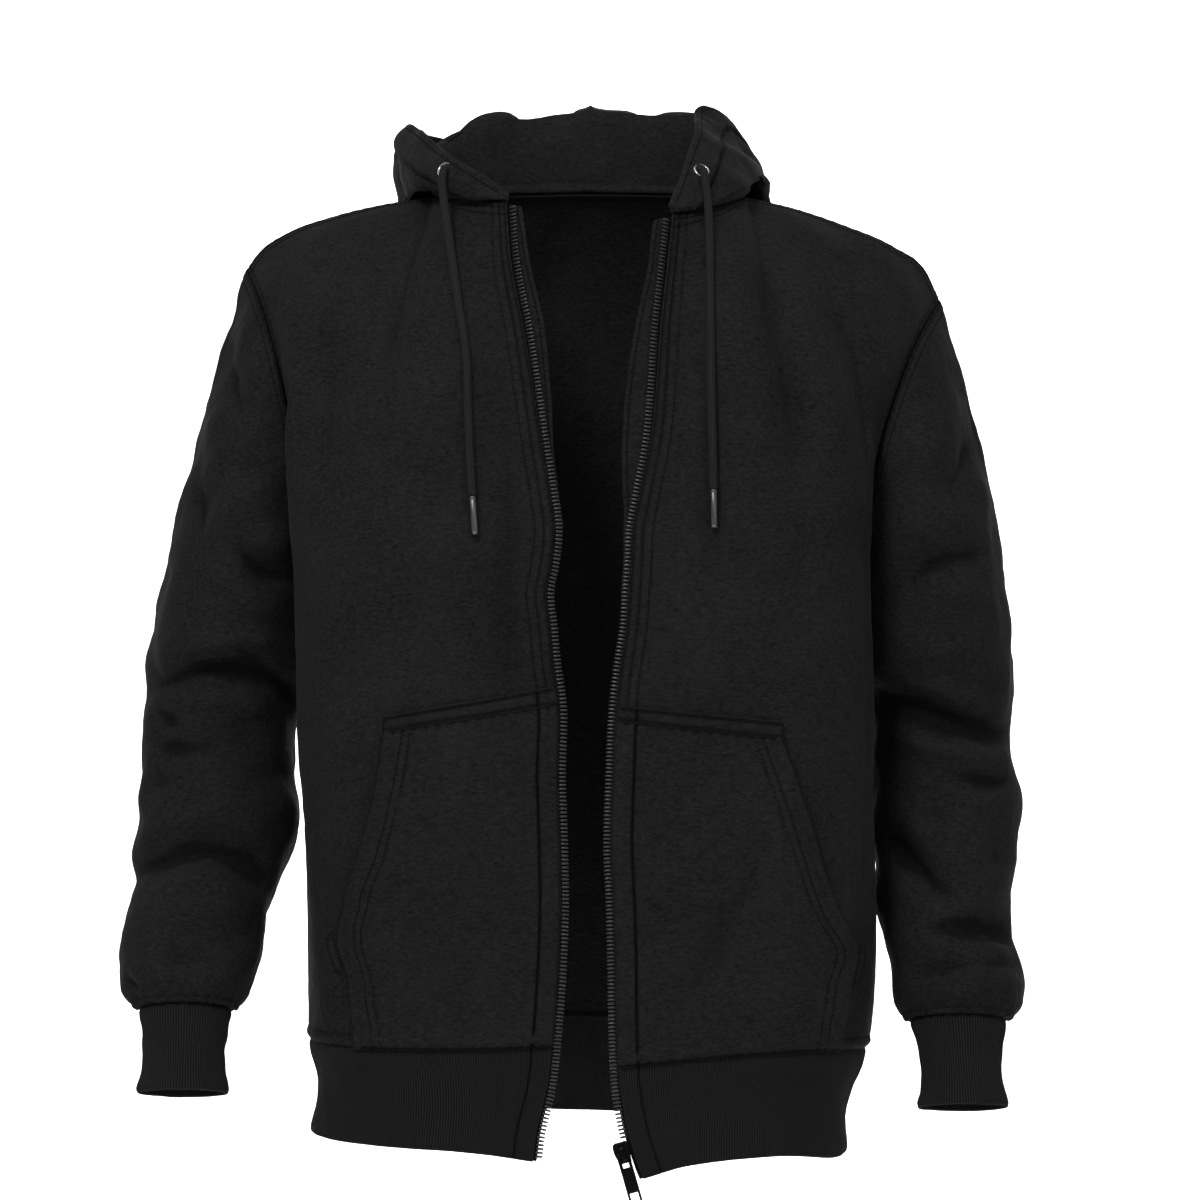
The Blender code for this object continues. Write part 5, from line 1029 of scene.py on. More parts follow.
def from_border(grid, border):
    """A grid turned so that its first row is the given border.

    Borders are first_row, last_row, first_column and last_column.
    """
    if border == "last_row":
        return grid[::-1]
    if border == "first_column":
        return np.swapaxes(grid, 0, 1)
    if border == "last_column":
        return np.swapaxes(grid[:, ::-1], 0, 1)
    return grid


def to_grid(turned, border):
    """The reverse of from_border."""
    if border == "last_row":
        return turned[::-1]
    if border == "first_column":
        return np.swapaxes(turned, 0, 1)
    if border == "last_column":
        return np.swapaxes(turned, 0, 1)[:, ::-1]
    return turned


def lengths(points, axis):
    """Lengths along a grid's columns (axis 0) or rows (axis 1), from where they start."""
    steps = np.linalg.norm(np.diff(points, axis=axis), axis=-1)
    start = np.zeros_like(np.take(steps, [0], axis=axis))
    return np.concatenate([start, np.cumsum(steps, axis=axis)], axis=axis)


def distance_from(points, border):
    """How far each point of a grid lies from a border, along the cloth."""
    return to_grid(lengths(from_border(points, border), 0), border)


def run_along(points, border):
    """How far along a border each point of a grid lies."""
    return to_grid(lengths(from_border(points, border), 1), border)


def line_at(grid, points, border, distance):
    """A grid's values on the line at a distance from a border, one for each row or column."""
    turned, values = from_border(points, border), from_border(grid, border)
    reach = lengths(turned, 0)
    i = np.clip((reach <= distance).sum(axis=0) - 1, 0, len(turned) - 2)
    columns = np.arange(turned.shape[1])
    low, high = reach[i, columns], reach[i + 1, columns]
    t = np.clip((distance - low) / np.maximum(high - low, 1e-9), 0.0, 1.0)[:, None]
    return values[i, columns] * (1.0 - t) + values[i + 1, columns] * t


def sew(points, out, seams, rows, depth=0.0011, rolls=(), grooves=()):
    """Work seams and stitched rows into a grid of points, and paint shade by how deep each lies.

    seams are borders that are sewn to another piece. rows are (border, distance) pairs of
    lines pressed in by stitches, rolls of raised padded lines, and grooves of deep lines.
    """
    rise = np.zeros(points.shape[:2])
    for border, distance in rolls:
        away = distance_from(points, border)
        rise += 0.0013 * ridge(away - distance, 0.0026)
    for border, distance in grooves:
        away = distance_from(points, border)
        rise -= 0.0010 * ridge(away - distance, 0.0010)
    for border in seams:
        away, along = distance_from(points, border), run_along(points, border)
        rise -= depth * ridge(away, 0.0018)
        beat = np.sin(2.0 * math.pi * along / 0.0085 + 2.5 * np.sin(along / 0.021))
        rise += 0.00022 * beat * ridge(away, 0.0060)
    for border, distance in rows:
        away = distance_from(points, border)
        rise -= 0.00030 * ridge(away - distance, 0.0009)
        rise += 0.00018 * ridge(away - distance + 0.0024, 0.0016)
    return points + out * rise[..., None], np.clip(-rise / FULL_SHADE_DEPTH, 0.0, 1.0)


def trough(points, out, tube=False, reach=6, depth=0.0016, share=0.6):
    """Painted shade in a grid's troughs: how far each point lies below the cloth round it, from 0
    to a share.
    """
    mean = points
    for axis in (0, 1):
        ends = [(reach + 1, reach) if k == axis else (0, 0) for k in range(3)]
        wide = np.pad(mean, ends, mode="wrap" if tube and axis == 1 else "edge")
        total = np.moveaxis(np.cumsum(wide, axis=axis), axis, 0)
        step = 2 * reach + 1
        mean = np.moveaxis((total[step:] - total[:-step]) / step, 0, axis)
    deep = np.einsum("ijk,ijk->ij", mean - points, out)
    return share * np.clip(deep / depth, 0.0, 1.0)


def edge_shadow(points, borders, share=0.85, width=0.0013):
    """Painted shadow along some borders of a grid: 1 scaled by a share there, and 0 away from them.
    """
    mask = np.zeros(points.shape[:2])
    for border in borders:
        near = ridge(distance_from(points, border), width)
        mask = np.maximum(mask, share * near)
    return mask


# ---------------------------------------------------------------------------- meshes


def mesh_from(name, verts, faces):
    """A mesh from points and arrays of faces, facing out."""
    verts = np.ascontiguousarray(verts, float)
    volume = 0.0
    for part in faces:
        for k in range(1, part.shape[1] - 1):
            a, b, c = verts[part[:, 0]], verts[part[:, k]], verts[part[:, k + 1]]
            volume += np.einsum("ij,ij->", a, np.cross(b, c))
    if volume < 0.0:
        faces = [part[:, ::-1] for part in faces]
    sizes = np.concatenate([np.full(len(part), part.shape[1]) for part in faces])
    corners = np.concatenate([part.ravel() for part in faces]).astype(np.int32)
    starts = np.concatenate([[0], np.cumsum(sizes)[:-1]]).astype(np.int32)
    data = bpy.data.meshes.new(name)
    data.vertices.add(len(verts))
    data.vertices.foreach_set("co", verts.ravel())
    data.loops.add(len(corners))
    data.loops.foreach_set("vertex_index", corners)
    data.polygons.add(len(sizes))
    data.polygons.foreach_set("loop_start", starts)
    data.update(calc_edges=True)
    data.shade_smooth()
    return data


def add_piece(name, data, finish, body=GARMENT, replaces=()):
    """Put a mesh into the scene as a piece that rides on a body and has a finish."""
    piece = bpy.data.objects.new(name, data)
    bpy.context.scene.collection.objects.link(piece)
    data.materials.clear()
    data.materials.append(bpy.data.materials[f"{finish}_finish"])
    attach(piece, body)
    if replaces:
        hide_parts(*replaces)
    return piece


def wall_mesh(name, outer, inner, tube):
    """A closed wall between two grids of points, with rounded edges all round.

    The grids have an odd number of rows, and the inner skin keeps every other one.
    """
    rows, columns = outer.shape[:2]
    kept = (rows + 1) // 2
    angles = np.radians([45.0, 90.0, 135.0])[:, None, None]

    def rim(o, i, heading):
        middle, half = 0.5 * (o + i), 0.5 * (o - i)
        reach = np.linalg.norm(half, axis=-1, keepdims=True)
        return middle + half * np.cos(angles) + heading * reach * np.sin(angles)

    top = rim(outer[-1], inner[-1], unit(outer[-1] - outer[-2]))
    foot = rim(inner[0], outer[0], unit(outer[0] - outer[1]))
    loop = np.concatenate([outer, top, inner[::-2], foot])
    count = len(loop)
    index = np.arange(count * columns).reshape(count, columns)
    below = np.roll(index, -1, axis=0)
    if tube:
        right, right_below = np.roll(index, -1, axis=1), np.roll(below, -1, axis=1)
    else:
        index, right = index[:, :-1], index[:, 1:]
        right_below, below = below[:, 1:], below[:, :-1]
    faces = [np.stack([index, right, right_below, below], axis=-1).reshape(-1, 4)]
    verts = [loop.reshape(-1, 3)]
    if not tube:
        first = count * columns
        for column, beside in ((0, 1), (-1, -2)):
            heading = unit(outer[:, column] - outer[:, beside])
            side = np.swapaxes(rim(outer[:, column], inner[:, column], heading), 0, 1)
            at = column % columns
            places = np.arange(rows)
            grid = np.zeros((rows, 5), int)
            grid[:, 0] = places * columns + at
            grid[:, 4] = (rows + 2 + kept - places // 2) * columns + at
            grid[1:-1, 1:4] = first + np.arange(3 * (rows - 2)).reshape(rows - 2, 3)
            grid[-1, 1:4] = (rows + np.arange(3)) * columns + at
            grid[0, 1:4] = (rows + kept + 5 - np.arange(3)) * columns + at
            verts.append(side[1:-1].reshape(-1, 3))
            first += 3 * (rows - 2)
            a, b, c, d = grid[:-1, :-2], grid[1:, :-2], grid[1:, 1:-1], grid[:-1, 1:-1]
            quads = np.stack([a, b, c, d], axis=-1).reshape(-1, 4)
            beside = grid[:, 3]
            joins = [beside[:-2:2], beside[1:-1:2], beside[2::2], grid[2::2, 4], grid[:-2:2, 4]]
            for part in (quads, np.stack(joins, axis=-1)):
                faces.append(part if column == 0 else part[:, ::-1])
    return mesh_from(name, np.concatenate(verts), faces)


def tube_mesh(name, loops, capped=True):
    """A closed skin through rings of points, capped at both ends."""
    count, around = loops.shape[:2]
    index = np.arange(count * around).reshape(count, around)
    right = np.roll(index, -1, axis=1)
    quads = np.stack([index[:-1], right[:-1], right[1:], index[1:]], axis=-1).reshape(-1, 4)
    verts = [loops.reshape(-1, 3), loops[:1].mean(axis=1), loops[-1:].mean(axis=1)]
    ends = count * around
    first = np.stack([right[0], index[0], np.full(around, ends)], axis=-1)
    last = np.stack([index[-1], right[-1], np.full(around, ends + 1)], axis=-1)
    return mesh_from(name, np.concatenate(verts), [quads, first, last])


def lathe_rings(profile, place, axis, around):
    """Rings of a turned form: profile rows are (radius, along the axis)."""
    turn = axis.to_track_quat("Z", "Y").to_matrix()
    x, y, z = (np.array(turn.col[k]) for k in range(3))
    angle = np.linspace(0.0, 2.0 * math.pi, around, endpoint=False)
    round_way = np.cos(angle)[:, None] * x + np.sin(angle)[:, None] * y
    rings = [np.array(place) + radius * round_way + along * z for radius, along in profile]
    return np.stack(rings)


def ring_mesh(name, rings):
    """A skin through rings that closes on its first ring again."""
    count, around = rings.shape[:2]
    index = np.arange(count * around).reshape(count, around)
    right, below = np.roll(index, -1, axis=1), np.roll(index, -1, axis=0)
    quads = np.stack([index, right, np.roll(right, -1, axis=0), below], axis=-1)
    return mesh_from(name, rings.reshape(-1, 3), [quads.reshape(-1, 4)])


def repeated_mesh(name, verts, faces, places, axes):
    """A copy of a small form at every place, turned to that place's own axes."""
    spread = np.einsum("vk,nkj->nvj", verts, axes) + places[:, None, :]
    shift = (np.arange(len(places)) * len(verts))[:, None, None]
    many = [(part[None] + shift).reshape(-1, part.shape[1]) for part in faces]
    return mesh_from(name, spread.reshape(-1, 3), many)


def resample(points, normals, pitch, start=0.5):
    """Places, headings and normals at an even pitch along a line."""
    reach = np.concatenate([[0.0], np.cumsum(np.linalg.norm(np.diff(points, axis=0), axis=1))])
    at = np.arange(pitch * start, reach[-1], pitch)
    places = np.stack([np.interp(at, reach, points[:, k]) for k in range(3)], axis=1)
    out = np.stack([np.interp(at, reach, normals[:, k]) for k in range(3)], axis=1)
    ahead = np.stack([np.interp(at + 0.2 * pitch, reach, points[:, k]) for k in range(3)], axis=1)
    behind = np.stack([np.interp(at - 0.2 * pitch, reach, points[:, k]) for k in range(3)], axis=1)
    heading = unit(ahead - behind)
    out = unit(out - heading * np.sum(out * heading, axis=1, keepdims=True))
    return places, heading, out


# How much of its pitch a stitch fills, and how far it lies over the cloth.
STITCH_SHARE = 0.66
STITCH_LIFT = 0.00008


def stitch_form(length, radius):
    """One stitch: a short thread, thin at both ends where it goes into the cloth."""
    ring = [(0.0, radius, 0.0), (0.0, 0.0, radius), (0.0, -radius, 0.0), (0.0, 0.0, -radius)]
    verts = [(-0.5 * length, 0.0, -0.6 * radius)]
    verts += [(-0.28 * length, y, z) for _, y, z in ring]
    verts += [(0.28 * length, y, z) for _, y, z in ring]
    verts += [(0.5 * length, 0.0, -0.6 * radius)]
    quads = [(1 + k, 1 + (k + 1) % 4, 5 + (k + 1) % 4, 5 + k) for k in range(4)]
    tips = [(0, 1 + (k + 1) % 4, 1 + k) for k in range(4)]
    tips += [(9, 5 + k, 5 + (k + 1) % 4) for k in range(4)]
    return np.array(verts), [np.array(quads), np.array(tips)]


def make_stitches(name, points, out, rows):
    """Lines of stitches along a grid, from (border, distance) pairs or (border, distance, span)."""
    sizes = bpy.context.scene.hoodie_sizes
    parts = []
    for border, distance, *span in rows:
        line = line_at(points, points, border, distance)
        normal = line_at(out, points, border, distance)
        low, high = span[0] if span else (0.0, 1.0)
        keep = slice(int(low * len(line)), max(int(high * len(line)), 2))
        parts.append(resample(line[keep], normal[keep], sizes.stitch_pitch))
    places, heading, out = (np.concatenate(part) for part in zip(*parts))
    axes = np.stack([heading, np.cross(out, heading), out], axis=1)
    verts, faces = stitch_form(STITCH_SHARE * sizes.stitch_pitch, sizes.thread_radius)
    data = repeated_mesh(name, verts, faces, places + out * STITCH_LIFT, axes)
    return add_piece(name, data, "thread")


def store_painted_shade(data, hollow):
    """Store a wall's painted shade on its outer points, for its finish to darken the colour there.
    """
    values = np.zeros(len(data.vertices), np.float32)
    values[: hollow.size] = hollow.ravel()
    data.attributes.new("hollow", "FLOAT", "POINT").data.foreach_set("value", values)


def cloth_piece(name, points, out, hollow, cloth, node, tube=False, finish="fleece"):
    """A wall of cloth behind a grid of points, standing for its solid."""
    data = wall_mesh(name, points, points - out * cloth, tube)
    store_painted_shade(data, hollow)
    return add_piece(name, data, finish, replaces=[node])


# ---------------------------------------------------------------------------- finishes


def add_node(tree, kind, values=(), **settings):
    """A node with its settings and socket values."""
    node = tree.nodes.new(kind)
    for key, value in settings.items():
        setattr(node, key, value)
    for key, value in values:
        node.inputs[key].default_value = value
    return node


def join(tree, *links):
    """Link sockets, from rows of a node and its output, and a node and its input."""
    for source, output, target, entry in links:
        tree.links.new(source.outputs[output], target.inputs[entry])


def noise(tree, **values):
    """A noise texture with its socket values."""
    return add_node(tree, "ShaderNodeTexNoise", values.items())


def mixed(tree, factor):
    """A mix of two even values."""
    return add_node(tree, "ShaderNodeMix", [("Factor", factor)], data_type="FLOAT")


def new_group(name, inputs, *outputs):
    """A node group with float sockets: its tree, its two ends, and the object's own places."""
    group = bpy.data.node_groups.new(name, "ShaderNodeTree")
    for label, value in inputs:
        socket = group.interface.new_socket(label, in_out="INPUT", socket_type="NodeSocketFloat")
        socket.default_value = value
    for label in outputs:
        group.interface.new_socket(label, in_out="OUTPUT", socket_type="NodeSocketFloat")
    ends = ("NodeGroupInput", "NodeGroupOutput", "ShaderNodeTexCoord")
    return group, *(group.nodes.new(kind) for kind in ends)


def make_fuzz_group():
    """Brushed cotton: soft blotches, fine fibres, their relief, and small soft wrinkles."""
    inputs = [("Blotch scale", 18.0), ("Fibre scale", 560.0)]
    group, source, target, place = new_group(
        "brushed_cotton", inputs, "Shade", "Relief", "Wrinkle"
    )
    stretch = add_node(group, "ShaderNodeMapping", [("Scale", (0.45, 0.8, 1.0))])
    blotch = noise(group, Detail=4.0, Roughness=0.6)
    fibre = noise(group, Detail=2.0, Roughness=0.6, Distortion=0.6)
    middle = noise(group, Scale=260.0, Detail=2.0)
    wrinkle = noise(group, Scale=34.0, Detail=3.0, Distortion=0.9)
    shade, relief = mixed(group, 0.75), mixed(group, 0.6)
    for texture in (wrinkle, stretch, blotch, middle):
        join(group, (place, "Object", texture, "Vector"))
    join(
        group,
        (stretch, "Vector", fibre, "Vector"),
        (source, "Blotch scale", blotch, "Scale"),
        (source, "Fibre scale", fibre, "Scale"),
        (blotch, "Fac", shade, "A"),
        (fibre, "Fac", shade, "B"),
        (middle, "Fac", relief, "A"),
        (fibre, "Fac", relief, "B"),
        (shade, "Result", target, "Shade"),
        (relief, "Result", target, "Relief"),
        (wrinkle, "Fac", target, "Wrinkle"),
    )
    return group


def make_yarn_group():
    """Fine yarn: rows of loops across the cloth, with their relief."""
    inputs = [("Row scale", 420.0), ("Twist", 3.0)]
    group, source, target, place = new_group("yarn_rows", inputs, "Shade", "Relief")
    rows = add_node(
        group, "ShaderNodeTexWave", [("Detail", 2.0), ("Detail Scale", 2.0)],
        wave_type="BANDS", bands_direction="Z", wave_profile="SIN",
    )
    fibre = noise(group, Scale=1100.0, Detail=2.0)
    shade = mixed(group, 0.35)
    join(
        group,
        (place, "Object", rows, "Vector"),
        (place, "Object", fibre, "Vector"),
        (source, "Row scale", rows, "Scale"),
        (source, "Twist", rows, "Distortion"),
        (rows, "Fac", shade, "A"),
        (fibre, "Fac", shade, "B"),
        (shade, "Result", target, "Shade"),
        (shade, "Result", target, "Relief"),
    )
    return group


def make_wear_group():
    """Rubbed and plated metal: fine scratches and soft patches."""
    inputs = [("Patch scale", 160.0), ("Scratch scale", 1400.0)]
    group, source, target, place = new_group("plated_metal", inputs, "Shade", "Relief")
    stretch = add_node(group, "ShaderNodeMapping", [("Scale", (1.0, 1.0, 0.08))])
    patch = noise(group, Detail=3.0)
    scratch = noise(group, Detail=4.0, Roughness=0.7)
    shade = mixed(group, 0.5)
    join(
        group,
        (place, "Object", stretch, "Vector"),
        (place, "Object", patch, "Vector"),
        (stretch, "Vector", scratch, "Vector"),
        (source, "Patch scale", patch, "Scale"),
        (source, "Scratch scale", scratch, "Scale"),
        (patch, "Fac", shade, "A"),
        (scratch, "Fac", shade, "B"),
        (shade, "Result", target, "Shade"),
        (shade, "Result", target, "Relief"),
    )
    return group


# A Mix node's colour sockets: what it mixes, and its result. Its factor is socket 0.
MIX_A, MIX_B, MIX_RESULT = 6, 7, 2

# How much of the colour is left under the deepest painted shade, and how deep soft wrinkles are.
DEEPEST_PAINTED_SHADE = 0.22
WRINKLE_DEPTH = 0.0016


def make_finish(name, colour, group, values, look, relief, spread):
    """A finish: one surface group gives its shade, roughness and relief.

    look holds the shader's own even values, relief is (strength, depth), and spread is how far
    the shade goes below and above the colour, and the roughness at both ends.
    """
    made = bpy.data.materials.new(f"{name}_finish")
    made.use_nodes = True
    tree = made.node_tree
    shader = tree.nodes["Principled BSDF"]
    for key, value in look.items():
        shader.inputs[key].default_value = value
    grain = add_node(tree, "ShaderNodeGroup", node_tree=group)
    for key, value in values.items():
        grain.inputs[key].default_value = value
    low, high, smoothest, roughest = spread
    # dark and light bound the cloth's own tone; deep is the colour under the deepest painted shade.
    dark, light, deep = ([c * share for c in colour] + [1.0] for share in (low, high, DEEPEST_PAINTED_SHADE))
    ramp = add_node(tree, "ShaderNodeMix", data_type="RGBA")
    ramp.inputs[MIX_A].default_value = dark
    ramp.inputs[MIX_B].default_value = light
    shade = add_node(tree, "ShaderNodeMix", data_type="RGBA")
    shade.inputs[MIX_B].default_value = deep
    rough = add_node(tree, "ShaderNodeMapRange", [("To Min", smoothest), ("To Max", roughest)])
    steeper = add_node(tree, "ShaderNodeMapRange", [("From Min", 0.3), ("From Max", 0.7)])
    bump = add_node(tree, "ShaderNodeBump", [("Strength", relief[0]), ("Distance", relief[1])])
    # The painted shade stored on the points darkens the colour towards deep.
    depth = add_node(tree, "ShaderNodeAttribute", attribute_name="hollow")
    join(
        tree,
        (grain, "Shade", steeper, "Value"),
        (steeper, "Result", ramp, 0),
        (steeper, "Result", rough, "Value"),
        (depth, "Fac", shade, 0),
        (ramp, MIX_RESULT, shade, MIX_A),
        (shade, MIX_RESULT, shader, "Base Color"),
        (rough, "Result", shader, "Roughness"),
        (grain, "Relief", bump, "Height"),
        (bump, "Normal", shader, "Normal"),
    )
    if "Wrinkle" in grain.outputs:
        soft = add_node(tree, "ShaderNodeBump", [("Strength", 1.0), ("Distance", WRINKLE_DEPTH)])
        join(tree, (grain, "Wrinkle", soft, "Height"), (soft, "Normal", bump, "Normal"))
    made.diffuse_color = (*colour, 1.0)
    return made


CLOTH_LOOK = {"Specular IOR Level": 0.07, "Sheen Weight": 0.028, "Sheen Roughness": 0.4}
RIB_LOOK = {"Specular IOR Level": 0.08, "Sheen Weight": 0.016, "Sheen Roughness": 0.5}
TEETH_LOOK = {"Specular IOR Level": 0.9}
METAL_LOOK = {"Metallic": 1.0}
DARK_METAL = ("plate", {}, METAL_LOOK, (0.08, 0.0001), (0.8, 1.25, 0.26, 0.44))

# Each finish's surface group and its values there, then its look, relief and spread.
FINISHES = {
    "fleece": ("cotton", {}, CLOTH_LOOK, (0.5, 0.0006), (0.50, 1.55, 0.82, 0.97)),
    "rib": (
        "yarn", {"Row scale": 330.0, "Twist": 4.0}, RIB_LOOK, (0.5, 0.0005), (0.70, 1.32, 0.8, 0.95)
    ),
    "tape": (
        "yarn", {"Row scale": 520.0, "Twist": 1.0}, RIB_LOOK, (0.4, 0.0003), (0.7, 1.3, 0.65, 0.85)
    ),
    "thread": (
        "yarn", {"Row scale": 900.0, "Twist": 2.0}, RIB_LOOK, (0.3, 0.0002), (0.8, 1.3, 0.55, 0.75)
    ),
    "cord": (
        "yarn", {"Row scale": 480.0, "Twist": 2.0}, RIB_LOOK, (0.5, 0.0004), (0.7, 1.35, 0.75, 0.92)
    ),
    "teeth": ("plate", {"Patch scale": 300.0}, TEETH_LOOK, (0.12, 0.0002), (0.85, 1.2, 0.22, 0.36)),
    "polished": ("plate", {}, METAL_LOOK, (0.03, 0.0001), (0.92, 1.04, 0.10, 0.24)),
    "gunmetal": DARK_METAL,
    "black_metal": DARK_METAL,
}


def make_finishes():
    """All finishes of the garment, from its colours."""
    colours = bpy.context.scene.hoodie_finish
    groups = {"cotton": make_fuzz_group(), "yarn": make_yarn_group(), "plate": make_wear_group()}
    for name, (group, *facts) in FINISHES.items():
        make_finish(name, getattr(colours, name), groups[group], *facts)


# ---------------------------------------------------------------------------- settings


def colour_property(name, description, default):
    """A colour that a user can change."""
    return FloatVectorProperty(
        name=name, description=description, default=default, min=0.0, max=1.0, size=3,
        subtype="COLOR",
    )


def length_property(name, description, default):
    """A length in metres that a user can change."""
    return FloatProperty(
        name=name, description=description, default=default, min=0.0, unit="LENGTH", precision=5
    )


class HoodieSizes(bpy.types.PropertyGroup):
    """Sizes of the fine work on the garment."""

    stitch_pitch: length_property("Stitch pitch", "From one stitch to the next", 0.0032)
    thread_radius: length_property("Thread radius", "Half the thickness of a stitch", 0.00038)
    tooth_pitch: length_property("Tooth pitch", "From one zip tooth to the next", 0.0028)
    hem_rib: length_property("Hem rib pitch", "From one rib of the hem to the next", 0.0018)
    cuff_rib: length_property("Cuff rib pitch", "From one rib of a cuff to the next", 0.0021)
    rib_height: length_property("Rib height", "How far a rib stands over its valleys", 0.00075)
    seam_depth: length_property("Seam depth", "How deep a seam draws the cloth in", 0.0012)
    puff: length_property("Pocket puff", "How far a pocket stands off the front", POCKET_PUFF)


class HoodieFinish(bpy.types.PropertyGroup):
    """Colours of the garment and its trim."""

    fleece: colour_property("Fleece", "Brushed cotton of the panels", (0.0250, 0.0250, 0.0257))
    rib: colour_property("Rib", "Rib knit of the cuffs and the hem", (0.0370, 0.0370, 0.0380))
    tape: colour_property("Tape", "Woven zip tape", (0.0080, 0.0080, 0.0084))
    thread: colour_property("Thread", "Sewing thread", (0.0035, 0.0035, 0.0037))
    cord: colour_property("Cord", "Knitted drawcord", (0.046, 0.046, 0.047))
    teeth: colour_property("Teeth", "Moulded zip teeth", (0.050, 0.050, 0.052))
    polished: colour_property("Eyelets", "Polished metal", (0.80, 0.79, 0.77))
    gunmetal: colour_property("Dark metal", "Tips of the drawcord", (0.24, 0.24, 0.25))
    black_metal: colour_property("Black metal", "Slider and pull tab", (0.020, 0.020, 0.021))


# ---------------------------------------------------------------------------- body


# Seeds of the uneven waves in each piece's cloth.
SEEDS = {
    "front_left": 11, "front_right": 23, "back": 37, "sleeve_left": 51, "sleeve_right": 67,
    "cuff": 81, "hem": 91, "hood_left": 103, "hood_right": 117, "hood_dents": 131,
}


def front_skin(side, u, v):
    """A front with its folds and the uneven surface of worn cloth."""
    u, v = same_shape(u, v)
    points = front_surface(side, u, v)
    out = front_normals(side, u, v)
    fade = smooth(u / 0.12) * smooth((1.0 - u) / 0.10) * border_fade(v / 2.0, 0.06)
    return points + out * (soft_cloth(points, SEEDS["front_" + SIDE_NAMES[side]]) * fade)[..., None]


def turned_edge(points, out, border, width, height):
    """Raise the folded edge strip along a border, with the groove of its stitched inner side."""
    away = distance_from(points, border)
    rise = height * smooth((width - away) / 0.0012) * np.ones(away.shape)
    rise -= 0.0006 * ridge(away - width - 0.0006, 0.0008)
    return rise


# How far the placket's stitches and the groove behind them lie from a front's zip edge.
PLACKET_STITCH, PLACKET_GROOVE = 0.0135, 0.0145


def make_front(side):
    """A front panel with its turned edge, placket stitching and seams."""
    name = SIDE_NAMES[side]
    sizes = bpy.context.scene.hoodie_sizes
    u = spaced(0.285, 0.0032, (0.017, 0.003))
    v = panel_v(spaced(0.635, 0.0034, (0.010, 0.016)))
    points = front_skin(side, *np.meshgrid(u, v))
    out = grid_out(points, False, side)
    stitched = [("first_column", PLACKET_STITCH), ("first_row", 0.0100)]
    stitched += [("last_row", 0.0045), ("last_row", 0.0105), ("last_column", 0.0040)]
    seams = ("first_row", "last_row", "last_column")
    rolls = [("first_row", 0.0055)]
    worked, hollow = sew(points, out, seams, stitched, sizes.seam_depth, rolls)
    above = smooth((v - 0.60) / 0.14)[:, None]
    edge = turned_edge(points, out, "first_column", 0.0058, 0.0007) * above
    away = distance_from(points, "first_column")
    placket = 0.0005 * smooth((PLACKET_STITCH - away) / 0.0010) * (1.0 - above)
    groove = ridge(away - PLACKET_GROOVE, 0.0010) * (1.0 - above)
    worked = worked + out * (edge + placket - 0.0010 * groove)[..., None]
    out = grid_out(worked, False, side)
    # Painted shade in the front's troughs and placket groove, and painted shadow lines along the
    # zip edge and the turned edge's inner side.
    hollow = np.maximum(hollow, trough(worked, out, share=0.28))
    fold = ridge(away, 0.0012) + 0.8 * ridge(away - 0.0066, 0.0009)
    hollow = np.maximum(np.maximum(hollow, 0.9 * groove), 0.9 * fold * above)
    panel = "front_panel_" + name
    piece = cloth_piece(panel, worked, out, hollow, BODY_CLOTH, "front_" + name)
    sewn = [("first_column", PLACKET_STITCH, (0.0, 0.72))] + stitched[1:]
    stitches = make_stitches("front_stitches_" + name, worked, out, sewn)
    return piece


def make_back():
    """The back panel."""
    sizes = bpy.context.scene.hoodie_sizes
    u = spaced(0.62, 0.0050, (0.003, 0.003))
    v = panel_v(spaced(0.635, 0.0048, (0.010, 0.014)))
    points = back_surface(*np.meshgrid(u, v))
    out = grid_out(points, False, -1)
    reach = np.minimum(distance_from(points, "first_column"), distance_from(points, "last_column"))
    fade = smooth(reach / 0.03) * smooth(distance_from(points, "first_row") / 0.03)
    fade = fade * smooth(distance_from(points, "last_row") / 0.03)
    points = points + out * (soft_cloth(points, SEEDS["back"]) * 1.3 * fade)[..., None]
    stitched = [("first_row", 0.0100), ("last_row", 0.0045), ("last_row", 0.0105)]
    seams = ("first_row", "last_row", "first_column", "last_column")
    rolls = [("first_row", 0.0055)]
    worked, hollow = sew(points, out, seams, stitched, sizes.seam_depth, rolls)
    out = grid_out(worked, False, -1)
    # Painted shade in the back's troughs.
    hollow = np.maximum(hollow, trough(worked, out, reach=4, share=0.15))
    piece = cloth_piece("back_panel", worked, out, hollow, BODY_CLOTH, "back")
    stitches = make_stitches("back_stitches", worked, out, stitched)


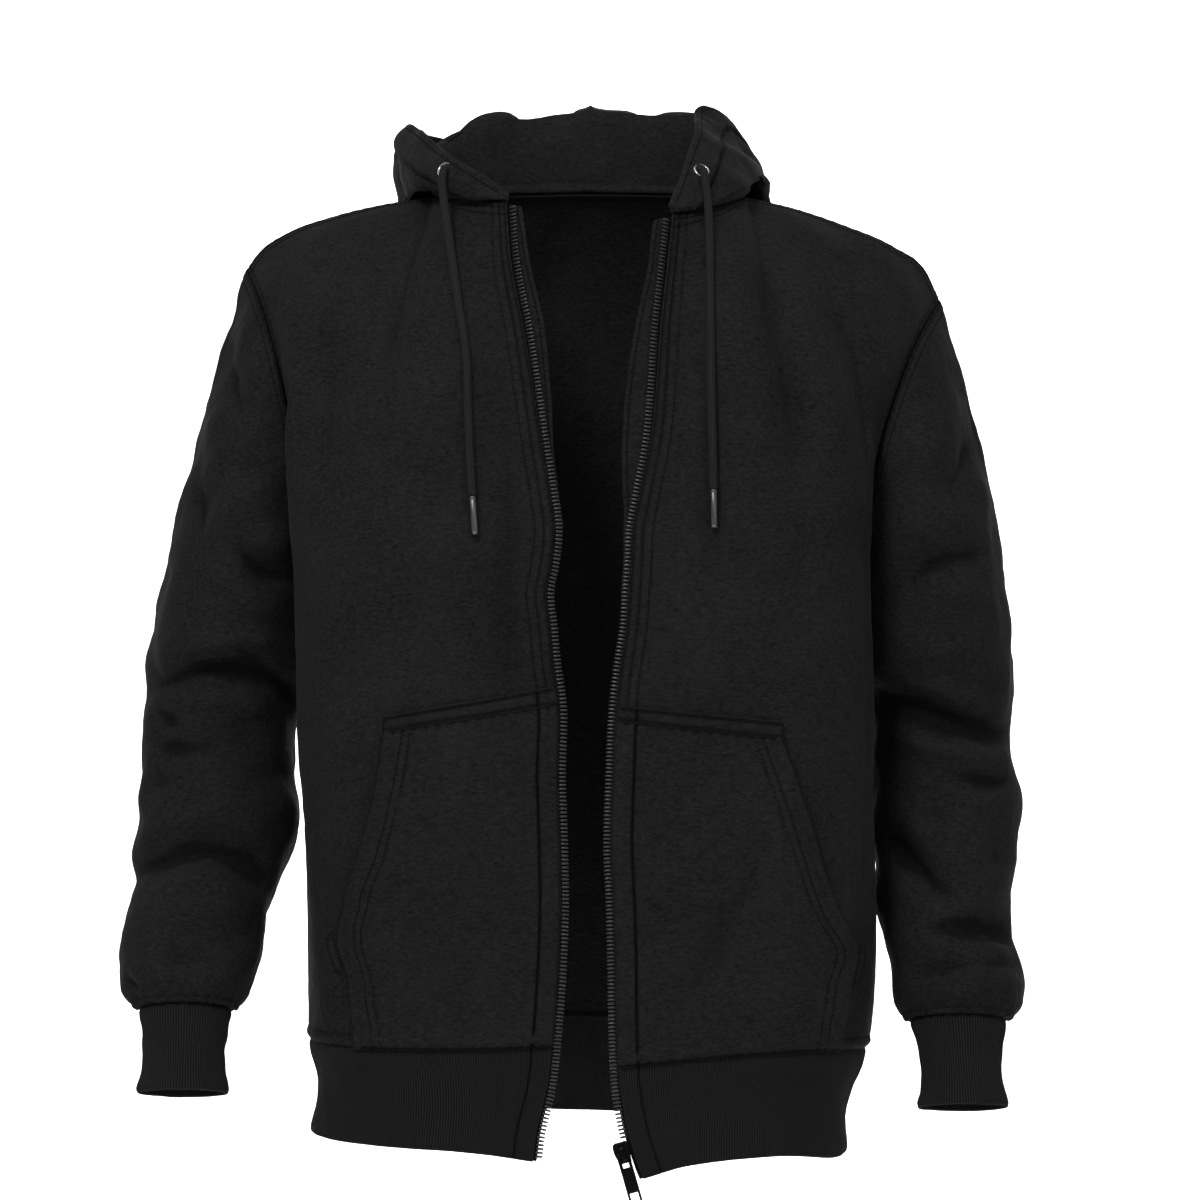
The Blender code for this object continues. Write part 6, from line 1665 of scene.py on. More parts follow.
def make_sleeve(side):
    """A set-in sleeve, gathered a little into its cuff."""
    name = SIDE_NAMES[side]
    sizes = bpy.context.scene.hoodie_sizes
    turns = np.linspace(0.0, 360.0, 140, endpoint=False)
    v = 2.0 * spaced(0.60, 0.0030, (0.010, 0.012))
    points = sleeve_surface(side, *np.meshgrid(turns, v))
    out = grid_out(points, True, side)
    down, up = distance_from(points, "first_row"), distance_from(points, "last_row")
    fade = smooth(down / 0.03) * smooth(up / 0.02)
    rise = soft_cloth(points, SEEDS["sleeve_" + name], 1.3) * 1.2 * fade
    angle = np.radians(turns)[None, :]
    gathers = np.sin(23.0 * angle + 1.7 * np.sin(3.0 * angle)) + 0.6 * np.sin(37.0 * angle + 1.0)
    rise += 0.0007 * gathers * ridge(up, 0.014) * smooth(up / 0.003)
    arm_seam = np.radians(np.abs(turns - 180.0))[None, :] * 0.05
    rise -= 0.0009 * ridge(arm_seam, 0.0022) * np.ones(rise.shape)
    points = points + out * rise[..., None]
    stitched = [("first_row", 0.0035), ("first_row", 0.0090), ("last_row", 0.0075)]
    seams, rolls = ("first_row", "last_row"), [("last_row", 0.0038)]
    worked, hollow = sew(points, out, seams, stitched, sizes.seam_depth, rolls)
    # Painted shade along the sleeve seam and in the sleeve's troughs.
    hollow = np.maximum(hollow, 0.8 * ridge(arm_seam, 0.0016))
    out = grid_out(worked, True, side)
    hollow = np.maximum(hollow, trough(worked, out, True))
    panel = "sleeve_panel_" + name
    piece = cloth_piece(panel, worked, out, hollow, BODY_CLOTH, "sleeve_" + name, tube=True)
    stitches = make_stitches("sleeve_stitches_" + name, worked, out, stitched)


def rib_rise(count, columns, height):
    """The height of a rib knit at each column, from its number of ribs."""
    phase = np.arange(columns) / columns * count
    return height * (np.abs(np.sin(math.pi * phase)) ** 0.7 - 0.5)


def rib_painted_shade(count, columns):
    """Painted shade between the ribs of a rib knit, by how deep each column lies, from 0 to 1."""
    phase = np.arange(columns) / columns * count
    return 1.0 - np.abs(np.sin(math.pi * phase))


def make_cuff(side):
    """A rib knit cuff."""
    name = SIDE_NAMES[side]
    sizes = bpy.context.scene.hoodie_sizes
    around = 0.212
    ribs = round(around / sizes.cuff_rib)
    columns = ribs * 4
    turns = np.arange(columns) * 360.0 / columns
    v = spaced(0.066, 0.0040, (0.003, 0.003), 0.0010)
    points = cuff_surface(side, *np.meshgrid(turns, v))
    out = grid_out(points, True, side)
    top, foot = distance_from(points, "first_row"), distance_from(points, "last_row")
    rise = rib_rise(ribs, columns, sizes.rib_height)[None, :] * smooth(top / 0.002)
    rise = rise + waves(points, SEEDS["cuff"], 14, 0.015, 0.05, 0.0006) * smooth(top / 0.01)
    rise = rise - sizes.seam_depth * ridge(top, 0.0020)
    rise = rise - 0.0007 * ridge(foot, 0.0014)
    # Painted shade between the ribs.
    hollow = rib_painted_shade(ribs, columns) * np.ones(rise.shape)
    waist = np.sin(math.pi * np.clip(foot / 0.060, 0.0, 1.0))
    rise = rise + 0.0016 * ridge(foot, 0.009) - 0.0016 * waist
    worked = points + out * rise[..., None]
    piece = cloth_piece(
        "cuff_rib_" + name, worked, out, hollow, RIB_CLOTH, "cuff_" + name, tube=True, finish="rib"
    )


def make_hem():
    """The rib knit hem band, from zip edge to zip edge."""
    sizes = bpy.context.scene.hoodie_sizes
    around = 1.14
    ribs = round(around / sizes.hem_rib)
    columns = ribs * 3 + 1
    u = np.arange(columns) / (columns - 1)
    v = spaced(0.076, 0.0085, (0.0030, 0.0016), 0.0014, 0.008)
    points = hem_surface(*np.meshgrid(u, v))
    out = grid_out(points, False, 1)
    top, foot = distance_from(points, "first_row"), distance_from(points, "last_row")
    edge = np.minimum(distance_from(points, "first_column"), distance_from(points, "last_column"))
    rise = rib_rise(ribs, columns - 1, sizes.rib_height)
    rise = np.append(rise, rise[0])[None, :] * smooth(top / 0.002)
    rise = rise + waves(points, SEEDS["hem"], 16, 0.02, 0.07, 0.0009) * smooth(top / 0.01)
    rise = rise - sizes.seam_depth * ridge(top, 0.0020)
    rise = rise - 0.0006 * ridge(foot, 0.0016)
    # Painted shade between the ribs and in the groove beside each zip edge.
    groove = ridge(edge - 0.0140, 0.0011)
    hollow = rib_painted_shade(ribs, columns - 1)
    hollow = np.maximum(np.append(hollow, hollow[0])[None, :], groove)
    worked = points + out * (rise - 0.0010 * groove)[..., None]
    piece = cloth_piece("hem_rib", worked, out, hollow, RIB_CLOTH, "hem_band", finish="rib")


def make_hood(side):
    """Half of the hood in double cloth, with its edge band, seams and stitching."""
    name = SIDE_NAMES[side]
    sizes = bpy.context.scene.hoodie_sizes
    at = spaced(0.30, 0.0042, (0.004, 0.006))
    t = spaced(0.22, 0.0034, (0.004, 0.026))
    points = hood_surface(side, *np.meshgrid(at, t))
    out = grid_out(points, False, side)
    seams = ("first_row", "last_column")
    fade = smooth(distance_from(points, "first_row") / 0.02)
    fade = fade * smooth(distance_from(points, "last_column") / 0.02)
    rise = waves(points, SEEDS["hood_" + name], 18, 0.032, 0.09, 0.0024)
    rise = (rise + waves(points, SEEDS["hood_dents"], 20, 0.009, 0.025, 0.00025)) * fade
    points = points + out * rise[..., None]
    stitched = [("last_row", 0.0038), ("last_row", 0.0245), ("last_column", 0.0030)]
    rolls, grooves = [("first_row", 0.0060)], [("last_row", 0.0268)]
    worked, hollow = sew(points, out, seams, stitched, sizes.seam_depth, rolls, grooves)
    band = 0.0007 * smooth((0.0262 - distance_from(points, "last_row")) / 0.0012)
    worked = worked + out * band[..., None]
    out = grid_out(worked, False, side)
    # Painted shade in the hood's troughs.
    hollow = np.maximum(hollow, trough(worked, out, reach=4, share=0.25))
    piece = cloth_piece("hood_panel_" + name, worked, out, hollow, HOOD_CLOTH, "hood_" + name)
    stitches = make_stitches("hood_stitches_" + name, worked, out, stitched)


# ---------------------------------------------------------------------------- pockets


# How far the pocket's own groove over the placket lies from its inner edge.
PLACKET = 0.0125


def pocket_line(side, name, share):
    """A height on the pocket's top or strip line, from the zip (share 0) to the outer corner."""
    rows = POCKET_LINES[side]
    return rows[name][0] + (rows[name][1] - rows[name][0]) * share


def pocket_outer(side, height):
    """How far across the pocket's outer edge lies at a height."""
    return read_down(POCKET_EDGE[side], "across", height)


def pocket_inner(side, height):
    """How far across the pocket's edge beside the zip lies at a height."""
    return read(ZIP_LINE, "height", SIDE_NAMES[side], height) + ZIP_MARGIN + POCKET_INSET


def pocket_foot(side, share):
    """The height of the pocket's foot, just over the hem seam below it."""
    turn = np.linspace(0.0, SIDE_TURN, 41)
    seam = lower_body(side, turn, np.zeros(turn.shape))
    order = np.argsort(seam[:, 0] * side)
    guess = hem_height(side, 4.0, "seam")
    inner = pocket_inner(side, guess)
    across = inner + (pocket_outer(side, guess) - inner) * share
    return np.interp(across, seam[order, 0] * side, seam[order, 2]) + POCKET_FOOT


def pocket_places(side, share, down):
    """Across and height of pocket points: share from zip to outer edge, down from strip to hem."""
    foot = pocket_foot(side, share)
    top = pocket_line(side, "strip", share) - SEAM_GAP
    height = top + (foot - top) * down
    outer_foot = float(pocket_foot(side, np.array(1.0)))
    outer_top = pocket_line(side, "strip", 1.0) - SEAM_GAP
    outer = pocket_outer(side, outer_top + (outer_foot - outer_top) * down)
    inner = pocket_inner(side, height)
    return side * (inner + (outer - inner) * share), height


def on_front(side, across, height, lift):
    """Points that lie on a front, moved out, and their outward normals."""
    u, v = front_place(side, across, height)
    out = front_normals(side, u, v)
    return front_skin(side, u, v) + out * (LIE_GAP + lift)[..., None], out


def make_pocket(side):
    """A kangaroo pocket half with its top strip and the bar patch at its opening's foot."""
    name = SIDE_NAMES[side]
    sizes = bpy.context.scene.hoodie_sizes
    share, down = np.meshgrid(
        spaced(0.150, 0.0032, (0.014, 0.014)), spaced(0.235, 0.0034, (0.003, 0.003))
    )
    across, height = pocket_places(side, share, down)
    lift = sizes.puff * smooth(share / 0.5) * np.sin(math.pi * np.clip(down / 0.62, 0.0, 1.0))
    points, out = on_front(side, across, height, lift + 0.0006 + BODY_CLOTH)
    stitched = [("last_column", 0.0150), ("last_column", 0.0215)]
    seams, placket = ("first_row", "last_row"), [("first_column", PLACKET)]
    edge = [("last_column", 0.0022), ("last_row", 0.0060)]
    worked, hollow = sew(points, out, seams, stitched, 0.0008, edge, placket)
    out = grid_out(worked, False, -side)
    # Painted shade in the pocket's troughs, and a painted shadow line along its outer edge.
    hollow = np.maximum(hollow, trough(worked, out, share=0.22))
    hollow = np.maximum(hollow, edge_shadow(points, ["last_column"]))
    panel = "pocket_panel_" + name
    piece = cloth_piece(panel, worked, out, hollow, BODY_CLOTH, "pocket_" + name)
    below = make_stitches("pocket_stitches_" + name, worked, out, stitched)

    share, down = np.meshgrid(spaced(0.150, 0.0030, (0.0140, 0.0016)), np.linspace(0.0, 1.0, 13))
    top, strip = pocket_line(side, "top", share), pocket_line(side, "strip", share)
    height = top + (strip - top) * down
    inner = pocket_inner(side, height)
    across = side * (inner + (pocket_outer(side, strip[0, -1]) - inner) * share)
    points, out = on_front(side, across, height, 0.0006 + STRIP_CLOTH + 0.0 * share)
    stitched = [("first_row", 0.0016), ("last_row", 0.0016)]
    worked, hollow = sew(points, out, (), stitched, grooves=placket)
    out = grid_out(worked, False, -side)
    # Painted shadow lines along the strip's top, foot and outer end.
    hollow = np.maximum(hollow, edge_shadow(points, ["first_row", "last_row", "last_column"]))
    binding = "pocket_binding_" + name
    strip_piece = cloth_piece(binding, worked, out, hollow, STRIP_CLOTH, "pocket_strip_" + name)
    strip_stitches = make_stitches("binding_stitches_" + name, worked, out, stitched)

    high, low = POCKET_BAR[side]
    along, wide = np.meshgrid(np.linspace(0.0, 1.0, 22), np.linspace(0.0, 1.0, 9))
    height = high + (low - high) * along
    across = side * (pocket_outer(side, height) + BAR_GAP + BAR_WIDTH * wide)
    points, out = on_front(side, across, height, 0.0004 + STRIP_CLOTH + 0.0 * along)
    out = grid_out(points, False, side)
    # Painted shadow lines all round the bar patch.
    hollow = edge_shadow(points, ["first_row", "last_row", "first_column", "last_column"], 0.7)
    patch = "pocket_patch_" + name
    bar = cloth_piece(patch, points, out, hollow, STRIP_CLOTH, "pocket_bar_" + name)
    stitched = [("first_row", 0.0014), ("last_row", 0.0014)]
    bar_stitches = make_stitches("patch_stitches_" + name, points, out, stitched)


# ---------------------------------------------------------------------------- zip


def zip_side_surface(side, u, w):
    """A front (w 0 to 2) carried on down over the hem band (w -1 to 0)."""
    u, w = same_shape(u, w)
    turn = SIDE_TURN * u
    seam, foot = hem_height(side, turn, "seam"), hem_height(side, turn, "foot")
    hem = level(side, turn, seam + (foot - seam) * np.clip(-w, 0.0, 1.0))
    return np.where((w < 0.0)[..., None], hem, front_surface(side, u, np.clip(w, 0.0, 2.0)))


def beside_zip(side, w, inset, out):
    """A point inset from a front's zip edge (negative is past it) and moved out of the cloth."""
    w, inset, out = same_shape(w, inset, out)

    def surface(a, b):
        return zip_side_surface(side, a, b)

    none = np.zeros(w.shape)
    small = 0.02
    edge = surface(none, w)
    reach = np.linalg.norm(surface(none + small, w) - edge, axis=-1) / small
    u = np.clip(inset, 0.0, None) / reach
    points = surface(u, w)
    normal = normals_of(surface, u, w, (0.0, 1.0), (-1.0, 2.0), turned=side)
    inward = unit(surface(none + small, w) - edge)
    inward = unit(inward - normal * np.sum(inward * normal, axis=-1, keepdims=True))
    return points + inward * np.clip(inset, None, 0.0)[..., None] + normal * out[..., None]


def zip_levels(low, high, count):
    """Places up a zip edge, evenly spaced in metres."""
    w = np.linspace(low, high, 600)
    points = zip_tip_line(w)
    reach = np.concatenate([[0.0], np.cumsum(np.abs(np.diff(points)))])
    return np.interp(np.linspace(0.0, reach[-1], count), reach, w)


def zip_tip_line(w):
    """About how high each place up the zip edge lies."""
    return np.interp(w, [-1.0, 0.0, 1.0, 2.0], [-0.700, -0.622, ARMPIT_HEIGHT, -0.012])


TAPE_OUT = -(RIB_CLOTH + LIE_GAP)


def tooth_form(width, tall, thick):
    """One moulded zip tooth: a block with soft edges and a blunt head."""
    form = bmesh.new()
    bmesh.ops.create_cube(form, size=1.0)
    bmesh.ops.scale(form, vec=(width, thick, tall), verts=form.verts)
    for vert in form.verts:
        if vert.co.x < 0.0:
            vert.co.z *= 0.72
            vert.co.y *= 0.85
    bmesh.ops.bevel(form, geom=form.edges, offset=0.00038, segments=1, affect="EDGES")
    form.verts.ensure_lookup_table()
    verts = np.array([vert.co[:] for vert in form.verts])
    by_size = {}
    for face in form.faces:
        by_size.setdefault(len(face.verts), []).append([vert.index for vert in face.verts])
    form.free()
    return verts, [np.array(group) for group in by_size.values()]


def make_zip_side(side):
    """The tape, the teeth and the inner facing of one front."""
    name = SIDE_NAMES[side]
    sizes = bpy.context.scene.hoodie_sizes
    foot = SLIDER_TOP if side == LEFT else -1.0
    w = zip_levels(foot, ZIP_TOP, 500)
    inset = -(TEETH_INSET + 0.5 * TEETH_WIDTH)
    line = beside_zip(side, w, inset, TAPE_OUT - 0.5 * TAPE_CLOTH)
    inner = beside_zip(side, w, inset + 0.002, TAPE_OUT - 0.5 * TAPE_CLOTH)
    normal = unit(beside_zip(side, w, inset, TAPE_OUT + 0.001) - line)
    start = 0.5 if side == LEFT else 1.0
    places, heading, out = resample(line, normal, sizes.tooth_pitch, start)
    across = np.cross(out, heading)
    picked = np.linspace(0, len(inner) - 1, len(places)).astype(int)
    toward = (inner - line)[picked]
    across = across * np.sign(np.sum(across * toward, axis=1, keepdims=True))
    axes = np.stack([across, out, heading], axis=1)
    verts, faces = tooth_form(TEETH_WIDTH, 0.62 * sizes.tooth_pitch, 0.0026)
    data = repeated_mesh("zip_tooth_row_" + name, verts, faces, places, axes)
    teeth = add_piece("zip_tooth_row_" + name, data, "teeth", replaces=["zip_teeth_" + name])

    w = zip_levels(-1.0, ZIP_TOP, 201)
    inset, rows = np.meshgrid(np.linspace(TAPE_UNDER, -TAPE_PAST - 0.0016, 12), w)
    bead = 0.0005 * ridge(inset + TAPE_PAST, 0.0008)
    outer = beside_zip(side, rows, inset, TAPE_OUT + bead)
    back = beside_zip(side, rows, inset, TAPE_OUT - TAPE_CLOTH - bead)
    data = wall_mesh("zip_tape_weave_" + name, outer, back, False)
    tape = add_piece("zip_tape_weave_" + name, data, "tape", replaces=["zip_tape_" + name])

    w = zip_levels(FACING_FOOT, ZIP_TOP, 131)
    past = ZIP_MARGIN + read(FACING, "w", name, w)
    share = np.concatenate([np.linspace(0.0, 0.5, 7)[:-1], np.linspace(0.5, 1.0, 18)])
    hidden = FACING_UNDER * (1.0 - share / 0.5)
    shown = np.clip((share - 0.5) / 0.5, 0.0, 1.0)
    inset = np.where(share < 0.5, hidden, -past[:, None] * shown)
    sink = np.where(share < 0.5, 0.0, 0.0011 + 0.0031 * shown**1.4)
    rows = np.repeat(w[:, None], len(share), axis=1)
    depth = TAPE_OUT - TAPE_CLOTH - LIE_GAP - sink
    outer = beside_zip(side, rows, inset, depth)
    out = grid_out(outer, False, -side)
    # sew gives the facing painted shade in its stitch groove.
    outer, hollow = sew(outer, out, (), [("last_column", 0.0030)])
    facing = cloth_piece("zip_facing_" + name, outer, out, hollow, FACING_CLOTH, "facing_" + name)
    sewn = [("last_column", 0.0030, (0.25, 1.0))]
    stitches = make_stitches("facing_stitches_" + name, outer, out, sewn)


# ---------------------------------------------------------------------------- metal


def slider_frame():
    """The slider's own frame: X across, -Y out and Z up along the zip."""
    return Matrix.Translation(SLIDER_PLACE) @ Matrix.Rotation(SLIDER_TILT, 4, "Y")


def flat_form(rings, half_thick, rounding, stand):
    """A flat form from a filled outline: the first ring is its edge, the others holes."""
    curve = bpy.data.curves.new("outline", "CURVE")
    curve.dimensions = "2D"
    curve.fill_mode = "BOTH"
    curve.extrude = half_thick - rounding
    curve.bevel_depth = rounding
    curve.bevel_resolution = 2
    curve.offset = -rounding
    for ring in rings:
        spline = curve.splines.new("POLY")
        spline.points.add(len(ring) - 1)
        for point, (a, b) in zip(spline.points, ring):
            point.co = (a, b, 0.0, 1.0)
        spline.use_cyclic_u = True
    drawn = bpy.data.objects.new("outline", curve)
    bpy.context.scene.collection.objects.link(drawn)
    graph = bpy.context.evaluated_depsgraph_get()
    data = bpy.data.meshes.new_from_object(drawn.evaluated_get(graph))
    bpy.data.objects.remove(drawn)
    bpy.data.curves.remove(curve)
    form = bmesh.new()
    form.from_mesh(data)
    bpy.data.meshes.remove(data)
    bmesh.ops.remove_doubles(form, verts=form.verts, dist=1e-6)
    bmesh.ops.recalc_face_normals(form, faces=form.faces)
    bmesh.ops.transform(form, matrix=stand, verts=form.verts)
    return form


def joined_mesh(name, forms, sharp=math.radians(38)):
    """One mesh from several closed forms."""
    whole = bmesh.new()
    for form in forms:
        part = bpy.data.meshes.new("part")
        form.to_mesh(part)
        form.free()
        whole.from_mesh(part)
        bpy.data.meshes.remove(part)
    data = bpy.data.meshes.new(name)
    whole.to_mesh(data)
    whole.free()
    data.shade_smooth()
    data.set_sharp_from_angle(angle=sharp)
    return data


def rounded(ring, radius, steps=4):
    """An outline with its corners rounded, by small arcs cut off each corner."""
    points = [np.array(point, float) for point in ring]
    found = []
    for k, here in enumerate(points):
        before, after = points[k - 1], points[(k + 1) % len(points)]
        cut = min(radius, 0.45 * np.linalg.norm(before - here), 0.45 * np.linalg.norm(after - here))
        start = here + unit(before - here) * cut
        end = here + unit(after - here) * cut
        for t in np.linspace(0.0, 1.0, steps):
            found.append((1 - t) ** 2 * start + 2 * t * (1 - t) * here + t**2 * end)
    return found


def mirrored(half):
    """A whole outline from its right half, read from the top down."""
    return half + [(-x, z) for x, z in reversed(half)]


SLIDER_PLATE = mirrored(
    [(0.0016, 0.0074), (0.0042, 0.0075), (0.0060, 0.0058), (0.0060, 0.0004), (0.0049, -0.0036),
     (0.0049, -0.0075)]
)
PLATE_THICK = 0.0012
TAB_EDGE = mirrored([(0.0040, 0.0007), (0.0047, -0.0004), (0.0047, -0.0393), (0.0036, -0.0409)])
TAB_SLOT = mirrored([(0.0023, -0.0007), (0.0023, -0.0105)])
TAB_WINDOW = mirrored([(0.0030, -0.0290), (0.0030, -0.0375)])


def make_slider():
    """The slider: two plates with a post and side walls between them, and the bridge."""
    upright = slider_frame() @ Matrix.Rotation(math.radians(90), 4, "X")
    reach = 0.5 * (SLIDER_SIZE[1] - PLATE_THICK)
    forms = []
    for out in (reach, -reach):
        stand = upright @ Matrix.Translation((0.0, 0.0, out))
        forms.append(flat_form([rounded(SLIDER_PLATE, 0.0009)], 0.5 * PLATE_THICK, 0.0003, stand))
    post = rounded([(0.0014, 0.0072), (0.0014, 0.0030), (0.0, 0.0010), (-0.0014, 0.0030),
                    (-0.0014, 0.0072)], 0.0005)
    forms.append(flat_form([post], reach, 0.0001, upright))
    for way in (1, -1):
        lip = [(way * 0.0049, -0.0074), (way * 0.0049, -0.0034), (way * 0.0060, 0.0006),
               (way * 0.0052, 0.0006), (way * 0.0041, -0.0034), (way * 0.0041, -0.0074)]
        forms.append(flat_form([lip], reach, 0.0001, upright))
    turn = Matrix(((0, 0, -1, 0), (-1, 0, 0, 0), (0, 1, 0, 0), (0, 0, 0, 1)))
    bridge = rounded(list(zip(BRIDGE["out"], BRIDGE["up"])), 0.0009)
    forms.append(flat_form([bridge], 0.5 * BRIDGE_WIDTH, 0.0002, slider_frame() @ turn))
    data = joined_mesh("slider_body", forms)
    add_piece("slider_body", data, "black_metal", replaces=["zip_slider"])

    upright = Matrix.Rotation(math.radians(90), 4, "X")
    stand = Matrix.Translation((0.0, -TAB_AXIS_OUT, 0.0)) @ upright
    rings = [rounded(TAB_EDGE, 0.0008), rounded(TAB_SLOT, 0.0006), rounded(TAB_WINDOW, 0.0004)]
    form = flat_form(rings, 0.5 * TAB_THICK, TAB_ROUND, slider_frame() @ stand)
    data = joined_mesh("pull_tab_plate", [form])
    add_piece("pull_tab_plate", data, "black_metal", PULL_TAB, ["zip_pull_tab"])


EYELET_PROFILE = (
    (0.0042, -0.0008), (0.0041, -0.0002), (0.0043, 0.0005), (0.0048, 0.0009), (0.0053, 0.0010),
    (0.0058, 0.0008), (0.0062, 0.0003), (0.0062, -0.0003), (0.0060, -0.0008), (0.0052, -0.0009),
)


def make_eyelet(side):
    """A rolled metal eyelet in the hood's edge."""
    name = SIDE_NAMES[side]
    at, t = (np.array(value) for value in EYELET_PLACE[side])

    def surface(a, b):
        return hood_surface(side, a, b)

    out = Vector(normals_of(surface, at, t, turned=side))
    place = Vector(surface(at, t)) + out * (EYELET_WIRE + EYELET_GAP)
    data = ring_mesh("eyelet_ring_" + name, lathe_rings(EYELET_PROFILE, place, out, 48))
    return add_piece("eyelet_ring_" + name, data, "polished", replaces=["eyelet_" + name])


def cord_points(side, count):
    """Points along a drawcord end, on a smooth curve through its route."""
    rows = CORD_ROUTE[side]
    route = np.stack([rows["across"], rows["depth"], rows["height"]], axis=1)
    return through(np.arange(len(route), dtype=float), route, np.linspace(0, len(route) - 1, count))


TIP_PROFILE = (
    (0.0023, 0.0), (0.0026, 0.0002), (0.0027, 0.0006), (0.0027, 0.0018), (0.0025, 0.0022),
    (0.0025, 0.0026), (0.0027, 0.0030), (0.0027, 0.0250), (0.0025, 0.0254), (0.0025, 0.0258),
    (0.0027, 0.0262), (0.0027, 0.0270), (0.0025, 0.0274), (0.0021, 0.0275), (0.0018, 0.0272),
)


# How far the soft outside of a cord stands over its solid.
CORD_SOFT = 0.0003


def make_drawcord(side):
    """One free end of the drawcord: a ribbed knitted cord with a metal tip."""
    name = SIDE_NAMES[side]
    route = cord_points(side, CORD_POINTS)
    points = cord_points(side, 330)
    heading = unit(np.gradient(points, axis=0))
    across = unit(np.cross(heading, np.array([0.0, -1.0, 0.0]) + 0.0 * heading))
    out = np.cross(across, heading)
    angle = np.linspace(0.0, 2.0 * math.pi, 30, endpoint=False)
    along = np.arange(len(points))[:, None]
    valley = np.abs(np.cos(5.0 * angle))[None, :] ** 3
    ribs = 1.0 - 0.10 * valley
    knit = 1.0 + 0.022 * np.cos(along * 2.1 + 5.0 * angle[None, :])
    points = points - np.array([0.0, CORD_SOFT, 0.0])
    radius = ((CORD_RADIUS + CORD_SOFT) * ribs * knit)[..., None]
    rings = points[:, None] + radius * (
        np.cos(angle)[None, :, None] * across[:, None] + np.sin(angle)[None, :, None] * out[:, None]
    )
    data = tube_mesh("knit_cord_" + name, rings)
    # Painted shade in the valleys between the cord's ribs.
    store_painted_shade(data, 0.8 * valley * np.ones((len(points), 1)))
    cord = add_piece("knit_cord_" + name, data, "cord", replaces=["drawcord_" + name])
    way = Vector(route[-1] - route[-2]).normalized()
    place = Vector(route[-1]) + way * TIP_GAP
    tip_rings = lathe_rings(TIP_PROFILE, place, way, 32)
    tip = add_piece(
        "metal_tip_" + name, tube_mesh("metal_tip_" + name, tip_rings), "gunmetal",
        replaces=["cord_tip_" + name],
    )


# ---------------------------------------------------------------------------- stage

# The floor's height, how far it runs ahead, back and to each side, and the sweep behind it.
FLOOR = -1.45
FLOOR_AHEAD, FLOOR_BACK, FLOOR_SIDE = -3.6, 2.2, 5.5
SWEEP_RADIUS, SWEEP_TOP = 1.2, 4.2
PALE = (0.93, 0.93, 0.93, 1.0)

# The camera's place and lens, in metres and millimetres.
CAMERA_PLACE = (0.0075, -2.6, -0.296)
LENS, SENSOR = 104.0, 36.0

# Square lamps: place, aim, size and power.
AIM = (0.0, 0.0, -0.30)
LAMPS = {
    "key": ((-0.9, -2.4, 1.8), AIM, 0.8, 27.0),
    "fill": ((1.6, -2.4, 0.2), AIM, 1.8, 3.5),
    "top": ((0.2, -0.8, 2.3), AIM, 1.2, 7.0),
    "rim_right": ((-2.2, 1.4, 0.6), AIM, 1.2, 3.0),
    "rim_left": ((2.2, 1.4, 0.6), AIM, 1.2, 3.0),
    "backdrop": ((0.0, 1.3, 0.6), (0.0, 3.4, -0.2), 2.6, 150.0),
}
WORLD_LIGHT = 0.17


def make_stage_set():
    """A pale floor that sweeps up behind, soft lamps, and the camera."""
    made = bpy.data.materials.new("pale_floor")
    made.use_nodes = True
    shader = made.node_tree.nodes["Principled BSDF"]
    shader.inputs["Base Color"].default_value = PALE
    shader.inputs["Roughness"].default_value = 0.9
    shader.inputs["Specular IOR Level"].default_value = 0.1
    profile = [(FLOOR_AHEAD, FLOOR), (FLOOR_BACK, FLOOR)]
    for angle in np.radians(np.linspace(0.0, 90.0, 13)):
        back, up = SWEEP_RADIUS * math.sin(angle), SWEEP_RADIUS * (1.0 - math.cos(angle))
        profile.append((FLOOR_BACK + back, FLOOR + up))
    profile.append((FLOOR_BACK + SWEEP_RADIUS, SWEEP_TOP))
    form = bmesh.new()
    rails = [[form.verts.new((x, y, z)) for y, z in profile] for x in (-FLOOR_SIDE, FLOOR_SIDE)]
    for k in range(len(profile) - 1):
        form.faces.new((rails[0][k], rails[1][k], rails[1][k + 1], rails[0][k + 1]))
    data = bpy.data.meshes.new("floor")
    form.to_mesh(data)
    form.free()
    data.shade_smooth()
    data.materials.append(made)
    floor = bpy.data.objects.new("floor", data)
    bpy.context.scene.collection.objects.link(floor)

    world = bpy.data.worlds.new("studio")
    world.use_nodes = True
    background = world.node_tree.nodes["Background"]
    background.inputs["Color"].default_value = (1.0, 1.0, 1.0, 1.0)
    background.inputs["Strength"].default_value = WORLD_LIGHT
    bpy.context.scene.world = world
    for name, (place, aim, size, power) in LAMPS.items():
        lamp = bpy.data.lights.new(name, "AREA")
        lamp.shape = "SQUARE"
        lamp.size = size
        lamp.energy = power
        holder = bpy.data.objects.new(name, lamp)
        holder.location = place
        way = Vector(aim) - Vector(place)
        holder.rotation_euler = way.to_track_quat("-Z", "Y").to_euler()
        bpy.context.scene.collection.objects.link(holder)

    camera = bpy.data.cameras.new("camera")
    camera.sensor_width = SENSOR
    camera.lens = LENS
    holder = bpy.data.objects.new("camera", camera)
    holder.location = CAMERA_PLACE
    holder.rotation_euler = (math.radians(90), 0.0, 0.0)
    bpy.context.scene.collection.objects.link(holder)
    bpy.context.scene.camera = holder
    bpy.context.scene.view_settings.view_transform = "Standard"


# ---------------------------------------------------------------------------- operators


class HOODIE_OT_stage(bpy.types.Operator):
    """Make the pale floor, the lamps and the camera"""

    bl_idname = "hoodie.stage"
    bl_label = "Stage"

    def execute(self, context):
        make_stage_set()
        return {"FINISHED"}


class HOODIE_OT_finishes(bpy.types.Operator):
    """Make the finishes from the colours"""

    bl_idname = "hoodie.finishes"
    bl_label = "Finishes"

    def execute(self, context):
        make_finishes()
        return {"FINISHED"}


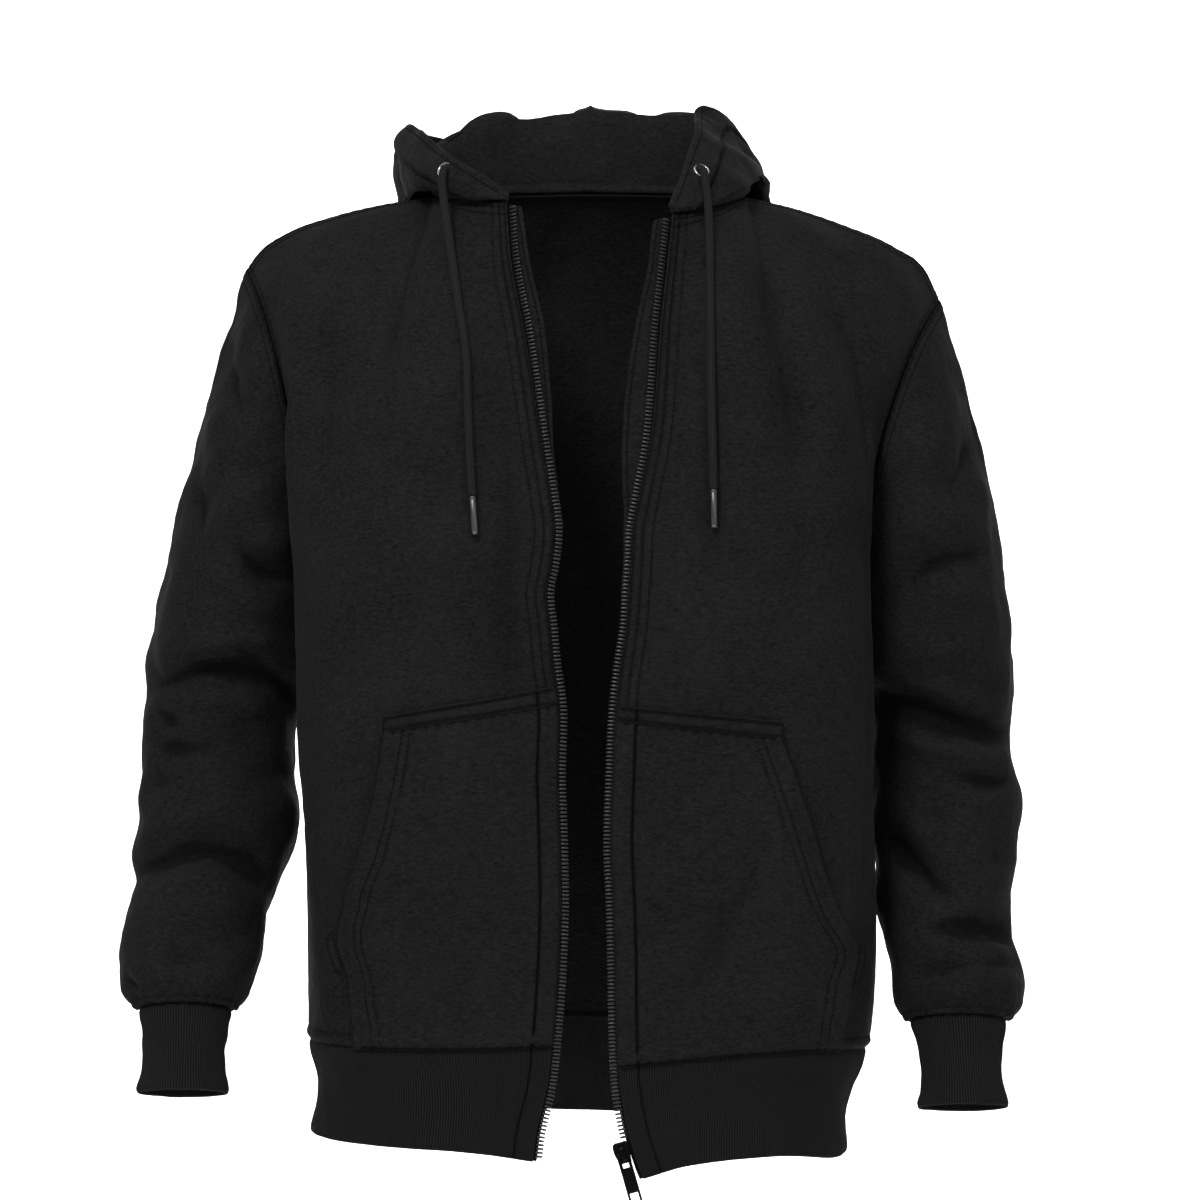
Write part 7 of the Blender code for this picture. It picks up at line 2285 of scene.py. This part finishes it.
class HOODIE_OT_ribs(bpy.types.Operator):
    """Make the rib knit hem band"""

    bl_idname = "hoodie.ribs"
    bl_label = "Hem band"

    def execute(self, context):
        make_hem()
        return {"FINISHED"}


class HOODIE_OT_body(bpy.types.Operator):
    """Make the back and both fronts"""

    bl_idname = "hoodie.body"
    bl_label = "Body"

    def execute(self, context):
        make_back()
        for side in SIDES:
            make_front(side)
        return {"FINISHED"}


class HOODIE_OT_sleeves(bpy.types.Operator):
    """Make the sleeves with their cuffs"""

    bl_idname = "hoodie.sleeves"
    bl_label = "Sleeves and cuffs"

    def execute(self, context):
        for side in SIDES:
            make_sleeve(side)
            make_cuff(side)
        return {"FINISHED"}


class HOODIE_OT_hood(bpy.types.Operator):
    """Make both halves of the hood"""

    bl_idname = "hoodie.hood"
    bl_label = "Hood"

    def execute(self, context):
        for side in SIDES:
            make_hood(side)
        return {"FINISHED"}


class HOODIE_OT_pockets(bpy.types.Operator):
    """Make the pocket halves with their strips and patches"""

    bl_idname = "hoodie.pockets"
    bl_label = "Pockets"

    def execute(self, context):
        for side in SIDES:
            make_pocket(side)
        return {"FINISHED"}


class HOODIE_OT_zip(bpy.types.Operator):
    """Make the zip tapes, the teeth and the inner facings"""

    bl_idname = "hoodie.zip"
    bl_label = "Zip"

    def execute(self, context):
        for side in SIDES:
            make_zip_side(side)
        return {"FINISHED"}


class HOODIE_OT_slider(bpy.types.Operator):
    """Make the zip slider and its pull tab"""

    bl_idname = "hoodie.slider"
    bl_label = "Slider and pull tab"

    def execute(self, context):
        make_slider()
        return {"FINISHED"}


class HOODIE_OT_drawcord(bpy.types.Operator):
    """Make the eyelets and the free ends of the drawcord"""

    bl_idname = "hoodie.drawcord"
    bl_label = "Drawcord"

    def execute(self, context):
        for side in SIDES:
            make_eyelet(side)
            make_drawcord(side)
        return {"FINISHED"}


OPERATORS = (
    HOODIE_OT_stage,
    HOODIE_OT_finishes,
    HOODIE_OT_drawcord,
    HOODIE_OT_ribs,
    HOODIE_OT_body,
    HOODIE_OT_sleeves,
    HOODIE_OT_hood,
    HOODIE_OT_pockets,
    HOODIE_OT_zip,
    HOODIE_OT_slider,
)


class HOODIE_PT_panel(bpy.types.Panel):
    """Sizes, colours and makers of the hoodie"""

    bl_label = "Zip Up Hoodie"
    bl_idname = "HOODIE_PT_panel"
    bl_space_type = "VIEW_3D"
    bl_region_type = "UI"
    bl_category = "Hoodie"

    def draw(self, context):
        for settings in (context.scene.hoodie_sizes, context.scene.hoodie_finish):
            box = self.layout.box()
            for key in settings.__annotations__:
                box.prop(settings, key)
        for operator in OPERATORS:
            self.layout.operator(operator.bl_idname)


CLASSES = (HoodieSizes, HoodieFinish, *OPERATORS, HOODIE_PT_panel)


def register():
    for item in CLASSES:
        bpy.utils.register_class(item)
    bpy.types.Scene.hoodie_sizes = PointerProperty(type=HoodieSizes)
    bpy.types.Scene.hoodie_finish = PointerProperty(type=HoodieFinish)


def unregister():
    del bpy.types.Scene.hoodie_finish
    del bpy.types.Scene.hoodie_sizes
    for item in reversed(CLASSES):
        bpy.utils.unregister_class(item)


def main():
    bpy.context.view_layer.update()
    register()
    for operator in OPERATORS:
        group, label = operator.bl_idname.split(".")
        getattr(getattr(bpy.ops, group), label)()


if __name__ == "__main__":
    main()
